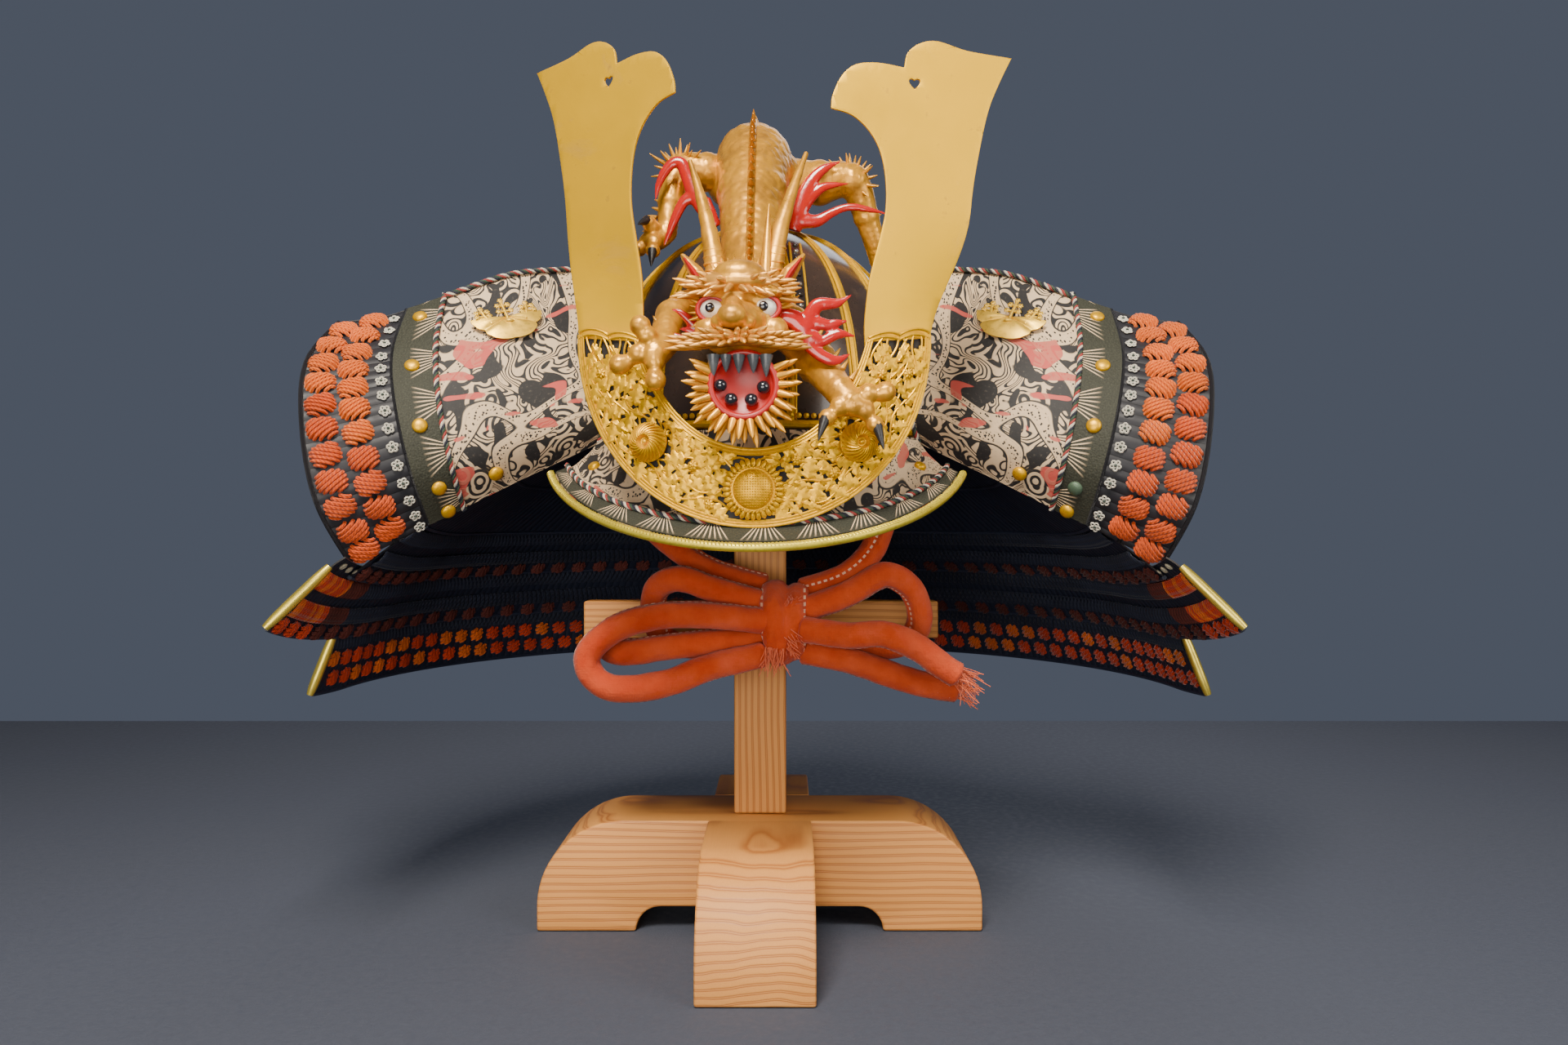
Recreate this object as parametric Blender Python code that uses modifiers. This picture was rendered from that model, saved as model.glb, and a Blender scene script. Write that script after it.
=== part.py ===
"""Kabuto with a gilt sheet-metal crest and a carved dragon, on a plain wooden stand.

+X is the viewer's right, -Y the front and +Z up, in metres. Every piece hangs from one empty
that centres the whole object over the origin. Lengths are the named values below, and a table
holds shares of them.
"""
import math

import bmesh
import bpy
from mathutils import Matrix, Vector

GAP = 0.0003
SEAT = 0.0005

# Stand
FOOT_LENGTH = 0.301
FOOT_WIDTH = 0.070
FOOT_HEIGHT = 0.0746
FOOT_ROUND = 0.058
ARCH_LENGTH = 0.167
ARCH_HEIGHT = 0.0165
POST_SIDE = 0.036
BAR_LENGTH = 0.254
BAR_HEIGHT = 0.0265
BAR_DEPTH = 0.018
BAR_TOP = 0.2196
BLOCK_RADIUS = 0.046
BLOCK_HEIGHT = 0.022
BLOCK_PLAY = 0.0013
EDGE_BEVEL = 0.0018

# Bowl
BOWL_HALF_WIDTH = 0.109
BOWL_HALF_LENGTH = 0.120
BOWL_RISE = 0.142
BOWL_BASE = 0.335
BOWL_SKIRT = 0.012
BOWL_ROUNDNESS = 2.3
BOWL_WALL = 0.0025
CROWN_RADIUS = 0.024
RIB_COUNT = 16
RIB_WIDTH = 0.0045
RIB_HEIGHT = 0.003
STRIP_WIDTH = 0.0085
STRIP_SPREAD = 0.029
STRIP_BED = 0.0036
STRIP_RISE = 0.0012

# Visor
VISOR_HALF_WIDTH = 0.130
VISOR_REACH = 0.140
VISOR_CENTRE_Y = -0.060
VISOR_FRONT_Z = 0.2655
VISOR_SIDE_RISE = 0.062
VISOR_WALL = 0.0025
VISOR_ANGLE = 70
RIM_RADIUS = 0.0024

# Crest base and horns
CREST_Y = -0.186
CREST_SAG = 0.0224
CREST_INNER = 0.052
CREST_OUTER = 0.0928
CREST_FLARE = 0.011
CREST_ANGLE = 98
CREST_WALL = 0.0018
CREST_HOLE = 0.0076
BOSS_RADIUS = 0.0108
ROSETTE_RADIUS = 0.0158
SIDE_BOSS_RADIUS = 0.0092
BOSS_TURN = 50
HORN_HEIGHT = 0.166
HORN_HALF_SHAFT = 0.0243
HORN_WALL = 0.0015
HORN_TONGUE = 0.008
HORN_AXIS = {"left": 0.0855, "right": 0.0950}
HORN_TWIST = {"left": 34, "right": 9}
HEART_RADIUS = 0.0034

# Dragon
DRAGON_X = -0.003
HIP_Z = 0.5135
HIP_Y = -0.046
BODY_RADIUS = 0.0250
HEAD_X = -0.0057
HEAD_Y = -0.181
HEAD_Z = 0.391
HEAD_RADIUS = 0.0235
JAW_Y = -0.2095
JAW_Z = 0.3455
JAW_RADIUS = 0.0164
LEG_RADIUS = 0.0105
TOE_RADIUS = 0.0050
FLAME_WALL = 0.004
RAY_WALL = 0.004
BROW_WALL = 0.010
MOUSTACHE_WALL = 0.0042
DRAGON_HORN_LENGTH = 0.052

# Turned-back wings and neck guard
LAME_WALL = 0.0020
LAME_OVERLAP = 0.008
LAME_END = 112
TIP_FLARE = 0.0435
TIP_LIFT = 0.018
FLARE_START = 88
FLARE_END = 120
STATION_STEP = 8
NECK_HALF_WIDTH = 0.292
NECK_HALF_LENGTH = 0.275
NECK_DROP = 0.170
NECK_TOP = 0.330
NECK_SHIFT = 0.020
WING_WALL = 0.0030
WING_CLEAR = 0.0100
WING_HEIGHT = 0.150
WING_OUT = 0.030
WING_BACK = 0.040
TRIM_RADIUS = 0.0032
LEAF_HALF_WIDTH = 0.0235
LEAF_WALL = 0.0016

# Chin cord
CORD_DIAMETER = 0.0170
KNOT_Y = -0.0375
KNOT_Z = 0.214
KNOT_X = 0.0160

SHIFT_Y = -0.0164

# Rows of the neck guard: share of the way from the bowl to the rim in width, length and drop.
LAME_EDGES = (
    # width, length, drop
    (0.000, 0.000, 0.000),
    (0.265, 0.270, 0.176),
    (0.532, 0.535, 0.370),
    (0.742, 0.755, 0.565),
    (0.908, 0.910, 0.776),
    (1.000, 1.000, 1.000),
)

# Station where each lame ends, as steps from the back.
LAME_STEPS = (14, 14, 14, 15, 12)

# Visor section: share of the reach, share of the drop.
VISOR_SECTION = ((0.0, 0.0), (0.275, 0.42), (0.60, 0.78), (1.0, 1.0))

# Wing sections by share of the fold line, and in each the out, back and up shares of the
# named wing sizes, going from the fold to the top edge.
WING_SECTIONS = (
    (0.00, (
        (0.00, 0.00, 0.00), (-0.27, -0.15, 0.13), (-0.10, 0.05, 0.32), (0.17, 0.60, 0.55),
        (0.55, 1.35, 0.85),
    )),
    (0.33, (
        (0.00, 0.00, 0.00), (0.00, -0.40, 0.15), (0.13, -0.30, 0.38), (0.27, 0.20, 0.65),
        (0.42, 0.95, 0.93),
    )),
    (0.66, (
        (0.00, 0.00, 0.00), (0.13, -0.52, 0.21), (0.45, -0.47, 0.47), (0.73, 0.03, 0.69),
        (0.81, 0.88, 0.92),
    )),
    (1.00, (
        (0.00, 0.00, 0.00), (0.40, -0.47, 0.24), (0.70, -0.42, 0.54), (0.90, 0.08, 0.80),
        (0.70, 0.93, 1.00),
    )),
)

# Horn outline from the top of the crest base: share of half the shaft's width outward of its
# axis, and share of the horn's height.
HORN_OUTLINE = (
    (-0.83, -0.05), (-0.90, 0.10), (-0.98, 0.20), (-0.99, 0.33), (-0.92, 0.48), (-1.02, 0.60),
    (-1.28, 0.68), (-1.70, 0.735), (-2.20, 0.755), (-2.16, 0.80), (-1.95, 0.865), (-1.62, 0.905),
    (-1.10, 0.915), (-0.50, 0.905), (-0.42, 0.955), (-0.12, 0.99), (0.30, 1.00), (1.00, 0.975),
    (2.05, 0.960), (1.78, 0.88), (1.50, 0.78), (1.28, 0.64), (1.10, 0.48), (0.98, 0.25),
    (0.88, 0.10), (0.80, -0.05),
)

# Back line of the dragon from the nape to the tip of the tail: y and z as steps from the hips,
# in body radii, and the radius as a share of the body's.
DRAGON_BACK = (
    (-4.30, -4.45, 0.62), (-3.45, -3.45, 0.70), (-2.50, -2.10, 0.80), (-1.50, -0.95, 0.92),
    (-0.60, -0.15, 1.02), (0.10, 0.02, 1.00), (1.00, -0.15, 0.82), (2.00, -0.55, 0.62),
    (3.10, -1.08, 0.46), (4.20, -1.62, 0.34), (5.10, -2.32, 0.26), (5.80, -3.15, 0.18),
)

# Limbs of the dragon, as steps in x, y and z from the hips or the head in radii of either, with the
# radius at each joint as a share of the leg's. Toes run from the last joint to their own ends.
LIMBS = {
    "dragon_hind_leg_right": (
        "hips",
        (
            (0.52, 0.04, -0.42, 1.60), (1.72, 0.16, -0.42, 1.30), (2.58, 0.16, -0.38, 1.05),
            (3.00, 0.40, -1.26, 0.80), (3.38, 0.72, -2.34, 0.62), (3.66, 1.12, -2.84, 0.66),
        ),
        (
            (4.24, 0.72, -3.16), (4.16, 1.60, -3.18),
        ),
    ),
    "dragon_hind_leg_left": (
        "hips",
        (
            (-0.36, -0.08, -0.42, 1.50), (-1.24, -0.36, -0.30, 1.10), (-1.94, -0.56, -0.34, 0.95),
            (-2.16, -0.80, -1.22, 0.75), (-2.24, -0.96, -2.02, 0.62), (-2.50, -1.12, -2.32, 0.62),
        ),
        (
            (-2.96, -1.28, -2.58), (-2.68, -1.36, -1.82), (-2.52, -1.60, -2.70),
        ),
    ),
    "dragon_fore_leg_left": (
        "head",
        (
            (-0.10, 1.96, 0.55, 1.10), (-1.03, 1.66, 0.47, 1.00), (-1.69, 0.64, -0.04, 0.85),
            (-1.78, -0.30, -0.85, 0.68), (-1.97, -0.64, -1.15, 0.72),
        ),
        (
            (-2.27, -0.70, -0.49), (-2.74, -0.64, -1.36), (-1.91, -0.81, -1.74),
        ),
    ),
    "dragon_fore_leg_right": (
        "head",
        (
            (0.41, 1.74, 0.38, 1.25), (1.09, 1.11, -0.26, 1.20), (1.69, 0.38, -1.15, 1.05),
            (2.20, -0.38, -1.91, 0.75), (2.50, -0.66, -2.28, 0.75),
        ),
        (
            (1.82, -0.77, -2.60), (3.22, -0.60, -1.96), (3.05, -0.68, -2.77),
        ),
    ),
}

# Flames: the y of the front face, then the outline in x and z, all as steps from the hips or the head.
FLAMES = {
    "flame_left_hip": (
        "hips", -1.38,
        (
            (-0.76, -1.74), (-1.08, -0.86), (-1.52, -0.06), (-1.96, -0.10), (-2.28, -0.62), (-2.54, -1.26),
            (-2.38, -1.30), (-2.20, -0.78), (-1.96, -0.54), (-1.76, -0.78), (-1.92, -1.54), (-2.28, -2.30),
            (-2.12, -2.30), (-1.64, -1.58), (-1.24, -2.06),
        ),
    ),
    "flame_right_hip": (
        "hips", -0.50,
        (
            (0.92, -1.90), (0.92, -1.18), (1.56, -0.46), (2.36, -0.02), (2.32, -0.18), (1.88, -0.54),
            (1.80, -0.82), (2.52, -0.54), (2.52, -0.74), (1.92, -1.06), (1.52, -1.42), (2.12, -1.50),
            (2.84, -1.22), (3.44, -1.36), (2.84, -1.42), (2.20, -1.78), (1.56, -1.98),
        ),
    ),
    "flame_right_cheek": (
        "head", -0.47,
        (
            (0.78, -0.26), (1.29, -0.17), (1.69, 0.23), (2.50, 0.30), (2.03, -0.09), (2.46, -0.47),
            (1.94, -0.38), (1.69, -0.60), (2.63, -0.74), (2.11, -0.87), (2.54, -1.28), (1.99, -1.11),
            (1.56, -0.81), (1.26, -0.64), (0.78, -0.55),
        ),
    ),
    "flame_left_cheek": (
        "head", -0.30,
        (
            (-0.78, -0.47), (-1.03, -0.32), (-1.63, -0.02), (-1.29, -0.47), (-1.80, -0.51), (-1.29, -0.77),
            (-0.86, -0.77),
        ),
    ),
}

# Routes of the chin cord, as steps from the knot in cord diameters.
CORD_ROUTES = {
    "chin_strap_left": (
        (-6.60, 0.44, 6.76), (-6.36, 0.21, 5.40), (-5.41, -0.15, 3.76), (-4.24, -0.44, 2.71),
        (-2.88, -0.56, 1.82), (-0.60, -0.38, 1.12),
    ),
    "chin_strap_right": (
        (4.72, 0.44, 6.76), (4.62, 0.21, 5.40), (4.00, -0.15, 3.76), (3.41, -0.44, 2.47),
        (2.35, -0.62, 1.53), (0.60, -0.38, 0.94),
    ),
    "bow_back_loop_left": (
        (-0.60, -1.44, 0.53), (-2.59, -1.91, 1.12), (-3.88, -2.03, 1.53), (-4.82, -1.44, 1.12),
        (-5.00, -0.62, -0.06), (-4.47, -0.21, -1.06), (-2.82, -0.09, -1.24), (-0.60, 0.03, -0.88),
    ),
    "bow_front_loop_left": (
        (-0.60, -2.10, -0.06), (-3.00, -2.94, 0.24), (-4.76, -3.09, 0.18), (-6.24, -3.09, -0.29),
        (-7.18, -3.09, -1.24), (-6.88, -3.09, -2.12), (-5.88, -3.09, -2.47), (-4.18, -2.97, -2.24),
        (-2.71, -2.68, -1.71), (-0.60, -2.12, -1.29),
    ),
    "bow_inner_loop_left": (
        (-0.60, -1.44, -0.76), (-2.71, -1.79, -0.88), (-4.47, -1.97, -1.06), (-5.82, -2.03, -1.24),
        (-6.59, -1.68, -1.12), (-6.53, -0.85, -0.65), (-5.65, -0.32, -0.12), (-3.88, -0.15, 0.06),
        (-2.41, -0.09, 0.06), (-0.60, -0.15, 0.12),
    ),
    "bow_loop_right": (
        (0.60, -1.44, 0.24), (2.47, -1.68, 0.94), (3.82, -1.68, 1.65), (4.88, -1.32, 1.12),
        (5.29, -0.85, -0.12), (4.71, -0.38, -1.06), (2.94, -0.15, -1.24), (0.60, -0.03, -0.94),
    ),
    "cord_tail_front": (
        (0.60, -2.15, -0.35), (2.35, -2.74, -0.53), (3.65, -2.97, -0.47), (4.82, -2.97, -0.88),
        (5.88, -2.97, -1.65), (6.53, -2.97, -2.06),
    ),
    "cord_tail_rear": (
        (0.60, -1.44, -1.24), (2.29, -1.68, -1.53), (3.76, -1.79, -2.00), (5.24, -1.79, -2.47),
        (6.71, -1.79, -2.71),
    ),
}

COLOURS = {
    # red, green, blue, roughness, metallic
    "cedar": (0.72, 0.47, 0.24, 0.55, 0.0),
    "black_lacquer": (0.03, 0.025, 0.03, 0.30, 0.0),
    "gilt": (0.83, 0.62, 0.20, 0.35, 1.0),
    "gilded_wood": (0.62, 0.42, 0.16, 0.45, 0.6),
    "red_lacquer": (0.62, 0.06, 0.05, 0.35, 0.0),
    "printed_leather": (0.70, 0.62, 0.50, 0.70, 0.0),
    "silk_cord": (0.80, 0.20, 0.05, 0.85, 0.0),
}


def clear_scene():
    for thing in list(bpy.data.objects):
        bpy.data.objects.remove(thing, do_unlink=True)


def collection(name):
    group = bpy.data.collections.new(name)
    bpy.context.scene.collection.children.link(group)
    return group


def material(name):
    red, green, blue, roughness, metallic = COLOURS[name]
    paint = bpy.data.materials.get(name) or bpy.data.materials.new(name)
    paint.use_nodes = True
    shader = paint.node_tree.nodes["Principled BSDF"]
    shader.inputs["Base Color"].default_value = (red, green, blue, 1.0)
    shader.inputs["Roughness"].default_value = roughness
    shader.inputs["Metallic"].default_value = metallic
    return paint


def place(name, mesh, finish, smooth=True):
    """Make one sub-part from a mesh and hang it from the root."""
    thing = bpy.data.objects.new(name, mesh)
    PARTS.objects.link(thing)
    thing.parent = ROOT
    mesh.name = name
    mesh.materials.clear()
    mesh.materials.append(material(finish))
    if smooth:
        mesh.shade_smooth()
        mesh.set_sharp_from_angle(angle=math.radians(35))
    return thing


def hide_as_cutter(thing):
    """Move a helper out of the parts, so that it only cuts or joins."""
    for group in list(thing.users_collection):
        group.objects.unlink(thing)
    CUTTERS.objects.link(thing)
    thing.parent = ROOT
    thing.hide_render = True
    thing.display_type = "WIRE"
    return thing


def mesh_of(work):
    mesh = bpy.data.meshes.new("shape")
    work.to_mesh(mesh)
    work.free()
    return mesh


def loft(rows, closed=False, cap_last=False):
    """Open surface through rows of points, all of one length."""
    work = bmesh.new()
    grid = [[work.verts.new(point) for point in row] for row in rows]
    count = len(grid[0])
    across = count if closed else count - 1
    for lower, upper in zip(grid, grid[1:]):
        for step in range(across):
            turn = (step + 1) % count
            work.faces.new((lower[step], lower[turn], upper[turn], upper[step]))
    if cap_last:
        work.faces.new(grid[-1])
    return work


def thicken(thing, wall, offset, even=True):
    """Give an open surface its wall; offset 1 grows along the normals, -1 against them."""
    shell = thing.modifiers.new("wall", "SOLIDIFY")
    shell.thickness = wall
    shell.offset = offset
    shell.use_even_offset = even
    return thing


def box(name, size, centre, finish, bevel=EDGE_BEVEL):
    work = bmesh.new()
    bmesh.ops.create_cube(work, size=1.0)
    bmesh.ops.scale(work, vec=size, verts=work.verts)
    bmesh.ops.translate(work, vec=centre, verts=work.verts)
    thing = place(name, mesh_of(work), finish)
    if bevel:
        edge = thing.modifiers.new("edges", "BEVEL")
        edge.width = bevel
        edge.segments = 1
    return thing


def cut(thing, cutter, operation="DIFFERENCE"):
    change = thing.modifiers.new(operation.lower(), "BOOLEAN")
    change.operation = operation
    change.solver = "EXACT"
    change.object = hide_as_cutter(cutter)
    return thing


def settled(thing):
    """The object's evaluated mesh as a new mesh, welded."""
    graph = bpy.context.evaluated_depsgraph_get()
    mesh = bpy.data.meshes.new_from_object(thing.evaluated_get(graph))
    work = bmesh.new()
    work.from_mesh(mesh)
    bmesh.ops.remove_doubles(work, verts=work.verts, dist=0.00001)
    bmesh.ops.recalc_face_normals(work, faces=work.faces)
    work.to_mesh(mesh)
    work.free()
    return mesh


def fuse(name, pieces, finish):
    """Join overlapping closed pieces into one body."""
    first, *rest = pieces
    for piece in rest:
        cut(first, piece, "UNION")
    bpy.context.view_layer.update()
    mesh = settled(first)
    bpy.data.objects.remove(first)
    return place(name, mesh, finish)


def grown(thing, amount, name):
    """A copy of a piece swollen by amount, to cut a seat with."""
    bpy.context.view_layer.update()
    mesh = settled(thing)
    copy = bpy.data.objects.new(name, mesh)
    PARTS.objects.link(copy)
    swell = copy.modifiers.new("swell", "DISPLACE")
    swell.strength = amount
    swell.mid_level = 0.0
    return copy


def seat(piece, *carriers):
    """Cut a piece back from what carries it, so that it sits GAP away."""
    for carrier in carriers:
        cut(piece, grown(carrier, SEAT, piece.name + "_seat_on_" + carrier.name))
    return piece


def turned(points, steps):
    """Smooth points through a list of points, by Catmull-Rom."""
    points = [Vector(point) for point in points]
    ends = [2 * points[0] - points[1]] + points + [2 * points[-1] - points[-2]]
    smooth = []
    for index in range(1, len(ends) - 2):
        before, start, stop, after = ends[index - 1:index + 3]
        for step in range(steps):
            t = step / steps
            smooth.append(
                0.5 * (2 * start + (stop - before) * t
                       + (2 * before - 5 * start + 4 * stop - after) * t * t
                       + (3 * start - before - 3 * stop + after) * t ** 3)
            )
    return smooth + [points[-1]]


def tube(name, points, radii, finish, sides=8):
    """Round bar along points, with a radius at each, made a welded mesh."""
    curve = bpy.data.curves.new(name, "CURVE")
    curve.dimensions = "3D"
    curve.bevel_depth = 1.0
    curve.bevel_resolution = (sides - 4) // 2
    curve.use_fill_caps = True
    line = curve.splines.new("POLY")
    line.points.add(len(points) - 1)
    for slot, point, radius in zip(line.points, points, radii):
        slot.co = (*point, 1.0)
        slot.radius = radius
    helper = bpy.data.objects.new(name, curve)
    PARTS.objects.link(helper)
    bpy.context.view_layer.update()
    mesh = settled(helper)
    bpy.data.objects.remove(helper)
    return place(name, mesh, finish)


def ball(name, radii, centre, finish, segments=12, rings=8):
    work = bmesh.new()
    bmesh.ops.create_uvsphere(work, u_segments=segments, v_segments=rings, radius=1.0)
    bmesh.ops.scale(work, vec=radii, verts=work.verts)
    bmesh.ops.translate(work, vec=centre, verts=work.verts)
    return place(name, mesh_of(work), finish)


def cone(name, start, end, radius, finish, tip=0.2, sides=6):
    """Spike from start to end."""
    start, end = Vector(start), Vector(end)
    run = end - start
    work = bmesh.new()
    bmesh.ops.create_cone(work, cap_ends=True, segments=sides, radius1=radius,
                          radius2=radius * tip, depth=run.length)
    turn = run.to_track_quat("Z", "Y").to_matrix().to_4x4()
    bmesh.ops.transform(work, matrix=Matrix.Translation((start + end) / 2) @ turn, verts=work.verts)
    return place(name, mesh_of(work), finish)


def flat_sheet(name, outline, holes=(), split_x=(), split_z=()):
    """Flat surface in X and Z inside an outline, split at some places so that it can be bent."""
    curve = bpy.data.curves.new(name, "CURVE")
    curve.dimensions = "2D"
    curve.fill_mode = "BOTH"
    for loop in (outline, *holes):
        line = curve.splines.new("POLY")
        line.points.add(len(loop) - 1)
        for slot, (across, up) in zip(line.points, loop):
            slot.co = (across, up, 0.0, 1.0)
        line.use_cyclic_u = True
    helper = bpy.data.objects.new(name, curve)
    PARTS.objects.link(helper)
    bpy.context.view_layer.update()
    mesh = settled(helper)
    bpy.data.objects.remove(helper)
    work = bmesh.new()
    work.from_mesh(mesh)
    bpy.data.meshes.remove(mesh)
    bmesh.ops.rotate(work, cent=(0, 0, 0), matrix=Matrix.Rotation(math.radians(90), 3, "X"),
                     verts=work.verts)
    planes = [((at, 0, 0), (1, 0, 0)) for at in split_x] + [((0, 0, at), (0, 0, 1)) for at in split_z]
    for spot, normal in planes:
        bmesh.ops.bisect_plane(work, geom=work.verts[:] + work.edges[:] + work.faces[:],
                               dist=0.00002, plane_co=spot, plane_no=normal)
    for face in work.faces:
        face.normal_update()
        if face.normal.y > 0:
            face.normal_flip()
    return work


def plate(name, work, wall, finish, bend=None):
    """Give a flat surface its bend and its wall, which grows backwards from the front face."""
    if bend:
        for vert in work.verts:
            vert.co = bend(vert.co)
    thing = place(name, mesh_of(work), finish, smooth=False)
    return thicken(thing, wall, -1, even=False)


def make_foot(name, along_x, finish="cedar"):
    """One arched foot; the other crosses it in a halved joint."""
    half = FOOT_LENGTH / 2
    corner = [
        (half - FOOT_ROUND * (1 - math.cos(math.radians(turn))),
         FOOT_HEIGHT * 0.30 + FOOT_HEIGHT * 0.70 * math.sin(math.radians(turn)))
        for turn in (0, 22.5, 45, 67.5, 90)
    ]
    arch = [
        (ARCH_LENGTH / 2 - ARCH_HEIGHT * (1 - math.cos(math.radians(turn))),
         ARCH_HEIGHT * math.sin(math.radians(turn)))
        for turn in (0, 30, 60, 90)
    ]
    right = [(half - 0.004, 0.0)] + corner
    outline = right + [(-x, z) for x, z in reversed(right)]
    outline += [(-x, z) for x, z in arch] + list(reversed(arch))
    work = flat_sheet(name, outline)
    bmesh.ops.translate(work, vec=(0, -FOOT_WIDTH / 2, 0), verts=work.verts)
    foot = plate(name, work, FOOT_WIDTH, finish)
    if not along_x:
        foot.rotation_euler = (0, 0, math.radians(90))
    middle = (FOOT_HEIGHT + ARCH_HEIGHT) / 2
    notch = (FOOT_WIDTH + 2 * GAP, FOOT_WIDTH * 1.2, FOOT_HEIGHT)
    lift = middle + FOOT_HEIGHT / 2 if along_x else middle - FOOT_HEIGHT / 2
    gap = -GAP / 2 if along_x else GAP / 2
    if not along_x:
        notch = (notch[1], notch[0], notch[2])
    cutter = box(name + "_notch", notch, (0, 0, lift + gap), finish, 0)
    cut(foot, cutter)
    edge = foot.modifiers.new("edges", "BEVEL")
    edge.width = EDGE_BEVEL
    edge.segments = 1
    edge.limit_method = "ANGLE"
    edge.angle_limit = math.radians(50)
    return foot


def make_stand():
    make_foot("stand_side_foot", True)
    make_foot("stand_long_foot", False)
    post_top = bowl_height(CROWN_RADIUS) - BOWL_WALL - GAP - BLOCK_HEIGHT
    post = box("stand_post", (POST_SIDE, POST_SIDE, post_top - FOOT_HEIGHT - 2 * GAP),
               (0, 0, (post_top + FOOT_HEIGHT) / 2), "cedar")
    middle = BAR_TOP - BAR_HEIGHT / 2
    lap = box("post_lap", (POST_SIDE * 2, BAR_DEPTH, BAR_HEIGHT + 2 * GAP),
              (0, POST_SIDE / 2, middle), "cedar", 0)
    cut(post, lap)
    box("stand_crossbar", (BAR_LENGTH, BAR_DEPTH, BAR_HEIGHT),
        (0, POST_SIDE / 2 + GAP, middle), "cedar")
    block = []
    for step in range(5):
        radius = BLOCK_RADIUS + (CROWN_RADIUS * 0.9 - BLOCK_RADIUS) * step / 4
        block.append((radius, bowl_height(radius * 1.04 + BOWL_WALL) - BOWL_WALL - BLOCK_PLAY))
    block[-1] = (CROWN_RADIUS * 0.9, post_top + BLOCK_HEIGHT)
    work = bmesh.new()
    profile = [(0.0, post_top + GAP), (BLOCK_RADIUS, post_top + GAP)] + block
    profile.append((0.0, post_top + BLOCK_HEIGHT))
    verts = [work.verts.new((x, 0, z)) for x, z in profile]
    for first, second in zip(verts, verts[1:]):
        work.edges.new((first, second))
    bmesh.ops.spin(work, geom=work.verts[:] + work.edges[:], cent=(0, 0, 0), axis=(0, 0, 1),
                   angle=math.tau, steps=16, use_merge=True)
    bmesh.ops.remove_doubles(work, verts=work.verts, dist=0.00001)
    bmesh.ops.recalc_face_normals(work, faces=work.faces)
    place("stand_head_block", mesh_of(work), "cedar")


def bowl_height(radius):
    """Height of the bowl's outer surface over its long half axis."""
    share = min(1.0, radius / BOWL_HALF_WIDTH)
    return BOWL_BASE + BOWL_RISE * (1 - share ** BOWL_ROUNDNESS) ** (1 / BOWL_ROUNDNESS)


def bowl_point(angle, climb, lift=0.0):
    """Point on the bowl: angle from the front, climb from the base to the crown in degrees."""
    power = 2 / BOWL_ROUNDNESS
    across = math.cos(math.radians(climb)) ** power if climb < 90 else 0.0
    up = math.sin(math.radians(climb)) ** power if climb > 0 else 0.0
    return Vector((
        (BOWL_HALF_WIDTH + lift) * across * math.sin(angle),
        -(BOWL_HALF_LENGTH + lift) * across * math.cos(angle),
        BOWL_BASE + (BOWL_RISE + lift) * up,
    ))


def bowl_angles():
    """Angles around the bowl: two for each rib, so that ribs and gaps share their edges."""
    half = RIB_WIDTH / 2 / BOWL_HALF_WIDTH
    angles = []
    for index in range(RIB_COUNT):
        middle = math.tau * (index + 0.5) / RIB_COUNT
        angles += [middle - half, middle + half]
    return angles


def bowl_climbs():
    top = math.degrees(math.acos((CROWN_RADIUS / BOWL_HALF_WIDTH) ** (BOWL_ROUNDNESS / 2)))
    return [top * share for share in (0.0, 0.22, 0.48, 0.74, 1.0)]


def bowl_rows(lift):
    rows = []
    skirt = []
    for angle in bowl_angles():
        point = bowl_point(angle, 0, lift)
        skirt.append(point - Vector((0, 0, BOWL_SKIRT)))
    rows.append(skirt)
    for climb in bowl_climbs():
        rows.append([bowl_point(angle, climb, lift) for angle in bowl_angles()])
    return rows


def make_bowl():
    bowl = place("bowl", mesh_of(loft(bowl_rows(0.0), closed=True, cap_last=True)), "black_lacquer")
    thicken(bowl, BOWL_WALL, -1)
    rows = bowl_rows(GAP)
    work = loft(rows, closed=True)
    work.faces.ensure_lookup_table()
    columns = 2 * RIB_COUNT
    gaps = []
    for index, face in enumerate(work.faces):
        row, column = divmod(index, columns)
        if column % 2 == 1 and 0 < row < len(rows) - 2:
            gaps.append(face)
    bmesh.ops.delete(work, geom=gaps, context="FACES")
    thicken(place("bowl_ribs", mesh_of(work), "gilt"), RIB_HEIGHT, 1)
    for side, sign in (("left", -1), ("right", 1)):
        make_front_strip("bowl_strip_" + side, sign)


def bowl_envelope(name, lift=RIB_HEIGHT + 2 * GAP):
    """Solid that fills the bowl out to its ribs or less, to cut what stands on it."""
    work = loft(bowl_rows(lift), closed=True, cap_last=True)
    bmesh.ops.holes_fill(work, edges=work.edges, sides=2 * RIB_COUNT)
    bmesh.ops.recalc_face_normals(work, faces=work.faces)
    return place(name, mesh_of(work), "black_lacquer")


def make_front_strip(name, sign):
    """Riveted strip on the front of the bowl, between two ribs."""
    rows = []
    for climb in (22, 31, 40, 48, 55):
        row = []
        for edge in (-0.5, 0.5):
            reach = sign * (STRIP_SPREAD + edge * STRIP_WIDTH) * (1.15 - climb / 200)
            angle = math.asin(reach / (bowl_point(0, climb, 0).y * -1))
            row.append(bowl_point(angle, climb, -STRIP_BED))
        rows.append(row)
    strip = thicken(place(name, mesh_of(loft(rows)), "gilt"), STRIP_BED + STRIP_RISE, sign)
    cut(strip, bowl_envelope("bowl_under_" + name, GAP))


def visor_rim(turn):
    """Point on the visor's outer edge; turn in degrees from the front."""
    angle = math.radians(turn)
    return Vector((
        VISOR_HALF_WIDTH * math.sin(angle),
        VISOR_CENTRE_Y - VISOR_REACH * math.cos(angle),
        VISOR_FRONT_Z + VISOR_SIDE_RISE * (1 - math.cos(angle)),
    ))


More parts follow.
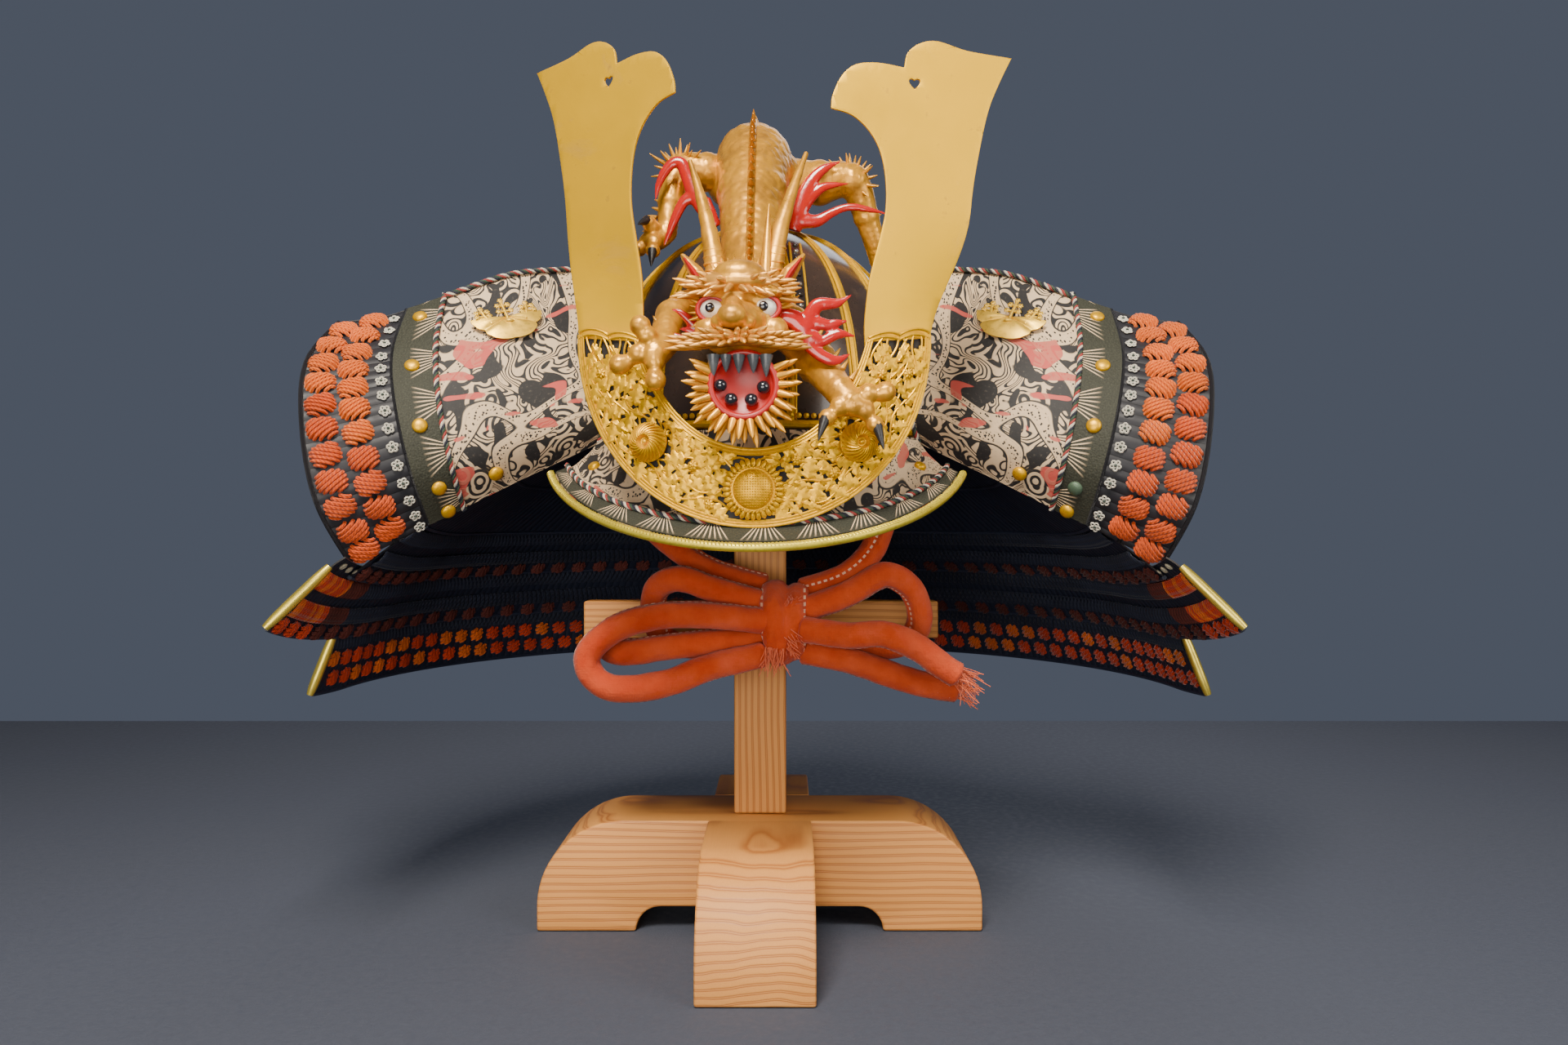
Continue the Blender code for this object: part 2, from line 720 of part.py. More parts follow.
def visor_inner(turn):
    """Where the visor leaves the bowl's base."""
    point = bowl_point(math.radians(turn * 0.92), 0, RIB_HEIGHT + VISOR_WALL + 2 * GAP)
    point.z = BOWL_BASE - 0.004
    return point


def visor_point(turn, share, drop):
    inner, outer = visor_inner(turn), visor_rim(turn)
    point = inner.lerp(outer, share)
    point.z = inner.z + (outer.z - inner.z) * drop
    return point


def visor_height_at(reach_y):
    """Height of the visor's top surface on the middle line at a given y."""
    inner, outer = visor_inner(0), visor_rim(0)
    share = (reach_y - inner.y) / (outer.y - inner.y)
    for (near, high), (far, low) in zip(VISOR_SECTION, VISOR_SECTION[1:]):
        if share <= far:
            drop = high + (low - high) * (share - near) / (far - near)
            return inner.z + (outer.z - inner.z) * drop
    return outer.z


def make_visor():
    turns = [VISOR_ANGLE * (step / 8 - 1) for step in range(17)]
    rows = [[visor_point(turn, share, drop) for turn in turns] for share, drop in VISOR_SECTION]
    work = loft(rows)
    bmesh.ops.recalc_face_normals(work, faces=work.faces)
    if sum(face.normal.z for face in work.faces) < 0:
        bmesh.ops.reverse_faces(work, faces=work.faces)
    thicken(place("visor", mesh_of(work), "printed_leather"), VISOR_WALL, -1)
    rim = []
    for turn in turns:
        inner, outer = visor_point(turn, *VISOR_SECTION[-2]), visor_rim(turn)
        along = (visor_rim(turn + 1) - visor_rim(turn - 1)).normalized()
        out = outer - inner
        out = (out - along * out.dot(along)).normalized()
        rim.append(outer + out * (RIM_RADIUS + 2 * GAP) - Vector((0, 0, VISOR_WALL / 2)))
    tube("visor_rim", rim, [RIM_RADIUS] * len(rim), "gilt", 8)


def crest_centre():
    """Height of the openwork's centre, which stands on the visor."""
    return visor_height_at(CREST_Y + CREST_WALL) + CREST_OUTER + 3 * GAP


def crest_radii(turn):
    """Inner and outer radius of the openwork base at a turn in degrees from straight down."""
    share = (abs(turn) / CREST_ANGLE) ** 4
    return CREST_INNER + CREST_FLARE * share, CREST_OUTER + CREST_FLARE * 0.5 * share


def crest_spot(turn, across):
    """Flat x and z on the base: across from 0 at the inner rim to 1 at the outer."""
    inner, outer = crest_radii(turn)
    radius = inner + (outer - inner) * across
    angle = math.radians(turn)
    return radius * math.sin(angle), crest_centre() - radius * math.cos(angle)


def crest_y(x):
    return CREST_Y + CREST_SAG * (x / CREST_OUTER) ** 2


def crest_slope(x):
    """Turn of the bent plate about the upright at a given x."""
    return math.atan(2 * CREST_SAG * x / CREST_OUTER ** 2)


def crest_bend(point):
    return Vector((point.x, crest_y(point.x), point.z))


def crest_outline(rows=14):
    turns = [CREST_ANGLE * (step / rows * 2 - 1) for step in range(rows + 1)]
    outer = [crest_spot(turn, 1.0) for turn in turns]
    scallop = [crest_spot(CREST_ANGLE + rise, across)
               for across, rise in ((0.82, 3.5), (0.64, 1.0), (0.46, 4.5), (0.28, 1.0), (0.14, 4.0))]
    inner = [crest_spot(turn, 0.0) for turn in reversed(turns)]
    return outer + scallop + inner + [(-x, z) for x, z in reversed(scallop)]


def crest_holes():
    """Leaf-shaped gaps in three rings, clear of the three bosses."""
    bosses = [(crest_spot(0, 0.52), ROSETTE_RADIUS * 1.06)]
    bosses += [(crest_spot(turn, 0.52), SIDE_BOSS_RADIUS * 1.25) for turn in (-BOSS_TURN, BOSS_TURN)]
    holes = []
    for ring, across in enumerate((0.24, 0.50, 0.76)):
        inner, outer = crest_radii(0)
        radius = inner + (outer - inner) * across
        count = round(math.radians(2 * CREST_ANGLE) * radius / (CREST_HOLE * 1.85))
        for index in range(count):
            turn = CREST_ANGLE * 0.955 * ((index + 0.5) / count * 2 - 1)
            x, z = crest_spot(turn, across)
            if any(math.hypot(x - bx, z - bz) < reach + CREST_HOLE * 0.6 for (bx, bz), reach in bosses):
                continue
            lean = math.radians(turn + (35 if (index + ring) % 2 else -35))
            hole = []
            for along, aside in ((0.62, 0.0), (0.10, 0.42), (-0.62, 0.0), (0.10, -0.42)):
                a, b = along * CREST_HOLE, aside * CREST_HOLE
                hole.append((x + a * math.sin(lean) + b * math.cos(lean),
                             z - a * math.cos(lean) + b * math.sin(lean)))
            holes.append(hole)
    return holes


def make_crest_base():
    boss_x = crest_spot(BOSS_TURN, 0.5)[0]
    work = flat_sheet("crest_base", crest_outline(), crest_holes(), (-boss_x, 0, boss_x))
    plate("crest_base", work, CREST_WALL, "gilt", crest_bend)
    make_boss("crest_boss_centre", 0, BOSS_RADIUS, ROSETTE_RADIUS)
    make_boss("crest_boss_left", -BOSS_TURN, SIDE_BOSS_RADIUS * 0.75, SIDE_BOSS_RADIUS)
    make_boss("crest_boss_right", BOSS_TURN, SIDE_BOSS_RADIUS * 0.75, SIDE_BOSS_RADIUS)


def make_boss(name, turn, dome, rosette):
    """Stepped dome: a rosette of petals with a rounded middle, turned about its own axis."""
    x, z = crest_spot(turn, 0.52)
    profile = ((0.0, 0.0), (rosette, 0.0), (rosette, 0.0012), (dome, 0.0030),
               (dome * 0.85, 0.0055), (dome * 0.5, 0.0075), (0.0, 0.0082))
    work = bmesh.new()
    verts = [work.verts.new((radius, 0, rise)) for radius, rise in profile]
    for first, second in zip(verts, verts[1:]):
        work.edges.new((first, second))
    bmesh.ops.spin(work, geom=work.verts[:] + work.edges[:], cent=(0, 0, 0), axis=(0, 0, 1),
                   angle=math.tau, steps=10, use_merge=True)
    bmesh.ops.remove_doubles(work, verts=work.verts, dist=0.00001)
    bmesh.ops.recalc_face_normals(work, faces=work.faces)
    slope = crest_slope(x)
    turn_out = Matrix.Rotation(slope, 4, "Z") @ Matrix.Rotation(math.radians(90), 4, "X")
    away = Matrix.Rotation(slope, 4, "Z") @ Vector((0, -1, 0))
    spot = Vector((x, crest_y(x), z)) + away * (GAP + 0.05 * CREST_SAG * (rosette / CREST_OUTER) ** 2)
    bmesh.ops.transform(work, matrix=Matrix.Translation(spot) @ turn_out, verts=work.verts)
    place(name, mesh_of(work), "gilt")


def make_horn(side):
    """Plain gilt sheet horn whose foot slides behind the openwork base."""
    sign = -1 if side == "left" else 1
    foot_z = crest_centre() + CREST_OUTER * 0.11 - HORN_TONGUE
    outline = []
    for across, rise in HORN_OUTLINE:
        outline.append((sign * across * HORN_HALF_SHAFT, foot_z + HORN_TONGUE + rise * HORN_HEIGHT))
    heart = []
    heart_x, heart_z = sign * -0.26 * HORN_HALF_SHAFT, foot_z + HORN_TONGUE + 0.855 * HORN_HEIGHT
    for across, rise in ((0, -1.1), (0.75, -0.1), (0.75, 0.5), (0.35, 0.75), (0, 0.4), (-0.35, 0.75),
                         (-0.75, 0.5), (-0.75, -0.1)):
        heart.append((heart_x + across * HEART_RADIUS, heart_z + rise * HEART_RADIUS))
    rises = [foot_z + HORN_TONGUE + HORN_HEIGHT * share for share in (0.09, 0.18, 0.27, 0.36)]
    work = flat_sheet("horn_" + side, outline, (heart,), (), rises)
    axis_x = sign * HORN_AXIS[side]
    base_x = sign * (crest_spot(CREST_ANGLE, 0.5)[0])
    base_slope = crest_slope(base_x)
    base_y = crest_y(base_x) + (CREST_WALL + 3 * GAP) / math.cos(base_slope) + 2 * GAP

    def bend(point):
        rise = (point.z - foot_z - HORN_TONGUE) / HORN_HEIGHT
        grow = min(1.0, max(0.0, rise / 0.35))
        ease = grow * grow * (3 - 2 * grow)
        final = math.radians(sign * HORN_TWIST[side])
        slope = base_slope + (final - base_slope) * ease
        centre = base_x + (axis_x - base_x) * ease
        return Vector((centre + point.x * math.cos(slope), base_y + point.x * math.sin(slope), point.z))

    horn = plate("horn_" + side, work, HORN_WALL, "gilt", bend)
    seat(horn, PARTS.objects["crest_base"])


def dragon_spine():
    line = []
    for back, up, share in DRAGON_BACK:
        line.append((Vector((DRAGON_X, HIP_Y + back * BODY_RADIUS, HIP_Z + up * BODY_RADIUS)),
                     share * BODY_RADIUS))
    return line


def make_dragon_body():
    spine = dragon_spine()
    body = tube("body_core", [point for point, _ in spine], [radius for _, radius in spine],
                "gilded_wood", 8)
    crest = []
    for index, (point, radius) in enumerate(spine[1:-1], 1):
        ahead = spine[index + 1][0] - spine[index - 1][0]
        up = Vector((0, -ahead.z, ahead.y)).normalized()
        crest.append(point + up * radius * 0.98)
    ridge = tube("body_ridge", crest, [0.0042] * len(crest), "gilded_wood", 4)
    body = fuse("dragon_body", [body, ridge], "gilded_wood")
    cut(body, bowl_envelope("bowl_under_body"))
    return body


def stepped(anchor, steps):
    """Point that lies some steps from the hips, the head or the knot."""
    origin, unit = {
        "hips": ((DRAGON_X, HIP_Y, HIP_Z), BODY_RADIUS),
        "head": ((HEAD_X, HEAD_Y, HEAD_Z), HEAD_RADIUS),
        "knot": ((KNOT_X, KNOT_Y, KNOT_Z), CORD_DIAMETER),
    }[anchor]
    return Vector(origin) + unit * Vector(steps)


def make_limb(name, carriers):
    anchor, joints, ends = LIMBS[name]
    line = [stepped(anchor, joint[:3]) for joint in joints]
    leg = tube(name + "_core", line, [joint[3] * LEG_RADIUS for joint in joints], "gilded_wood", 6)
    toes = []
    for index, reach in enumerate(ends):
        start, end = line[-1], stepped(anchor, reach)
        middle = start.lerp(end, 0.8)
        toes.append(tube(name + "_toe%d" % index, [start, middle, end],
                         [TOE_RADIUS, TOE_RADIUS, TOE_RADIUS * 0.55], "gilded_wood", 6))
    limb = fuse(name, [leg] + toes, "gilded_wood")
    seat(limb, *carriers)
    return limb


def ray_plate(name, centre, inner, outer, start, stop, count, y, finish, wall=RAY_WALL):
    """Flat burst of pointed locks around a centre, between two turns in degrees."""
    outline = []
    whole = stop - start >= 360
    steps = count * 2 if whole else count * 2 + 1
    for step in range(steps):
        angle = math.radians(start + (stop - start) * step / (count * 2))
        radius = outer if step % 2 else inner
        outline.append((centre[0] + radius[0] * math.sin(angle),
                        centre[1] - radius[1] * math.cos(angle)))
    if not whole:
        for step in range(count, -1, -1):
            angle = math.radians(start + (stop - start) * step / count)
            outline.append((centre[0] + inner[0] * 0.45 * math.sin(angle),
                            centre[1] - inner[1] * 0.45 * math.cos(angle)))
    work = flat_sheet(name, outline)
    bmesh.ops.translate(work, vec=(0, y, 0), verts=work.verts)
    return plate(name, work, wall, finish)


def make_dragon_head():
    centre = Vector((HEAD_X, HEAD_Y, HEAD_Z))
    r = HEAD_RADIUS
    skull = ball("skull", (r, r * 1.15, r * 0.95), centre, "gilded_wood", 10, 6)
    snout = ball("snout", (r * 0.62, r * 0.80, r * 0.52), centre + Vector((0, -r * 0.85, -r * 0.50)),
                 "gilded_wood", 8, 5)
    nose = ball("nose", (r * 0.30, r * 0.34, r * 0.26), centre + Vector((-0.1 * r, -r * 1.50, -r * 0.52)),
                "gilded_wood", 6, 4)
    lip = ball("lip", (r * 0.82, r * 0.70, r * 0.30), centre + Vector((0.05 * r, -r * 0.75, -r * 1.02)),
               "gilded_wood", 10, 6)
    ears = []
    for sign in (-1, 1):
        root = centre + Vector((sign * r * 0.75, r * 0.1, r * 0.45))
        tip = centre + Vector((sign * r * 1.35, r * 0.2, r * 1.35))
        ears.append(cone("ear", root, tip, r * 0.34, "gilded_wood", 0.25))
        ears.append(ball("eye", (r * 0.27, r * 0.22, r * 0.22),
                         centre + Vector((sign * r * 0.59, -r * 0.92, -r * 0.12)), "gilded_wood", 6, 4))
    nape = tube("nape", [centre, centre + Vector((0, r * 1.3, r * 0.35))], [r * 0.75, r * 0.66],
                "gilded_wood")
    head = fuse("dragon_head", [skull, snout, nose, lip, nape] + ears, "gilded_wood")
    seat(head, PARTS.objects["dragon_body"])
    for side, sign in (("left", -1), ("right", 1)):
        root = centre + Vector((sign * r * 0.62, r * 0.35, r * 0.70))
        lean = Vector((sign * 0.42, 0.45, 1.0)).normalized()
        horn = tube("dragon_horn_" + side,
                    [root, root + lean * DRAGON_HORN_LENGTH * 0.5, root + lean * DRAGON_HORN_LENGTH * 1.08],
                    [r * 0.24, r * 0.17, r * 0.07], "gilded_wood", 8)
        seat(horn, head)
    return head


def make_dragon_jaw():
    centre = (HEAD_X + 0.003, JAW_Z)
    beard = ray_plate("beard_rays", centre, (JAW_RADIUS * 1.05,) * 2, (JAW_RADIUS * 1.95,) * 2,
                      -112, 112, 15, JAW_Y + 0.0055, "gilded_wood")
    back = ball("jaw_back", (JAW_RADIUS * 1.0, 0.010, JAW_RADIUS * 0.92),
                (centre[0], JAW_Y + 0.0125, centre[1]), "gilded_wood", 10, 4)
    throat = tube("throat", [(centre[0], JAW_Y + 0.012, centre[1] + 0.004),
                             (HEAD_X, HEAD_Y + 0.012, HEAD_Z - 0.022)],
                  [0.010, 0.009], "gilded_wood", 8)
    jaw = fuse("dragon_jaw", [beard_solid(beard), back, throat], "gilded_wood")
    seat(jaw, PARTS.objects["dragon_head"], PARTS.objects["dragon_body"])
    mouth = ball("dragon_mouth", (JAW_RADIUS, 0.0050, JAW_RADIUS), (centre[0], JAW_Y, centre[1]),
                 "red_lacquer", 12, 4)
    seat(mouth, jaw, PARTS.objects["dragon_head"])


def beard_solid(thing):
    """The burst of locks as a plain mesh, so that it can be joined."""
    bpy.context.view_layer.update()
    mesh = settled(thing)
    bpy.data.objects.remove(thing)
    return place("beard_body", mesh, "gilded_wood")


def make_dragon_tufts():
    """Brows over the eyes and the moustache over the lip, as jagged combs."""
    head = PARTS.objects["dragon_head"]
    brow = ray_plate("dragon_brow", (HEAD_X, HEAD_Z + 0.006), (HEAD_RADIUS * 1.00, HEAD_RADIUS * 0.55),
                     (HEAD_RADIUS * 1.55, HEAD_RADIUS * 0.95), 62, 298, 11,
                     HEAD_Y - HEAD_RADIUS * 1.22, "gilded_wood", BROW_WALL)
    seat(brow, head)
    beard = ray_plate("dragon_moustache", (HEAD_X - 0.001, HEAD_Z - HEAD_RADIUS * 0.93),
                      (HEAD_RADIUS * 0.95, HEAD_RADIUS * 0.22), (HEAD_RADIUS * 1.50, HEAD_RADIUS * 0.50),
                      0, 360, 13, HEAD_Y - HEAD_RADIUS * 1.52, "gilded_wood", MOUSTACHE_WALL)
    seat(beard, head)
    seat(PARTS.objects["dragon_mouth"], beard)


def make_flames():
    carriers = {
        "flame_left_hip": ("dragon_body", "dragon_hind_leg_left"),
        "flame_right_hip": ("dragon_body", "dragon_hind_leg_right"),
        "flame_right_cheek": ("dragon_head", "dragon_body", "dragon_fore_leg_right", "dragon_brow"),
        "flame_left_cheek": ("dragon_head", "dragon_body", "dragon_fore_leg_left", "dragon_brow"),
    }
    for name, (anchor, front, outline) in FLAMES.items():
        points = [stepped(anchor, (across, front, up)) for across, up in outline]
        work = flat_sheet(name, [(point.x, point.z) for point in points])
        bmesh.ops.translate(work, vec=(0, points[0].y, 0), verts=work.verts)
        flame = plate(name, work, FLAME_WALL, "red_lacquer")
        seat(flame, *[PARTS.objects[carrier] for carrier in carriers[name]])


def make_dragon():
    body = make_dragon_body()
    crest = PARTS.objects["crest_base"]
    right = make_limb("dragon_hind_leg_right", (body,))
    cut(right, bowl_envelope("bowl_under_leg"))
    make_limb("dragon_hind_leg_left", (body,))
    left = make_limb("dragon_fore_leg_left", (body, crest))
    right = make_limb("dragon_fore_leg_right", (body, crest, left))
    head = make_dragon_head()
    for limb in (left, right):
        seat(limb, head)
    make_dragon_jaw()
    make_dragon_tufts()
    make_flames()


def neck_point(edge, turn):
    """Point on the neck guard's profile; edge picks a row of LAME_EDGES, turn from the back."""
    width, length, drop = LAME_EDGES[edge]
    start_x = BOWL_HALF_WIDTH + RIB_HEIGHT + 4 * GAP
    start_y = BOWL_HALF_LENGTH + RIB_HEIGHT + 4 * GAP
    angle = math.radians(turn)
    share = max(0.0, (abs(turn) - FLARE_START) / (FLARE_END - FLARE_START))
    side = 1 if turn > 0 else -1
    return Vector((
        (start_x + (NECK_HALF_WIDTH - start_x) * width) * math.sin(angle)
        + side * TIP_FLARE * share ** 1.5 * width,
        (start_y + (NECK_HALF_LENGTH - start_y) * length) * math.cos(angle) - NECK_SHIFT * width,
        NECK_TOP - NECK_DROP * drop + TIP_LIFT * share ** 2 * width,
    ))


def lame_rows(index, turns):
    """Top, knee and bottom rows; a lower lame starts over the foot of the one above it."""
    rows = []
    if index == 0:
        rows.append([neck_point(0, turn) for turn in turns])
        rows.append([neck_point(1, turn) for turn in turns])
        return rows
    top, knee = [], []
    for turn in turns:
        above, here = neck_point(index - 1, turn), neck_point(index, turn)
        down = (here - above).normalized()
        radial = Vector((math.sin(math.radians(turn)), math.cos(math.radians(turn)), 0))
        out = (radial - down * radial.dot(down)).normalized()
        if out.z < 0:
            out = -out
        lift = out * (LAME_WALL + 3 * GAP)
        knee.append(here + lift)
        top.append(here + lift - down * LAME_OVERLAP)
    rows.append(top)
    rows.append(knee)
    rows.append([neck_point(index + 1, turn) for turn in turns])
    return rows


def make_neck_guard():
    for index, last in enumerate(LAME_STEPS):
        turns = [STATION_STEP * step for step in range(-last, last + 1)]
        work = loft(lame_rows(index, turns))
        bmesh.ops.recalc_face_normals(work, faces=work.faces)
        if sum(face.normal.z for face in work.faces) < 0:
            bmesh.ops.reverse_faces(work, faces=work.faces)
        name = "neck_lame_%d" % (index + 1)
        thicken(place(name, mesh_of(work), "black_lacquer"), LAME_WALL, 1)
        if index > 2:
            for side, sign in (("left", -1), ("right", 1)):
                make_trim("lame_trim_%s_%d" % (side, index + 1), index, sign * STATION_STEP * last, sign)


def make_trim(name, index, turn, sign):
    """Gilt edging down the front end of a lame."""
    rows = lame_rows(index, [turn, turn - sign * STATION_STEP])[1:]
    ends = [rows[0][0].lerp(rows[1][0], 0.15), rows[0][0].lerp(rows[1][0], 0.55), rows[1][0]]
    back = [rows[0][1].lerp(rows[1][1], 0.15), rows[0][1].lerp(rows[1][1], 0.55), rows[1][1]]
    points = []
    for end, inner in zip(ends, back):
        ahead = (end - inner).normalized()
        points.append(end + ahead * (TRIM_RADIUS * 1.02 + 2 * GAP))
    tube(name, points, [TRIM_RADIUS * 0.8] + [TRIM_RADIUS] * (len(points) - 1), "gilt", 8)


def fold_point(share, sign):
    """Where a turned-back wing starts, along the front ends of the upper three lames."""
    place_on = share * 3
    edge = min(2, int(place_on))
    part = place_on - edge
    first, second = neck_point(edge, sign * LAME_END), neck_point(edge + 1, sign * LAME_END)
    clear = Vector((0, -GAP, LAME_WALL / 2 + WING_CLEAR * share ** 4))
    return first.lerp(second, part) + clear


def wing_point(share, climb, sign):
    """Point on a wing: share along the fold from the bowl, climb from the fold to the top edge."""
    for (near, low), (far, high) in zip(WING_SECTIONS, WING_SECTIONS[1:]):
        if share <= far:
            break
    part = min(1.0, (share - near) / (far - near))
    step = min(3, int(climb * 4))
    up = climb * 4 - step
    offsets = []
    for section in (low, high):
        start, stop = Vector(section[step]), Vector(section[step + 1])
        offsets.append(start.lerp(stop, up))
    out, back, rise = offsets[0].lerp(offsets[1], part)
    return fold_point(share, sign) + Vector((sign * out * WING_OUT, back * WING_BACK, rise * WING_HEIGHT))


def make_wing(side):
    sign = -1 if side == "left" else 1
    for name, shares, finish in (
        ("turnback_leather_" + side, (0.0, 0.16, 0.33, 0.495, 0.656), "printed_leather"),
        ("turnback_lame_" + side, (0.66, 0.83, 1.0), "black_lacquer"),
    ):
        climbs = [step / 8 for step in range(9)]
        rows = [[wing_point(share, climb, sign) for share in shares] for climb in climbs]
        work = loft(rows)
        bmesh.ops.recalc_face_normals(work, faces=work.faces)
        if sum(face.normal.y for face in work.faces) > 0:
            bmesh.ops.reverse_faces(work, faces=work.faces)
        wing = thicken(place(name, mesh_of(work), finish), WING_WALL, 1)
        seat(wing, *[PARTS.objects["neck_lame_%d" % lame] for lame in (1, 2, 3, 4)])
    make_leaf(side, sign)


def make_leaf(side, sign):
    """Gilt leaf with three blossom stems, riveted flat on the leather."""
    centre = wing_point(0.33, 0.77, sign)
    across = wing_point(0.45, 0.77, sign) - wing_point(0.21, 0.77, sign)
    up = wing_point(0.33, 0.85, sign) - wing_point(0.33, 0.69, sign)
    across.normalize()
    if across.x < 0:
        across = -across
    normal = across.cross(up).normalized()
    up = normal.cross(across)
    outline = []
    for turn in range(0, 180, 18):
        angle = math.radians(turn)
        lobe = 1.0 + 0.10 * abs(math.sin(math.radians(turn * 2.5)))
        outline.append((math.cos(angle) * lobe * LEAF_HALF_WIDTH * 0.9,
                        -math.sin(angle) * lobe * LEAF_HALF_WIDTH * 0.55))
    outline.append((-LEAF_HALF_WIDTH * 0.9, 0.0))
    for spot, height in ((-0.6, 0.42), (0.0, 0.68), (0.6, 0.42)):
        for aside, rise in ((-0.08, 0.06), (-0.17, height * 0.7), (0.0, height), (0.17, height * 0.7),
                            (0.08, 0.06)):
            outline.append(((spot + aside) * LEAF_HALF_WIDTH, rise * LEAF_HALF_WIDTH))
    work = flat_sheet("leaf_ornament_" + side, outline)
    frame = Matrix((across, -normal, up)).transposed().to_4x4()
    lift = normal * (WING_WALL + LEAF_WALL + 3 * GAP)
    if normal.y > 0:
        frame = Matrix((across, normal, up)).transposed().to_4x4()
        lift = -lift
    bmesh.ops.transform(work, matrix=Matrix.Translation(centre + lift) @ frame, verts=work.verts)
    leaf = plate("leaf_ornament_" + side, work, LEAF_WALL + 0.0012, "gilt")
    seat(leaf, PARTS.objects["turnback_leather_" + side])


def make_chin_cord():
    radius = CORD_DIAMETER / 2
    knot = ball("chin_knot", (0.0195, 0.0185, 0.0290), (KNOT_X, KNOT_Y - 0.0175, KNOT_Z - 0.003),
                "silk_cord", 10, 6)
    seat(knot, PARTS.objects["stand_post"])
    laid = [knot]
    for name, route in CORD_ROUTES.items():
        points = turned([stepped("knot", steps) for steps in route], 2)
        cord = tube(name, points, [radius] * len(points), "silk_cord", 6)
        seat(cord, *laid)
        for carrier in ("stand_post", "stand_crossbar", "bowl"):
            seat(cord, PARTS.objects[carrier])
        laid.append(cord)


clear_scene()
PARTS = collection("kabuto_on_stand")
CUTTERS = collection("cutters")
ROOT = bpy.data.objects.new("kabuto_root", None)
PARTS.objects.link(ROOT)
make_stand()
make_bowl()
make_visor()
make_crest_base()
make_horn("left")
make_horn("right")
make_dragon()
make_neck_guard()
make_wing("left")
make_wing("right")
make_chin_cord()
ROOT.location = (0, SHIFT_Y, 0)
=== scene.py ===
"""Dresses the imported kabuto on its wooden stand: lacquer, gilding, leather, lacing, carving and cord.

Sizes are in metres, +X is the viewer's right, -Y the front and +Z up. The shapes are worked out
about the stand's post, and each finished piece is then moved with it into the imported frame.
"""
import math
import random

import bmesh
import bpy
from mathutils import Matrix, Vector, noise


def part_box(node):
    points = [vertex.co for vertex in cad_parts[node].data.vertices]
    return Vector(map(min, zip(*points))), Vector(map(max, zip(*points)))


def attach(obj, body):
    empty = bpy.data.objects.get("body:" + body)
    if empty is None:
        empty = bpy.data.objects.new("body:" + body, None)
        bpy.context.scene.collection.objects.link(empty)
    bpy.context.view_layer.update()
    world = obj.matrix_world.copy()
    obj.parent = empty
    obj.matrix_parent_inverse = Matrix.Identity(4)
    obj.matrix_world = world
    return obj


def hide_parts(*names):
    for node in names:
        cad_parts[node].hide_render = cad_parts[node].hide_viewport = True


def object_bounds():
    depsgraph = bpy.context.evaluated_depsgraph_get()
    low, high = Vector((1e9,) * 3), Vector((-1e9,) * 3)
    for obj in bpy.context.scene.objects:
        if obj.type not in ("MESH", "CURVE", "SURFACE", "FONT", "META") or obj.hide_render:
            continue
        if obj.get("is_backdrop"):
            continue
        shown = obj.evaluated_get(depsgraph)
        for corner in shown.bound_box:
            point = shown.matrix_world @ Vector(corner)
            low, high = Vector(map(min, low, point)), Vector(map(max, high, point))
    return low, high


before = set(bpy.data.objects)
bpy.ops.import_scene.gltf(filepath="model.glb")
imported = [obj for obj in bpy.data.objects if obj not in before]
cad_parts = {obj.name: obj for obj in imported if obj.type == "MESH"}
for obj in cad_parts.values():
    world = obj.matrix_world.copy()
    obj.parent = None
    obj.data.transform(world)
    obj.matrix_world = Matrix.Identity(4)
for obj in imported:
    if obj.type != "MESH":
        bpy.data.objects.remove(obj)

bl_info = {
    "name": "Kabuto on a stand",
    "version": (1, 0, 0),
    "blender": (4, 5, 0),
    "location": "View3D > Sidebar > Kabuto",
    "description": "Builds the finish of a samurai helmet on a wooden stand",
    "category": "Object",
}

POST_LOW, POST_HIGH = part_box("stand_post")
MIDDLE_Y = (POST_LOW[1] + POST_HIGH[1]) / 2
TAU = math.tau
GAP = 0.0003
FRONT = (0, -1, 0)
FRONT_UP = (0, -1, 0.3)
VISOR_UP = (0, -0.5, 1)
CORD_PITCH = 5.5
CORD_FINISHES = (2, 3, 4, 5)
EDGE_EASE = 0.0016


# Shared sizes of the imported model

BOWL = {"half_width": 0.109, "half_length": 0.120, "rise": 0.142, "base": 0.335, "skirt": 0.012,
        "roundness": 2.3, "wall": 0.0025, "crown": 0.024}
VISOR = {"half_width": 0.130, "reach": 0.140, "centre_y": -0.060, "front_z": 0.2655,
         "side_rise": 0.062, "wall": 0.0025, "angle": 70.0, "rim": 0.0024}
VISOR_SECTION = ((0.0, 0.0), (0.275, 0.42), (0.60, 0.78), (1.0, 1.0))
CREST = {"y": -0.186, "inner": 0.052, "outer": 0.0928, "flare": 0.011, "angle": 98.0,
         "wall": 0.0018, "boss_turn": 50.0, "sag": 0.0224}
HORN = {"height": 0.166, "half_shaft": 0.0243, "wall": 0.0015, "tongue": 0.008,
        "axis": {"left": 0.0855, "right": 0.0950}, "twist": {"left": 34, "right": 9}}
DRAGON_X = -0.003
HIPS = (Vector((DRAGON_X, -0.046, 0.5135)), 0.0250)
HEAD = (Vector((-0.0057, -0.181, 0.391)), 0.0235)
KNOT = (Vector((0.0160, -0.0375, 0.214)), 0.0170)
JAW = {"y": -0.2095, "z": 0.3455, "radius": 0.0164}
LEG_RADIUS = 0.0105
NECK = {"half_width": 0.292, "half_length": 0.275, "drop": 0.170, "top": 0.330, "shift": 0.020,
        "wall": 0.0020, "overlap": 0.008, "end": 112, "flare": 0.0435, "lift": 0.018,
        "flare_start": 88, "flare_end": 120}
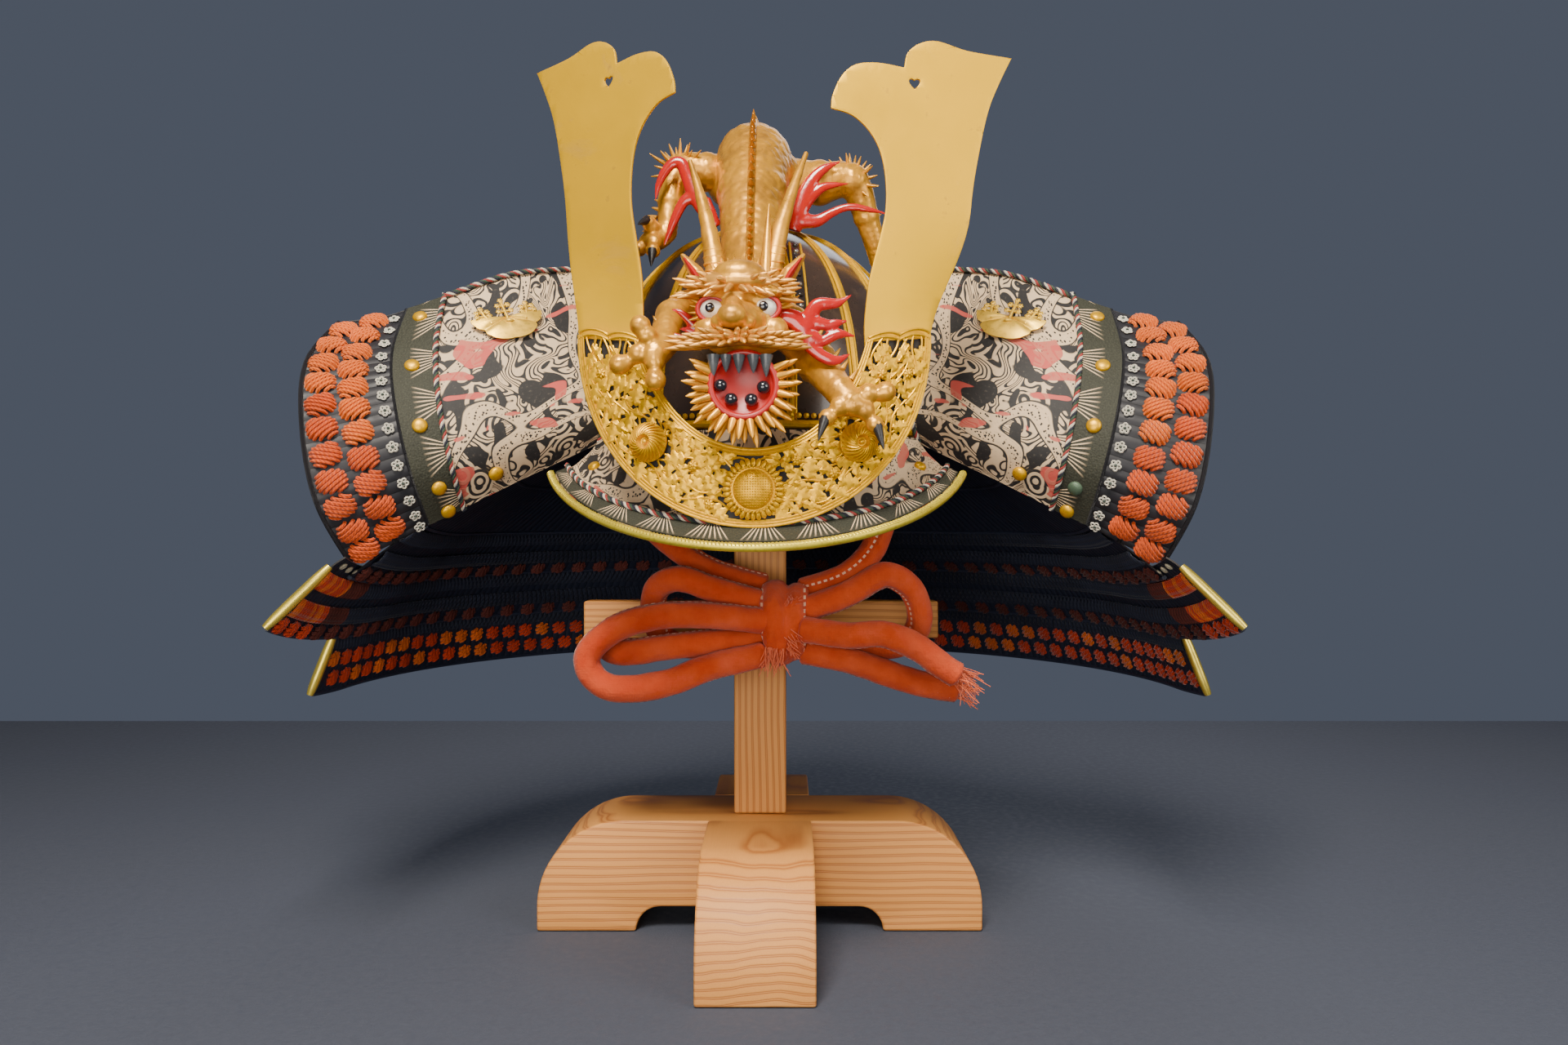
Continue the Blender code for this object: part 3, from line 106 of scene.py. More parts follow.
LAME_EDGES = ((0.000, 0.000, 0.000), (0.265, 0.270, 0.176), (0.532, 0.535, 0.370),
              (0.742, 0.755, 0.565), (0.908, 0.910, 0.776), (1.000, 1.000, 1.000))
LAME_ENDS = (112, 112, 112, 120, 96)
WING = {"wall": 0.0030, "clear": 0.0100, "height": 0.150, "out": 0.030, "back": 0.040}
WING_SECTIONS = (
    ((0.00, 0.00, 0.00), (-0.27, -0.15, 0.13), (-0.10, 0.05, 0.32), (0.17, 0.60, 0.55), (0.55, 1.35, 0.85)),
    ((0.00, 0.00, 0.00), (0.00, -0.40, 0.155), (0.13, -0.30, 0.38), (0.27, 0.20, 0.645), (0.42, 0.95, 0.93)),
    ((0.00, 0.00, 0.00), (0.13, -0.52, 0.21), (0.45, -0.47, 0.475), (0.73, 0.03, 0.695), (0.81, 0.88, 0.92)),
    ((0.00, 0.00, 0.00), (0.40, -0.47, 0.24), (0.70, -0.42, 0.535), (0.90, 0.08, 0.80), (0.70, 0.93, 1.00)),
)
LEATHER_END = 0.656
CAMERA = {"across": 0.0165, "back": 0.764, "height": 0.276, "lens": 24.8, "sensor": 36, "clip": 0.02}
LAMP_AIM = (0, 0, 0.28)
LAMPS = (
    ("key_light", (-0.15, -0.95, 1.30), 0.45, 40.0, (1.0, 0.92, 0.80)),
    ("fill_light", (1.3, -1.1, 0.85), 0.9, 15.0, (1.0, 0.95, 0.87)),
    ("low_light", (-0.25, -1.35, 0.12), 0.9, 19.0, (1.0, 0.94, 0.85)),
    ("back_light", (0.3, 1.1, 1.2), 0.9, 6.0, (0.95, 0.97, 1.0)),
)
ROOM = {"tint": (0.105, 0.122, 0.165, 1.0), "strength": 0.75}
FLOOR = {"half_side": 3.0, "back": 2.26, "sink": 0.0005, "tint": (0.060, 0.069, 0.098)}
CORD_ROUTES = {
    "chin_strap_left": (
        (-6.60, 0.44, 6.76), (-6.36, 0.21, 5.40), (-5.41, -0.15, 3.76), (-4.24, -0.44, 2.71),
        (-2.88, -0.56, 1.82), (-0.60, -0.38, 1.12),
    ),
    "chin_strap_right": (
        (4.72, 0.44, 6.76), (4.62, 0.21, 5.40), (4.00, -0.15, 3.76), (3.41, -0.44, 2.47),
        (2.35, -0.62, 1.53), (0.60, -0.38, 0.94),
    ),
    "bow_back_loop_left": (
        (-0.60, -1.44, 0.53), (-2.59, -1.91, 1.12), (-3.88, -2.03, 1.53), (-4.82, -1.44, 1.12),
        (-5.00, -0.62, -0.06), (-4.47, -0.21, -1.06), (-2.82, -0.09, -1.24), (-0.60, 0.03, -0.88),
    ),
    "bow_front_loop_left": (
        (-0.60, -2.10, -0.06), (-3.00, -2.94, 0.24), (-4.76, -3.09, 0.18), (-6.24, -3.09, -0.29),
        (-7.18, -3.09, -1.24), (-6.88, -3.09, -2.12), (-5.88, -3.09, -2.47), (-4.18, -2.97, -2.24),
        (-2.71, -2.68, -1.71), (-0.60, -2.12, -1.29),
    ),
    "bow_inner_loop_left": (
        (-0.60, -1.44, -0.76), (-2.71, -1.79, -0.88), (-4.47, -1.97, -1.06), (-5.82, -2.03, -1.24),
        (-6.59, -1.68, -1.12), (-6.53, -0.85, -0.65), (-5.65, -0.32, -0.12), (-3.88, -0.15, 0.06),
        (-2.41, -0.09, 0.06), (-0.60, -0.15, 0.12),
    ),
    "bow_loop_right": (
        (0.60, -1.44, 0.24), (2.47, -1.68, 0.94), (3.82, -1.68, 1.65), (4.88, -1.32, 1.12),
        (5.29, -0.85, -0.12), (4.71, -0.38, -1.06), (2.94, -0.15, -1.24), (0.60, -0.03, -0.94),
    ),
    "cord_tail_front": (
        (0.60, -2.15, -0.35), (2.35, -2.74, -0.53), (3.65, -2.97, -0.47), (4.82, -2.97, -0.88),
        (5.88, -2.97, -1.65), (6.53, -2.97, -2.06),
    ),
    "cord_tail_rear": (
        (0.60, -1.44, -1.24), (2.29, -1.68, -1.53), (3.76, -1.79, -2.00), (5.24, -1.79, -2.47),
        (6.71, -1.79, -2.71),
    ),
}
DRAGON_BACK = (
    (-4.30, -4.45, 0.62), (-3.45, -3.45, 0.70), (-2.50, -2.10, 0.80), (-1.50, -0.95, 0.92),
    (-0.60, -0.15, 1.02), (0.10, 0.02, 1.00), (1.00, -0.15, 0.82), (2.00, -0.55, 0.62),
    (3.10, -1.08, 0.46), (4.20, -1.62, 0.34), (5.10, -2.32, 0.26), (5.80, -3.15, 0.18),
)
LIMBS = {
    "dragon_hind_leg_right": (
        "hips",
        (
            (0.52, 0.04, -0.42, 1.60), (1.72, 0.16, -0.42, 1.30), (2.58, 0.16, -0.38, 1.05),
            (3.00, 0.40, -1.26, 0.80), (3.38, 0.72, -2.34, 0.62), (3.66, 1.12, -2.84, 0.66),
        ),
        (
            (4.24, 0.72, -3.16), (4.16, 1.60, -3.18),
        ),
    ),
    "dragon_hind_leg_left": (
        "hips",
        (
            (-0.36, -0.08, -0.42, 1.50), (-1.24, -0.36, -0.30, 1.10), (-1.94, -0.56, -0.34, 0.95),
            (-2.16, -0.80, -1.22, 0.75), (-2.24, -0.96, -2.02, 0.62), (-2.50, -1.12, -2.32, 0.62),
        ),
        (
            (-2.96, -1.28, -2.58), (-2.68, -1.36, -1.82), (-2.52, -1.60, -2.70),
        ),
    ),
    "dragon_fore_leg_left": (
        "head",
        (
            (-0.10, 1.96, 0.55, 1.10), (-1.03, 1.66, 0.47, 1.00), (-1.69, 0.64, -0.04, 0.85),
            (-1.78, -0.30, -0.85, 0.68), (-1.97, -0.64, -1.15, 0.72),
        ),
        (
            (-2.27, -0.70, -0.49), (-2.74, -0.64, -1.36), (-1.91, -0.81, -1.74),
        ),
    ),
    "dragon_fore_leg_right": (
        "head",
        (
            (0.41, 1.74, 0.38, 1.25), (1.09, 1.11, -0.26, 1.20), (1.69, 0.38, -1.15, 1.05),
            (2.20, -0.38, -1.91, 0.75), (2.50, -0.66, -2.28, 0.75),
        ),
        (
            (1.82, -0.77, -2.60), (3.22, -0.60, -1.96), (3.05, -0.68, -2.77),
        ),
    ),
}
FLAMES = {
    "flame_left_hip": (
        "hips", -1.38, 0.02065,
        (
            ((-52, -90, 7), (-62, -72, 11), (-72, -55, 11), (-80, -36, 9), (-88, -20, 8), (-99, -20, 7),
             (-110, -33, 6), (-117, -50, 4), (-120, -67, 1)),
            ((-64, -62, 9), (-76, -62, 9), (-86, -68, 7), (-97, -90, 6), (-104, -108, 4), (-110, -122, 1)),
            ((-44, -97, 6), (-54, -80, 9), (-60, -64, 8)),
        ),
    ),
    "flame_right_hip": (
        "hips", -0.50, 0.0213,
        (
            ((48, -88, 9), (54, -68, 12), (62, -43, 10), (72, -25, 8), (86, -12, 6), (106, -3, 1)),
            ((58, -60, 10), (70, -45, 8), (84, -35, 6), (98, -32, 4), (116, -30, 1)),
            ((46, -80, 10), (60, -76, 10), (77, -76, 8), (92, -68, 6), (107, -61, 5), (122, -59, 5),
             (140, -62, 4), (163, -67, 1)),
        ),
    ),
    "flame_right_cheek": (
        "head", -0.47, 0.01838,
        (
            ((40, -18, 8), (50, -15, 12), (64, -18, 13), (76, -28, 12), (84, -12, 10), (92, 0, 9),
             (104, 2, 8), (118, 3, 6), (134, 13, 1)),
            ((78, -22, 9), (92, -22, 9), (106, -24, 7), (116, -22, 6), (129, -19, 1)),
            ((74, -34, 11), (86, -40, 10), (98, -44, 7), (110, -38, 7), (122, -35, 6), (139, -38, 1)),
            ((70, -30, 9), (80, -46, 9), (92, -58, 8), (106, -66, 8), (118, -67, 6), (133, -59, 1)),
        ),
    ),
    "flame_left_cheek": (
        "head", -0.30, 0.01838,
        (
            ((-42, -40, 8), (-58, -42, 7), (-74, -40, 6), (-87, -35, 5), (-99, -27, 1)),
            ((-42, -24, 9), (-56, -24, 8), (-68, -14, 6), (-78, -6, 4), (-88, -3, 1)),
            ((-42, -32, 9), (-54, -33, 8), (-66, -29, 5), (-78, -27, 1)),
        ),
    ),
}
HORN_OUTLINE = (
    (-0.83, -0.05), (-0.90, 0.10), (-0.98, 0.20), (-0.99, 0.33), (-0.92, 0.48), (-1.02, 0.60),
    (-1.28, 0.68), (-1.70, 0.735), (-2.20, 0.755), (-2.16, 0.80), (-1.95, 0.865), (-1.62, 0.905),
    (-1.10, 0.915), (-0.50, 0.905), (-0.42, 0.955), (-0.12, 0.99), (0.30, 1.00), (1.00, 0.975),
    (2.05, 0.960), (1.78, 0.88), (1.50, 0.78), (1.28, 0.64), (1.10, 0.48), (0.98, 0.25),
    (0.88, 0.10), (0.80, -0.05),
)


# Points and lines

def curve_point(before, start, stop, after, t):
    """Point between the middle two of four points, by Catmull-Rom."""
    return 0.5 * (2 * start + (stop - before) * t + (2 * before - 5 * start + 4 * stop - after) * t * t
                  + (3 * start - before - 3 * stop + after) * t ** 3)


def turned(points, steps):
    """Smooth points through a list of points."""
    points = [Vector(point) for point in points]
    ends = [2 * points[0] - points[1]] + points + [2 * points[-1] - points[-2]]
    smooth = []
    for index in range(1, len(ends) - 2):
        smooth += [curve_point(*ends[index - 1:index + 3], step / steps) for step in range(steps)]
    return smooth + [points[-1]]


def radii_between(radii, steps, count):
    """Radii for the points that turned() puts between the given ones."""
    last = len(radii) - 1
    eased = []
    for index in range(count):
        start, stop = radii[min(last, index // steps)], radii[min(last, index // steps + 1)]
        eased.append(start + (stop - start) * (index % steps) / steps)
    return eased


def stepped(anchor, steps):
    """Point that lies some steps from the hips, the head or the knot."""
    origin, unit = {"hips": HIPS, "head": HEAD, "knot": KNOT}[anchor]
    return origin + unit * Vector(steps)


def line_length(line):
    return sum((stop - start).length for start, stop in zip(line, line[1:]))


def even_line(line, count):
    """The same line with its points an equal way apart."""
    gaps = [(stop - start).length for start, stop in zip(line, line[1:])]
    whole = sum(gaps)
    spots, index, passed = [], 0, 0.0
    for step in range(count):
        goal = whole * step / (count - 1)
        while index < len(gaps) - 1 and passed + gaps[index] < goal:
            passed += gaps[index]
            index += 1
        share = min(1.0, max(0.0, (goal - passed) / max(gaps[index], 1e-9)))
        spots.append(line[index].lerp(line[index + 1], share))
    return spots


def travelling_frames(line):
    """Two directions across a line at each point, carried along it without a twist."""
    frames = []
    side = None
    for index in range(len(line)):
        ahead = line[min(index + 1, len(line) - 1)] - line[max(index - 1, 0)]
        ahead = ahead.normalized() if ahead.length > 1e-9 else Vector((0, 0, 1))
        if side is None:
            side = ahead.cross(Vector((0, 0, 1)))
            if side.length < 0.1:
                side = ahead.cross(Vector((1, 0, 0)))
        side = side - ahead * side.dot(ahead)
        side.normalize()
        frames.append((side.copy(), ahead.cross(side).normalized(), ahead))
    return frames


# Mesh helpers

def uv_layer(work):
    layers = work.loops.layers.uv
    return layers.get("UVMap") or layers.new("UVMap")


def append(work, small):
    """Add all of a small bmesh to a larger one and free it."""
    mesh = pattern_mesh(small)
    work.from_mesh(mesh)
    bpy.data.meshes.remove(mesh)


def surface(work, place, across, along, reach=(1.0, 1.0), finish=0):
    """Add a grid whose points a function puts in place; its UV is in metres of the given reach."""
    layer = uv_layer(work)
    made = bmesh.ops.create_grid(work, x_segments=across, y_segments=along, size=0.5)["verts"]
    spots = {vert: (vert.co.x + 0.5, vert.co.y + 0.5) for vert in made}
    faces = list(dict.fromkeys(face for vert in made for face in vert.link_faces))
    for vert, (u, v) in spots.items():
        vert.co = place(u, v)
    for face in faces:
        face.material_index = finish
        for loop in face.loops:
            u, v = spots[loop.vert]
            loop[layer].uv = (u * reach[0], v * reach[1])
    return made, faces


def rod(work, line, radii, sides=8, finish=0, flat=1.0):
    """Add a closed round bar along a line; its ends are rounded in by one ring."""
    line = [Vector(point) for point in line]
    if not isinstance(radii, (list, tuple)):
        radii = [radii] * len(line)
    frames = travelling_frames(line)
    rings = [(line[0], frames[0], 0.0)]
    rings += [(point, way, radius) for point, way, radius in zip(line, frames, radii)]
    rings.append((line[-1], frames[-1], 0.0))
    last = len(rings) - 1

    def place(u, v):
        point, (side, up, _), radius = rings[round(v * last)]
        turn = u * TAU
        return point + side * (math.cos(turn) * radius) + up * (math.sin(turn) * radius * flat)

    small = bmesh.new()
    surface(small, place, sides, last, (1.0, line_length(line)), finish)
    bmesh.ops.remove_doubles(small, verts=small.verts, dist=1e-7)
    bmesh.ops.recalc_face_normals(small, faces=small.faces)
    append(work, small)


def blob(work, centre, radii, segments=12, rings=8, finish=0):
    """Add an ellipsoid."""
    name = "ball_%d_%d" % (segments, rings)
    pattern = bpy.data.meshes.get(name)
    if pattern is None:
        small = bmesh.new()
        uv_layer(small)
        bmesh.ops.create_uvsphere(small, u_segments=segments, v_segments=rings, radius=1.0, calc_uvs=True)
        pattern = pattern_mesh(small)
        pattern.name = name
    matrix = Matrix.Translation(centre) @ Matrix.Diagonal((*radii, 1.0))
    stamp(work, pattern, matrix, finish)


def lathe(work, profile, matrix, steps=32, finish=0):
    """Add a body turned about its own Z from a profile of radius and rise."""
    small = bmesh.new()
    uv_layer(small)
    verts = [small.verts.new((radius, 0.0, rise)) for radius, rise in profile]
    for pair in zip(verts, verts[1:]):
        small.edges.new(pair)
    bmesh.ops.spin(small, geom=small.verts[:] + small.edges[:], cent=(0, 0, 0), axis=(0, 0, 1), angle=TAU,
                   steps=steps, use_merge=True)
    bmesh.ops.remove_doubles(small, verts=small.verts, dist=1e-6)
    bmesh.ops.recalc_face_normals(small, faces=small.faces)
    for face in small.faces:
        face.material_index = finish
    bmesh.ops.transform(small, matrix=matrix, verts=small.verts)
    append(work, small)


def stamp(work, pattern, matrix, finish):
    """Add a copy of a small mesh; its normals are turned back where the matrix mirrors it."""
    copy = pattern.copy()
    copy.transform(matrix)
    if matrix.determinant() < 0:
        copy.flip_normals()
    copy.polygons.foreach_set("material_index", [finish] * len(copy.polygons))
    work.from_mesh(copy)
    bpy.data.meshes.remove(copy)


def pattern_mesh(work):
    mesh = bpy.data.meshes.new("pattern")
    work.to_mesh(mesh)
    work.free()
    return mesh


def filled(outline, holes=()):
    """Flat face in X and Z inside an outline with holes, as triangles, facing -Y."""
    work = bmesh.new()
    edges = []
    for loop in (outline, *holes):
        verts = [work.verts.new((x, 0.0, z)) for x, z in loop]
        edges += [work.edges.new((verts[index - 1], verts[index])) for index in range(len(verts))]
    bmesh.ops.triangle_fill(work, use_beauty=True, use_dissolve=False, edges=edges)
    for face in work.faces:
        face.normal_update()
        if face.normal.y > 0:
            face.normal_flip()
    return work


def thickened(work, wall):
    """Give a sheet that faces -Y its wall, grown backwards."""
    made = bmesh.ops.extrude_face_region(work, geom=work.faces[:])["geom"]
    back = [item for item in made if isinstance(item, bmesh.types.BMVert)]
    bmesh.ops.translate(work, vec=(0, wall, 0), verts=back)
    bmesh.ops.recalc_face_normals(work, faces=work.faces)


def sliced(work, spot, normal, clear_inner=False):
    """Cut a mesh along a plane, and drop what lies behind it if asked to."""
    geom = work.verts[:] + work.edges[:] + work.faces[:]
    bmesh.ops.bisect_plane(work, geom=geom, plane_co=spot, plane_no=normal, dist=1e-6,
                           clear_inner=clear_inner)


def ease_rims(work, angle, offset, segments):
    """Round the edges at which two faces fold by more than an angle."""
    rims = [edge for edge in work.edges if len(edge.link_faces) == 2
            and edge.calc_face_angle() > math.radians(angle)]
    bmesh.ops.bevel(work, geom=rims, offset=offset, segments=segments, profile=0.5, affect="EDGES",
                    material=-1)


def face_along(work, faces, want):
    """Turn a sheet's faces so that they look along a direction."""
    for face in faces:
        face.normal_update()
    if sum(face.normal.dot(Vector(want)) for face in faces) < 0:
        bmesh.ops.reverse_faces(work, faces=faces)


def carved(work, voxel, rounds, relief=None):
    """Blend overlapping shapes into one carved body, then push its skin in and out."""
    mesh = bpy.data.meshes.new("blank")
    work.to_mesh(mesh)
    work.free()
    blank = bpy.data.objects.new("blank", mesh)
    bpy.context.scene.collection.objects.link(blank)
    skin = blank.modifiers.new("skin", "REMESH")
    skin.mode = "VOXEL"
    skin.voxel_size = voxel
    soft = blank.modifiers.new("soft", "SMOOTH")
    soft.factor = 0.5
    soft.iterations = rounds
    bpy.context.view_layer.update()
    shaped = blank.evaluated_get(bpy.context.evaluated_depsgraph_get()).to_mesh()
    result = bmesh.new()
    result.from_mesh(shaped)
    bpy.data.objects.remove(blank)
    bpy.data.meshes.remove(mesh)
    if relief:
        result.normal_update()
        moves = [(vert, vert.normal * relief(vert.co)) for vert in result.verts]
        for vert, move in moves:
            vert.co += move
    return result


def make_piece(name, work, paints, stands_for=(), smooth=40):
    """Put a bmesh in the scene as a finished piece that rides on the root."""
    bmesh.ops.translate(work, vec=(0, MIDDLE_Y, 0), verts=work.verts)
    mesh = bpy.data.meshes.new(name)
    work.to_mesh(mesh)
    work.free()
    for paint in paints if isinstance(paints, (list, tuple)) else (paints,):
        mesh.materials.append(paint)
    mesh.shade_smooth()
    mesh.set_sharp_from_angle(angle=math.radians(smooth))
    thing = bpy.data.objects.new(name, mesh)
    bpy.context.scene.collection.objects.link(thing)
    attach(thing, "root")
    if stands_for:
        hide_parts(*stands_for)
    return thing


# Materials

class Paint:
    """A procedural material that is put together a node at a time."""

    def __init__(self, name, roughness=0.5, metallic=0.0, uv=False, **sockets):
        self.material = bpy.data.materials.new(name)
        self.material.use_nodes = True
        self.tree = self.material.node_tree
        self.shader = self.tree.nodes["Principled BSDF"]
        self.shader.inputs["Roughness"].default_value = roughness
        self.shader.inputs["Metallic"].default_value = metallic
        for socket, value in sockets.items():
            self.shader.inputs[socket.replace("_", " ")].default_value = value
        self.where = self.node("ShaderNodeTexCoord").outputs["UV" if uv else "Object"]

    def node(self, kind, inputs=None, **settings):
        made = self.tree.nodes.new(kind)
        for key, value in settings.items():
            setattr(made, key, value)
        for key, value in (inputs or {}).items():
            if isinstance(value, bpy.types.NodeSocket):
                self.tree.links.new(value, made.inputs[key])
            else:
                made.inputs[key].default_value = value
        return made

    def mapped(self, scale=(1, 1, 1), turn=(0, 0, 0), vector=None):
        """Coordinates scaled and turned, in that order of the Mapping node."""
        turn = tuple(math.radians(angle) for angle in turn)
        return self.node("ShaderNodeMapping", {"Vector": vector or self.where, "Scale": scale,
                                               "Rotation": turn}).outputs[0]

    def noise(self, scale, detail=3.0, rough=0.5, vector=None, distort=0.0):
        return self.node("ShaderNodeTexNoise", {"Vector": vector or self.where, "Scale": scale,
                                                "Detail": detail, "Roughness": rough,
                                                "Distortion": distort}).outputs["Fac"]

    def cells(self, scale, vector=None):
        return self.node("ShaderNodeTexVoronoi", {"Vector": vector or self.where, "Scale": scale},
                         feature="F1").outputs["Distance"]

    def wave(self, scale, distort, detail, vector, direction, grain=1.0):
        return self.node("ShaderNodeTexWave", {"Vector": vector, "Scale": scale, "Distortion": distort,
                                               "Detail": detail, "Detail Scale": grain},
                         wave_type="BANDS", bands_direction=direction).outputs["Fac"]

    def ramp(self, share, *stops):
        """Colour along a scale of stops, each a place and a colour or a grey."""
        made = self.node("ShaderNodeValToRGB", {"Fac": share})
        scale = made.color_ramp
        while len(scale.elements) < len(stops):
            scale.elements.new(1.0)
        for element, (place, _) in zip(scale.elements, stops):
            element.position = place
        for element, (_, tone) in zip(scale.elements, stops):
            tone = (tone, tone, tone) if isinstance(tone, (int, float)) else tuple(tone)[:3]
            element.color = (*tone, 1.0)
        return made.outputs["Color"]

    def mix(self, share, first, second):
        made = self.node("ShaderNodeMix", data_type="RGBA", blend_type="MIX", clamp_factor=True)
        for slot_index, value in ((0, share), (6, first), (7, second)):
            if isinstance(value, bpy.types.NodeSocket):
                self.tree.links.new(value, made.inputs[slot_index])
            elif slot_index == 0:
                made.inputs[0].default_value = value
            else:
                made.inputs[slot_index].default_value = (*tuple(value)[:3], 1.0)
        return made.outputs[2]

    def sum(self, operation, first, second=0.0):
        made = self.node("ShaderNodeMath", operation=operation)
        for index, value in enumerate((first, second)):
            if isinstance(value, bpy.types.NodeSocket):
                self.tree.links.new(value, made.inputs[index])
            else:
                made.inputs[index].default_value = value
        return made.outputs[0]

    def split(self):
        return self.node("ShaderNodeSeparateXYZ", {"Vector": self.where}).outputs

    def bump(self, height, depth, strength, under=None):
        """Relief of a depth in metres."""
        inputs = {"Height": height, "Distance": depth, "Strength": strength}
        if under:
            inputs["Normal"] = under
        return self.node("ShaderNodeBump", inputs).outputs["Normal"]

    def done(self, colour, roughness, normal):
        """Join the colour, the relief and, where it varies, the roughness to the shader."""
        for socket, value in (("Base Color", colour), ("Roughness", roughness), ("Normal", normal)):
            if value is not None:
                self.tree.links.new(value, self.shader.inputs[socket])
        return self.material


def shade(colour, share):
    return tuple(channel * share for channel in tuple(colour)[:3])


def cedar_paint(name, colours, turn):
    """Cedar with its year rings; turn lays the grain along the board."""
    paint = Paint(name, roughness=0.48, Specular_IOR_Level=0.35)
    along = paint.mapped(turn=turn)
    stretched = paint.mapped(scale=(0.22, 1.0, 1.0), vector=along)
    drift = paint.noise(14.0, 2.0, 0.5, stretched)
    lift = paint.node("ShaderNodeCombineXYZ", {"Z": paint.sum("MULTIPLY", drift, 0.020)}).outputs[0]
    bent = paint.node("ShaderNodeVectorMath", {0: stretched, 1: lift}, operation="ADD")
    rings = paint.wave(64.0, 0.6, 2.0, bent.outputs[0], "Z", grain=1.5)
    lines = paint.ramp(rings, (0.0, 0.0), (0.50, 0.05), (0.80, 0.55), (0.93, 1.0), (1.0, 0.25))
    fibre = paint.noise(900.0, 2.0, 0.6, paint.mapped(scale=(0.02, 1.0, 1.0), vector=along))
    broad = paint.noise(16.0, 2.0, 0.5, stretched)
    base = paint.mix(broad, colours["wood"], shade(colours["wood"], 0.80))
    base = paint.mix(paint.sum("MULTIPLY", fibre, 0.20), base, colours["wood_line"])
    tone = paint.mix(paint.sum("MULTIPLY", lines, 0.85), base, colours["wood_line"])
    height = paint.sum("ADD", paint.sum("MULTIPLY", lines, -0.6), paint.sum("MULTIPLY", fibre, 0.5))
    return paint.done(tone, paint.ramp(lines, (0.0, 0.52), (1.0, 0.40)),
                      paint.bump(height, 0.0003, 0.6))


def gilt_sheet_paint(name, colours):
    """Thin gilt sheet with faint wear, stains and fine hammer marks."""
    paint = Paint(name, roughness=0.4, metallic=0.55, Specular_IOR_Level=0.15)
    cloud = paint.noise(9.0, 4.0, 0.55)
    stain = paint.ramp(paint.noise(17.0, 5.0, 0.65, distort=1.4), (0.0, 0.0), (0.60, 0.0), (0.72, 1.0))
    spots = paint.ramp(paint.noise(120.0, 3.0, 0.6), (0.0, 0.0), (0.66, 0.0), (0.74, 1.0))
    tone = paint.mix(cloud, colours["gilt"], shade(colours["gilt"], 0.86))
    tone = paint.mix(paint.sum("MULTIPLY", stain, 0.42), tone, (0.62, 0.36, 0.09))
    tone = paint.mix(paint.sum("MULTIPLY", spots, 0.35), tone, (0.30, 0.17, 0.05))
    rough = paint.ramp(paint.noise(30.0, 4.0, 0.6), (0.25, 0.42), (0.75, 0.55))
    relief = paint.bump(paint.noise(260.0, 2.0, 0.5), 0.00010, 0.5)
    return paint.done(tone, rough, relief)


def gilt_relief_paint(name, colours):
    """Chased gilding: bright where it is worn, brown in its specks."""
    grain = 420.0
    paint = Paint(name, roughness=0.4, metallic=0.60, Specular_IOR_Level=0.2)
    cloud = paint.noise(70.0, 4.0, 0.6)
    specks = paint.ramp(paint.noise(grain, 2.0, 0.6), (0.0, 0.0), (0.52, 0.0), (0.70, 1.0))
    tone = paint.mix(cloud, colours["gilt_dark"], shade(colours["gilt"], 0.92))
    tone = paint.mix(paint.sum("MULTIPLY", specks, 0.30), tone, (0.16, 0.08, 0.02))
    rough = paint.ramp(paint.noise(90.0, 3.0, 0.6), (0.3, 0.34), (0.75, 0.52))
    return paint.done(tone, rough, paint.bump(paint.noise(grain, 3.0, 0.6), 0.00012, 0.4))


def lacquer_paint(name, colours, tone=None):
    """Glossy lacquer, black unless a tone is given, with brown scuffs."""
    paint = Paint(name, roughness=0.3, Coat_Weight=0.25, Coat_Roughness=0.12)
    tone = tone or colours["lacquer"]
    scuff = paint.ramp(paint.noise(60.0, 5.0, 0.7), (0.0, 0.0), (0.55, 0.0), (0.70, 1.0))
    colour = paint.mix(paint.sum("MULTIPLY", scuff, 0.25), tone, (0.12, 0.075, 0.045))
    rough = paint.ramp(paint.noise(40.0, 4.0, 0.6), (0.3, 0.16), (0.75, 0.38))
    return paint.done(colour, rough, paint.bump(paint.noise(55.0, 3.0, 0.5), 0.0003, 0.3))


def carved_gold_paint(name, colours):
    """Gold leaf on carved wood, brown where the leaf has gone."""
    paint = Paint(name, roughness=0.36, metallic=0.55)
    patch = paint.ramp(paint.noise(60.0, 4.0, 0.6, distort=0.6), (0.46, 0.0), (0.72, 1.0))
    fine = paint.noise(380.0, 3.0, 0.6)
    tone = paint.mix(paint.sum("MULTIPLY", patch, 0.70), colours["carved_gold"], colours["carved_brown"])
    tone = paint.mix(paint.ramp(fine, (0.62, 0.0), (0.80, 0.5)), tone, shade(colours["carved_brown"], 0.6))
    rough = paint.ramp(paint.noise(120.0, 3.0, 0.6), (0.3, 0.26), (0.8, 0.52))
    return paint.done(tone, rough, paint.bump(paint.noise(240.0, 3.0, 0.6), 0.0003, 0.35))


def plain_paint(name, tone, roughness=0.4, spread=0.25, grain=90.0, depth=0.0002, **sockets):
    """A colour that drifts a little, with a fine skin."""
    paint = Paint(name, roughness=roughness, **sockets)
    drift = paint.noise(grain, 4.0, 0.6)
    colour = paint.mix(drift, tone, shade(tone, 1.0 - spread))
    rough = paint.ramp(paint.noise(grain * 0.6, 3.0, 0.5), (0.3, roughness * 0.8), (0.75, roughness * 1.25))
    return paint.done(colour, rough, paint.bump(paint.noise(grain * 3, 3.0, 0.6), depth, 0.5))


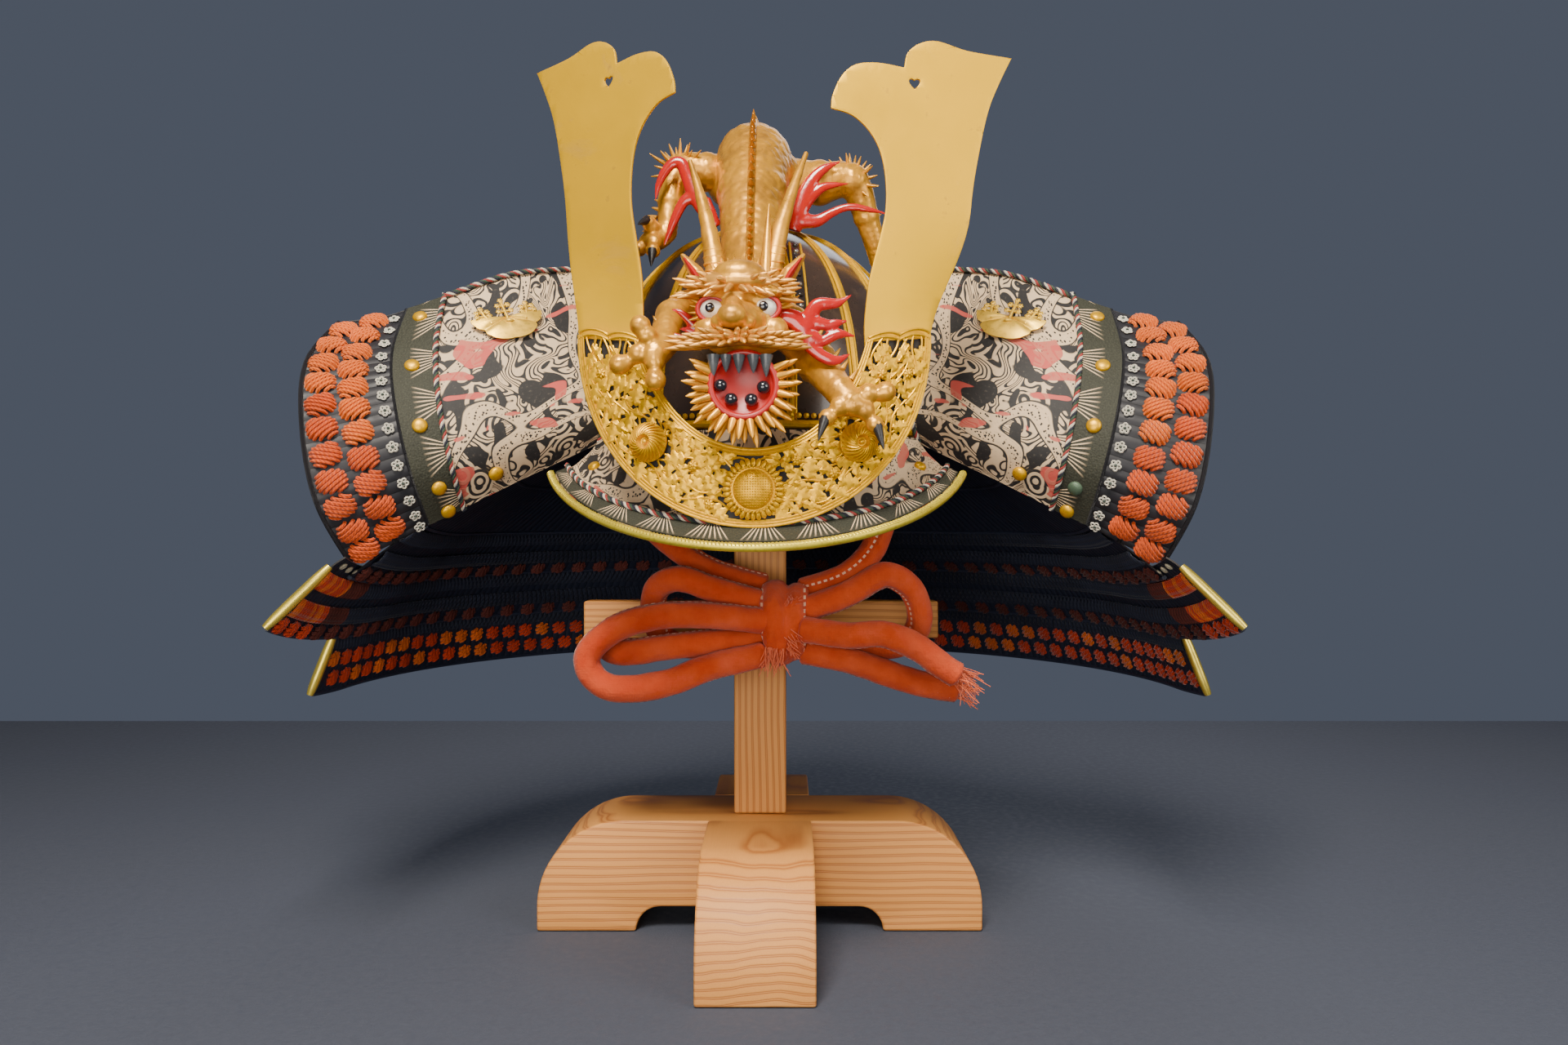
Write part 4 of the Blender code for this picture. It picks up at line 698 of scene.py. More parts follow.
def silk_paint(name, tone, spread=0.45, sheen=0.25):
    """Twisted silk: U runs around a strand and V along it, in metres."""
    paint = Paint(name, roughness=0.72, uv=True, Sheen_Weight=sheen, Sheen_Roughness=0.4,
                  Specular_IOR_Level=0.25)
    place = paint.node("ShaderNodeTexCoord").outputs["Object"]
    spot = paint.split()
    lay = paint.sum("ADD", paint.sum("MULTIPLY", spot["X"], 3.0), paint.sum("MULTIPLY", spot["Y"], 420.0))
    threads = paint.sum("ADD", paint.sum("MULTIPLY", paint.sum("SINE", paint.sum("MULTIPLY", lay, TAU)), 0.5),
                        0.5)
    faded = paint.noise(28.0, 3.0, 0.6, place)
    colour = paint.mix(paint.ramp(faded, (0.30, 0.0), (0.70, 1.0)), tone, shade(tone, 1.0 - spread))
    # The troughs between the threads are darkened: painted shade between the threads.
    colour = paint.mix(paint.ramp(threads, (0.0, 0.55), (0.5, 0.0)), colour, shade(tone, 0.35))
    fuzz = paint.noise(1500.0, 2.0, 0.6, place)
    relief = paint.bump(threads, 0.0005, 0.7)
    return paint.done(colour, None, paint.bump(fuzz, 0.00015, 0.6, relief))


def printed_leather_paint(name, colours):
    """Stencilled leather: pale scrolls, scale bands and pink flames on charcoal. Its UV is in metres."""
    paint = Paint(name, roughness=0.62, uv=True, Specular_IOR_Level=0.3)
    spot = paint.mapped()
    flow = paint.noise(27.0, 0.6, 0.5, spot, distort=1.5)
    lines = paint.sum("FRACT", paint.sum("MULTIPLY", flow, 15.0))
    scroll = paint.ramp(lines, (0.0, 0.0), (0.08, 1.0), (0.60, 1.0), (0.68, 0.0))
    curls = paint.sum("FRACT", paint.sum("MULTIPLY", paint.cells(50.0, spot), 4.0))
    curl_lines = paint.ramp(curls, (0.0, 0.0), (0.08, 1.0), (0.52, 1.0), (0.60, 0.0))
    curled = paint.ramp(paint.noise(21.0, 0.0, 0.5, paint.mapped(turn=(0, 0, 25))),
                        (0.0, 0.0), (0.54, 0.0), (0.55, 1.0))
    pale = paint.mix(curled, scroll, curl_lines)
    ground = paint.ramp(paint.noise(46.0, 0.0, 0.5, spot, distort=0.8), (0.0, 0.0), (0.385, 0.0),
                        (0.395, 1.0))
    pale = paint.mix(ground, (0, 0, 0), pale)
    winding = paint.sum("ABSOLUTE", paint.sum("SUBTRACT", paint.noise(13.0, 0.0, 0.5, spot, distort=0.6),
                                              0.47))
    in_band = paint.ramp(winding, (0.0, 1.0), (0.024, 1.0), (0.026, 0.0))
    band_rim = paint.ramp(winding, (0.0, 0.0), (0.025, 0.0), (0.027, 1.0), (0.036, 1.0), (0.038, 0.0))
    dark_rim = paint.ramp(winding, (0.0, 0.0), (0.037, 0.0), (0.039, 1.0), (0.043, 1.0), (0.045, 0.0))
    scales = paint.ramp(paint.cells(430.0, spot), (0.0, 0.0), (0.30, 0.0), (0.40, 1.0))
    pale = paint.mix(in_band, pale, scales)
    pale = paint.mix(band_rim, pale, (1, 1, 1))
    pale = paint.mix(dark_rim, pale, (0, 0, 0))
    pink = paint.ramp(paint.noise(24.0, 0.0, 0.5, paint.mapped(scale=(1.0, 2.2, 1.0), turn=(0, 0, 40)),
                                  distort=1.0),
                      (0.0, 0.0), (0.675, 0.0), (0.685, 1.0))
    wear = paint.noise(300.0, 4.0, 0.7, spot)
    cream = paint.mix(paint.noise(24.0, 3.0, 0.6, spot), colours["cream"], shade(colours["cream"], 0.78))
    dark = paint.mix(wear, colours["charcoal"], shade(colours["charcoal"], 1.8))
    tone = paint.mix(pale, dark, cream)
    tone = paint.mix(paint.sum("MULTIPLY", pink, 0.85), tone, paint.mix(pale, colours["pink"],
                     shade(colours["pink"], 0.8)))
    tone = paint.mix(paint.ramp(wear, (0.58, 0.0), (0.75, 0.5)), tone, (0.18, 0.15, 0.11))
    relief = paint.bump(wear, 0.00025, 0.6)
    return paint.done(tone, None, paint.bump(pale, 0.00018, 0.6, relief))


def border_leather_paint(name, colours):
    """Grey-green grained leather with fans of pale stitches; U runs along the edge, V across it."""
    paint = Paint(name, roughness=0.7, uv=True, Specular_IOR_Level=0.3)
    spot = paint.split()
    grain = paint.cells(700.0)
    broad = paint.noise(60.0, 4.0, 0.6)
    base = paint.mix(broad, colours["border"], shade(colours["border"], 0.55))
    base = paint.mix(paint.ramp(paint.noise(900.0, 2.0, 0.6), (0.45, 0.0), (0.75, 0.8)), base,
                     shade(colours["border"], 1.7))
    # Within each pitch the stitches of a tuft fan out from one point.
    pitch = 0.034
    turn = paint.sum("SUBTRACT", paint.sum("FRACT", paint.sum("DIVIDE", spot["X"], pitch)), 0.5)
    spread = paint.sum("DIVIDE", turn, paint.sum("ADD", paint.sum("MULTIPLY", spot["Y"], 55.0), 0.55))
    comb = paint.sum("SINE", paint.sum("MULTIPLY", spread, 78.0))
    inside = paint.sum("LESS_THAN", paint.sum("ABSOLUTE", spread), 0.32)
    deep = paint.ramp(spot["Y"], (0.0, 1.0), (0.0105, 1.0), (0.0135, 0.0))
    tuft = paint.sum("MULTIPLY", paint.sum("MULTIPLY", paint.ramp(comb, (0.35, 0.0), (0.55, 1.0)), inside),
                     deep)
    tone = paint.mix(paint.sum("MULTIPLY", tuft, 0.9), base, colours["cream"])
    relief = paint.bump(grain, 0.0005, 0.5)
    return paint.done(tone, None, paint.bump(tuft, 0.0003, 0.6, relief))

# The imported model's surfaces

def rounded(rows, place_on):
    """Point at a place along a table of rows, smoothed through its neighbours."""
    last = len(rows) - 1
    index = min(last - 1, max(0, int(place_on)))
    near = [Vector(rows[min(last, max(0, index + step))]) for step in (-1, 0, 1, 2)]
    return curve_point(*near, place_on - index)


def bowl_point(angle, climb, lift=0.0):
    """Point on the bowl: angle from the front, climb from the base to the crown in degrees."""
    power = 2 / BOWL["roundness"]
    across = math.cos(math.radians(climb)) ** power if climb < 90 else 0.0
    up = math.sin(math.radians(climb)) ** power if climb > 0 else 0.0
    return Vector((
        (BOWL["half_width"] + lift) * across * math.sin(angle),
        -(BOWL["half_length"] + lift) * across * math.cos(angle),
        BOWL["base"] + (BOWL["rise"] + lift) * up,
    ))


def visor_rim(turn):
    angle = math.radians(turn)
    return Vector((
        VISOR["half_width"] * math.sin(angle),
        VISOR["centre_y"] - VISOR["reach"] * math.cos(angle),
        VISOR["front_z"] + VISOR["side_rise"] * (1 - math.cos(angle)),
    ))


def visor_point(u, v, lift=0.0):
    """Point on the visor's top: u across from left to right, v from the bowl out to the rim."""
    turn = VISOR["angle"] * (2 * u - 1)
    inner = bowl_point(math.radians(turn * 0.92), 0, 0.003 + VISOR["wall"] + 2 * GAP)
    inner.z = BOWL["base"] - 0.004
    outer = visor_rim(turn)
    for (near, high), (far, low) in zip(VISOR_SECTION, VISOR_SECTION[1:]):
        if v <= far:
            drop = high + (low - high) * (v - near) / (far - near)
            break
    point = inner.lerp(outer, v)
    point.z = inner.z + (outer.z - inner.z) * drop + lift
    return point


def visor_height_at(reach_y):
    inner, outer = visor_point(0.5, 0.0), visor_point(0.5, 1.0)
    return visor_point(0.5, (reach_y - inner.y) / (outer.y - inner.y)).z


def crest_centre():
    return visor_height_at(CREST["y"] + CREST["wall"]) + CREST["outer"] + 3 * GAP


def crest_spot(turn, across):
    """Flat x and z on the openwork: turn from straight down, across from its inner to its outer rim."""
    share = (abs(turn) / CREST["angle"]) ** 4
    inner = CREST["inner"] + CREST["flare"] * share
    outer = CREST["outer"] + CREST["flare"] * 0.5 * share
    radius = inner + (outer - inner) * across
    angle = math.radians(turn)
    return radius * math.sin(angle), crest_centre() - radius * math.cos(angle)


def crest_y(x):
    return CREST["y"] + CREST["sag"] * (x / CREST["outer"]) ** 2


def crest_matrix(x, z, lift=0.0, turn=0.0, size=1.0):
    """Frame on the front of the bent openwork: X along it, Y up and Z out to the front."""
    slope = math.atan(2 * CREST["sag"] * x / CREST["outer"] ** 2)
    out = Vector((math.sin(slope), -math.cos(slope), 0))
    along = Vector((math.cos(slope), math.sin(slope), 0))
    spot = Vector((x, crest_y(x), z)) + out * lift
    frame_of = Matrix((along, Vector((0, 0, 1)), out)).transposed().to_4x4()
    return Matrix.Translation(spot) @ frame_of @ Matrix.Rotation(turn, 4, "Z") @ Matrix.Scale(size, 4)


def neck_point(edge, turn):
    """Point on the neck guard's profile, edge as a place in the table of rows, turn from the back."""
    width, length, drop = rounded(LAME_EDGES, edge)
    start_x = BOWL["half_width"] + 0.003 + 4 * GAP
    start_y = BOWL["half_length"] + 0.003 + 4 * GAP
    angle = math.radians(turn)
    share = max(0.0, (abs(turn) - NECK["flare_start"]) / (NECK["flare_end"] - NECK["flare_start"]))
    side = 1 if turn > 0 else -1
    return Vector((
        (start_x + (NECK["half_width"] - start_x) * width) * math.sin(angle)
        + side * NECK["flare"] * share ** 1.5 * width,
        (start_y + (NECK["half_length"] - start_y) * length) * math.cos(angle) - NECK["shift"] * width,
        NECK["top"] - NECK["drop"] * drop + NECK["lift"] * share ** 2 * width,
    ))


def lame_point(index, u, v):
    """Point on a lame's inner face: u from the left end around the back, v from its top to its foot."""
    turn = LAME_ENDS[index] * (2 * u - 1)
    above, here, below = (neck_point(index + step, turn) for step in (-1 if index else 0, 0, 1))
    if index == 0:
        return here.lerp(below, v)
    down = (here - above).normalized()
    radial = Vector((math.sin(math.radians(turn)), math.cos(math.radians(turn)), 0))
    out = (radial - down * radial.dot(down)).normalized()
    if out.z < 0:
        out = -out
    knee = here + out * (NECK["wall"] + 3 * GAP)
    top = knee - down * NECK["overlap"]
    span, reach = (knee - top).length, (below - knee).length
    bend = span / (span + reach)
    return top.lerp(knee, v / bend) if v < bend else knee.lerp(below, (v - bend) / (1 - bend))


def fold_point(share, sign):
    place_on = share * 3
    edge = min(2, int(place_on))
    part = place_on - edge
    first, second = (neck_point(edge + step, sign * NECK["end"]) for step in (0, 1))
    return first.lerp(second, part) + Vector((0, -GAP, NECK["wall"] / 2 + WING["clear"] * share ** 4))


def wing_point(share, climb, sign, lift=0.0):
    """Point on a wing: share along the fold from the bowl, climb from the fold to the top edge."""
    rows = [rounded(section, climb * 4) for section in WING_SECTIONS]
    out, back, rise = rounded(rows, share * 3)
    spot = fold_point(share, sign) + Vector((sign * out * WING["out"], back * WING["back"],
                                             rise * WING["height"]))
    if lift:
        step = 0.01
        across = wing_point(min(1, share + step), climb, sign) - wing_point(max(0, share - step), climb, sign)
        up = wing_point(share, min(1, climb + step), sign) - wing_point(share, max(0, climb - step), sign)
        normal = across.cross(up).normalized()
        if normal.y > 0:
            normal = -normal
        spot += normal * lift
    return spot


def on_sheet(place, u, v, lift=0.0, turn=0.0, side=1, size=1.0):
    """Frame on a surface at a place: X along u, Y along v and Z out on the given side."""
    step = 0.004
    along = place(min(1.0, u + step), v) - place(max(0.0, u - step), v)
    up = place(u, min(1.0, v + step)) - place(u, max(0.0, v - step))
    normal = along.cross(up).normalized() * side
    along = along.normalized() * side
    up = normal.cross(along)
    frame_of = Matrix((along, up, normal)).transposed().to_4x4()
    return (Matrix.Translation(place(u, v) + normal * lift) @ frame_of
            @ Matrix.Rotation(turn, 4, "Z") @ Matrix.Scale(size, 4))


def facing(place, u, v, want):
    """Side of a surface, 1 or -1, on which its normal looks along a direction."""
    return 1 if on_sheet(place, u, v).to_3x3().col[2].dot(Vector(want)) > 0 else -1


def sheet_length(place, v, count=24):
    spots = [place(step / count, v) for step in range(count + 1)]
    return line_length(spots)


def walled(work, place, across, along, wall, reach, finish, back_finish, want):
    """Add a sheet with its wall: its front looks along a direction, and the wall grows behind it."""
    made, faces = surface(work, place, across, along, reach, finish)
    face_along(work, faces, want)
    for item in (*faces, *made):
        item.normal_update()
    result = bmesh.ops.solidify(work, geom=faces, thickness=wall)["geom"]
    fresh = [item for item in result if isinstance(item, bmesh.types.BMFace)]
    for face in fresh:
        face.material_index = back_finish
    return fresh


# Small patterns that repeat

def strand_knot(width, height, rise, strands, around, along, seed):
    """Pillow of slanted silk strands laid side by side, with their ends tucked under."""
    work = bmesh.new()
    chance = random.Random(seed)
    way = Vector((0.86, 0.51, 0.0))
    aside = Vector((-0.51, 0.86, 0.0))
    half_width, half_height = width / 2, height / 2

    def swell(spot):
        return 1.0 - abs(spot.x / half_width) ** 3.0 - abs(spot.y / half_height) ** 3.0

    span = half_height * 0.86 + half_width * 0.40
    for index in range(strands):
        middle = aside * span * 0.92 * ((index + 0.5) / strands * 2 - 1)
        ends = []
        for sign in (-1, 1):
            reach = 0.0
            while swell(middle + way * sign * reach) > 0.0 and reach < width:
                reach += 0.0002
            ends.append(middle + way * sign * reach)
        if (ends[1] - ends[0]).length < width * 0.25:
            continue
        line = []
        for step in range(along + 1):
            spot = ends[0].lerp(ends[1], step / along)
            lift = rise * max(0.0, swell(spot)) ** 0.45 - 0.0008
            line.append(spot + Vector((0, 0, lift + chance.uniform(-1, 1) * 0.00015)))
        rod(work, line, span / strands * 0.98, around)
    return pattern_mesh(work)


def ring_eyelet(radius, wire, segments, sides):
    work = bmesh.new()
    line = [Vector((math.cos(TAU * step / segments) * radius, math.sin(TAU * step / segments) * radius,
                    wire * 0.5))
            for step in range(segments + 1)]
    rod(work, line, wire, sides)
    return pattern_mesh(work)


def stroke_bar(width, length, lean, rise):
    """Slanted flat lace with a rounded back."""
    work = bmesh.new()
    for side in (-1, 1):
        line = [Vector((side * width * 0.5 + lean * t, length * (t - 0.5), rise * (1 - abs(2 * t - 1) ** 2)))
                for t in (0.0, 0.3, 0.7, 1.0)]
        rod(work, line, width * 0.42, 4, 0, 0.6)
    return pattern_mesh(work)


def domed_rivet(radius, rise, segments=16):
    work = bmesh.new()
    profile = ((0.0, -0.001), (radius, -0.001), (radius, rise * 0.25), (radius * 0.86, rise * 0.62),
               (radius * 0.5, rise * 0.92), (0.0, rise))
    lathe(work, profile, Matrix(), segments)
    return pattern_mesh(work)


def leaf_pattern(length, width, lobes, rise):
    """Lobed leaf with a midrib and side veins raised out of it, lying in X and Y, its root at zero."""
    work = bmesh.new()
    across, along = 6, 4 * lobes + 2

    def place(u, v):
        swell = math.sin(math.pi * min(1.0, v * 0.96 + 0.04)) ** 0.72
        lobe = 0.42 + 0.58 * abs(math.sin(math.pi * lobes * (v ** 0.85)))
        side = 2 * u - 1
        x = side * width * 0.5 * swell * lobe
        y = length * (v - abs(side) * 0.10 * (1 - v))
        rib = max(0.0, 1 - abs(side) * 3.0)
        vein = abs(math.cos(math.pi * lobes * (v ** 0.85) + abs(side) * 1.4))
        z = rise * (0.35 + 0.65 * rib + 0.45 * vein * (1 - abs(side)) - 0.9 * abs(side) ** 3)
        return Vector((x, y, z))

    _, faces = surface(work, place, across, along)
    face_along(work, faces, (0, 0, 1))
    bmesh.ops.solidify(work, geom=faces, thickness=rise * 0.6)
    return pattern_mesh(work)


def petal_rosette(inner, outer, count, rise):
    work = bmesh.new()
    for index in range(count):
        turn = Matrix.Rotation(TAU * index / count, 4, "Z")
        line = [turn @ Vector((inner + (outer - inner) * t, 0, rise * (1 - t * t)))
                for t in (0.0, 0.4, 0.8, 1.0)]
        width = math.pi * (inner + outer) / count * 0.5
        rod(work, line, [width * 0.55, width * 0.9, width * 0.95, width * 0.3], 6, 0, 0.55)
    return pattern_mesh(work)


def twisted_cord(work, line, radius, pitch, finishes, sides=6):
    """Laid cord of strands in several colours."""
    length = line_length(line)
    count = max(8, int(length / pitch * 8))
    spots = even_line(line, count)
    frames = travelling_frames(spots)
    strands = len(finishes)
    for strand, finish in enumerate(finishes):
        path = []
        for index, (point, (side, up, _)) in enumerate(zip(spots, frames)):
            angle = TAU * (index / count * length / pitch + strand / strands)
            path.append(point + side * math.cos(angle) * radius * 0.52 + up * math.sin(angle) * radius * 0.52)
        rod(work, path, radius * 0.56, sides, finish)


def beaded_line(work, spots, radius, finish=0):
    """Row of small beads along a line of points."""
    for spot in spots:
        blob(work, spot, (radius, radius, radius), 6, 4, finish)


# Settings

class KabutoSettings(bpy.types.PropertyGroup):
    """Lengths that were measured off the object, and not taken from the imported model."""
    knot_width: bpy.props.FloatProperty(
        name="Knot width", description="Width of a lacing knot on a wing", default=0.0165,
        min=0.005, max=0.03, unit="LENGTH")
    knot_height: bpy.props.FloatProperty(
        name="Knot height", description="Height of a lacing knot on a wing", default=0.0130,
        min=0.005, max=0.03, unit="LENGTH")
    trim_cord: bpy.props.FloatProperty(
        name="Edge cord", description="Radius of the laid cord along the leather's edges",
        default=0.0017, min=0.0005, max=0.004, unit="LENGTH")
    chin_cord: bpy.props.FloatProperty(
        name="Chin cord", description="Diameter of the padded chin cord", default=0.0170,
        min=0.008, max=0.025, unit="LENGTH")
    rivet: bpy.props.FloatProperty(
        name="Rivet", description="Radius of the gilt rivets on the leather borders", default=0.0046,
        min=0.001, max=0.008, unit="LENGTH")
    leaf: bpy.props.FloatProperty(
        name="Openwork leaf", description="Length of a leaf in the pierced crest base", default=0.0112,
        min=0.004, max=0.02, unit="LENGTH")


def tone(label, value):
    return bpy.props.FloatVectorProperty(name=label, description=label + " of the finish", default=value,
                                         subtype="COLOR", size=3, min=0.0, max=1.0)


class KabutoColours(bpy.types.PropertyGroup):
    """Colours of the finish, as linear light."""
    wood: tone("Cedar", (0.72, 0.32, 0.080))
    wood_line: tone("Latewood of the cedar", (0.33, 0.100, 0.020))
    gilt: tone("Gilding of the horns", (0.76, 0.43, 0.003))
    gilt_dark: tone("Gilding of the openwork", (0.70, 0.36, 0.005))
    lacquer: tone("Black lacquer", (0.018, 0.013, 0.012))
    navy: tone("Dark blue lacing", (0.014, 0.018, 0.034))
    slat: tone("Slats of the wings", (0.020, 0.020, 0.024))
    carved_gold: tone("Gold leaf on the carving", (0.68, 0.32, 0.022))
    carved_brown: tone("Bare wood of the carving", (0.27, 0.115, 0.022))
    flame: tone("Red lacquer of the flames", (0.46, 0.010, 0.008))
    mouth: tone("Red lacquer of the mouth", (0.42, 0.007, 0.005))
    silk: tone("Orange silk", (0.74, 0.135, 0.008))
    silk_deep: tone("Deep red-orange silk", (0.56, 0.040, 0.005))
    chin: tone("Cloth of the chin cord", (0.48, 0.038, 0.004))
    cream: tone("Cream print on the leather", (0.68, 0.50, 0.31))
    charcoal: tone("Dark ground of the leather", (0.015, 0.014, 0.014))
    pink: tone("Red print on the leather", (0.56, 0.085, 0.065))
    border: tone("Grey-green border leather", (0.031, 0.032, 0.021))


def colours_of(context):
    group = context.scene.kabuto_colours
    names = [prop.identifier for prop in group.bl_rna.properties
             if prop.identifier not in ("rna_type", "name")]
    return {name: tuple(getattr(group, name)) for name in names}


class Step:
    """What the operators share: each builds one group of pieces from the settings and colours."""
    bl_options = {"REGISTER", "UNDO"}

    def execute(self, context):
        self.build(context.scene.kabuto_settings, colours_of(context))
        return {"FINISHED"}


class KABUTO_OT_stage(Step, bpy.types.Operator):
    """Add the camera, the lights and the slate cloth floor."""
    bl_idname = "kabuto.stage"
    bl_label = "Stage"

    def build(self, settings, colours):
        scene = bpy.context.scene
        camera = bpy.data.objects.new("front_camera", bpy.data.cameras.new("front_camera"))
        scene.collection.objects.link(camera)
        camera.location = (CAMERA["across"], MIDDLE_Y - CAMERA["back"], CAMERA["height"])
        camera.rotation_euler = (math.radians(90), 0, 0)
        camera.data.lens = CAMERA["lens"]
        camera.data.sensor_width = CAMERA["sensor"]
        camera.data.clip_start = CAMERA["clip"]
        scene.camera = camera
        for name, spot, size, power, tint in LAMPS:
            lamp = bpy.data.objects.new(name, bpy.data.lights.new(name, "AREA"))
            lamp.data.energy = power
            lamp.data.size = size
            lamp.data.color = tint
            lamp.location = spot
            aim = Vector(LAMP_AIM) - Vector(spot)
            lamp.rotation_euler = aim.to_track_quat("-Z", "Y").to_euler()
            scene.collection.objects.link(lamp)
        world = bpy.data.worlds.new("slate_room")
        world.use_nodes = True
        shine = world.node_tree.nodes["Background"]
        shine.inputs["Color"].default_value = ROOM["tint"]
        shine.inputs["Strength"].default_value = ROOM["strength"]
        scene.world = world
        work = bmesh.new()
        bmesh.ops.create_grid(work, x_segments=8, y_segments=8, size=FLOOR["half_side"])
        mesh = bpy.data.meshes.new("floor")
        work.to_mesh(mesh)
        work.free()
        mesh.materials.append(plain_paint("floor_cloth", FLOOR["tint"], 0.9, 0.25, 260.0, 0.0004))
        floor = bpy.data.objects.new("floor", mesh)
        floor.location = (0, MIDDLE_Y - FLOOR["back"], -FLOOR["sink"])
        scene.collection.objects.link(floor)
        floor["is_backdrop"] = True


def board(work, outline, depth, bevel, along_x, gap=0.0):
    """Add a board from its side outline in X and Z, with eased edges; a gap parts it in the middle."""
    plank = filled(outline)
    bmesh.ops.dissolve_limit(plank, angle_limit=0.001, verts=plank.verts, edges=plank.edges)
    thickened(plank, depth)
    bmesh.ops.translate(plank, vec=(0, -depth / 2, 0), verts=plank.verts)
    ease_rims(plank, 60, bevel, 3)
    turn = Matrix() if along_x else Matrix.Rotation(math.radians(90), 4, "Z")
    whole = pattern_mesh(plank)
    for side in (-1, 1) if gap else (0,):
        half = bmesh.new()
        half.from_mesh(whole)
        if side:
            sliced(half, (side * gap, 0, 0), (side, 0, 0), True)
            bmesh.ops.holes_fill(half, edges=half.edges, sides=0)
        stamp(work, pattern_mesh(half), turn, 0)


def arc(centre, radius, start, stop, steps):
    return [(centre[0] + radius * math.cos(math.radians(start + (stop - start) * step / steps)),
             centre[1] + radius * math.sin(math.radians(start + (stop - start) * step / steps)))
            for step in range(steps + 1)]


def node_size(name):
    low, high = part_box(name)
    return Vector(low) - Vector((0, MIDDLE_Y, 0)), Vector(high) - Vector((0, MIDDLE_Y, 0))


class KABUTO_OT_stand(Step, bpy.types.Operator):
    """Build the plain cedar stand: two halved feet, a post and a crossbar."""
    bl_idname = "kabuto.stand"
    bl_label = "Stand"

    def build(self, settings, colours):
        level = cedar_paint("cedar_level", colours, (0, 0, 0))
        forward = cedar_paint("cedar_forward", colours, (0, 0, 90))
        upright = cedar_paint("cedar_upright", colours, (0, 90, 0))
        low, high = node_size("stand_side_foot")
        half, height, width = high.x, high.z, high.y - low.y
        corner, arch, rise = 0.058, 0.0835, 0.0165
        profile = ([(-arch, 0.0)] + arc((-arch + rise, 0.0), rise, 180, 90, 8)[1:]
                   + arc((arch - rise, 0.0), rise, 90, 0, 8)
                   + [(half, 0.0), (half, height - corner)]
                   + arc((half - corner, height - corner), corner, 0, 90, 18)[1:]
                   + arc((corner - half, height - corner), corner, 90, 180, 18) + [(-half, 0.0)])
        for name, along_x, paint in (("stand_side_foot", True, level), ("stand_long_foot", False, forward)):
            work = bmesh.new()
            board(work, profile, width, EDGE_EASE, along_x, 0.0 if along_x else width / 2)
            make_piece("finish_" + name, work, paint, (name,), 30)
        for name, paint in (("stand_post", upright), ("stand_crossbar", level), ("stand_head_block", level)):
            low, high = node_size(name)
            work = bmesh.new()
            if name == "stand_head_block":
                radius, rise = high.x, high.z - low.z
                profile = [(0.0, 0.0), (radius - 0.001, 0.0), (radius, 0.001)]
                profile += [(radius * math.cos(math.radians(turn)) ** 0.7, 0.001 + (rise - 0.001)
                             * math.sin(math.radians(turn)) ** 1.1) for turn in range(10, 66, 5)]
                profile += [(0.0, rise)]
                lathe(work, profile, Matrix.Translation(((low.x + high.x) / 2, (low.y + high.y) / 2, low.z)),
                      48)
            else:
                middle = (low + high) / 2
                bmesh.ops.create_cube(work, size=1.0)
                bmesh.ops.scale(work, vec=high - low, verts=work.verts)
                bmesh.ops.translate(work, vec=middle, verts=work.verts)
                bmesh.ops.bevel(work, geom=work.edges[:], offset=EDGE_EASE, segments=3, profile=0.5,
                                affect="EDGES", material=-1)
            make_piece("finish_" + name, work, paint, (name,), 30)


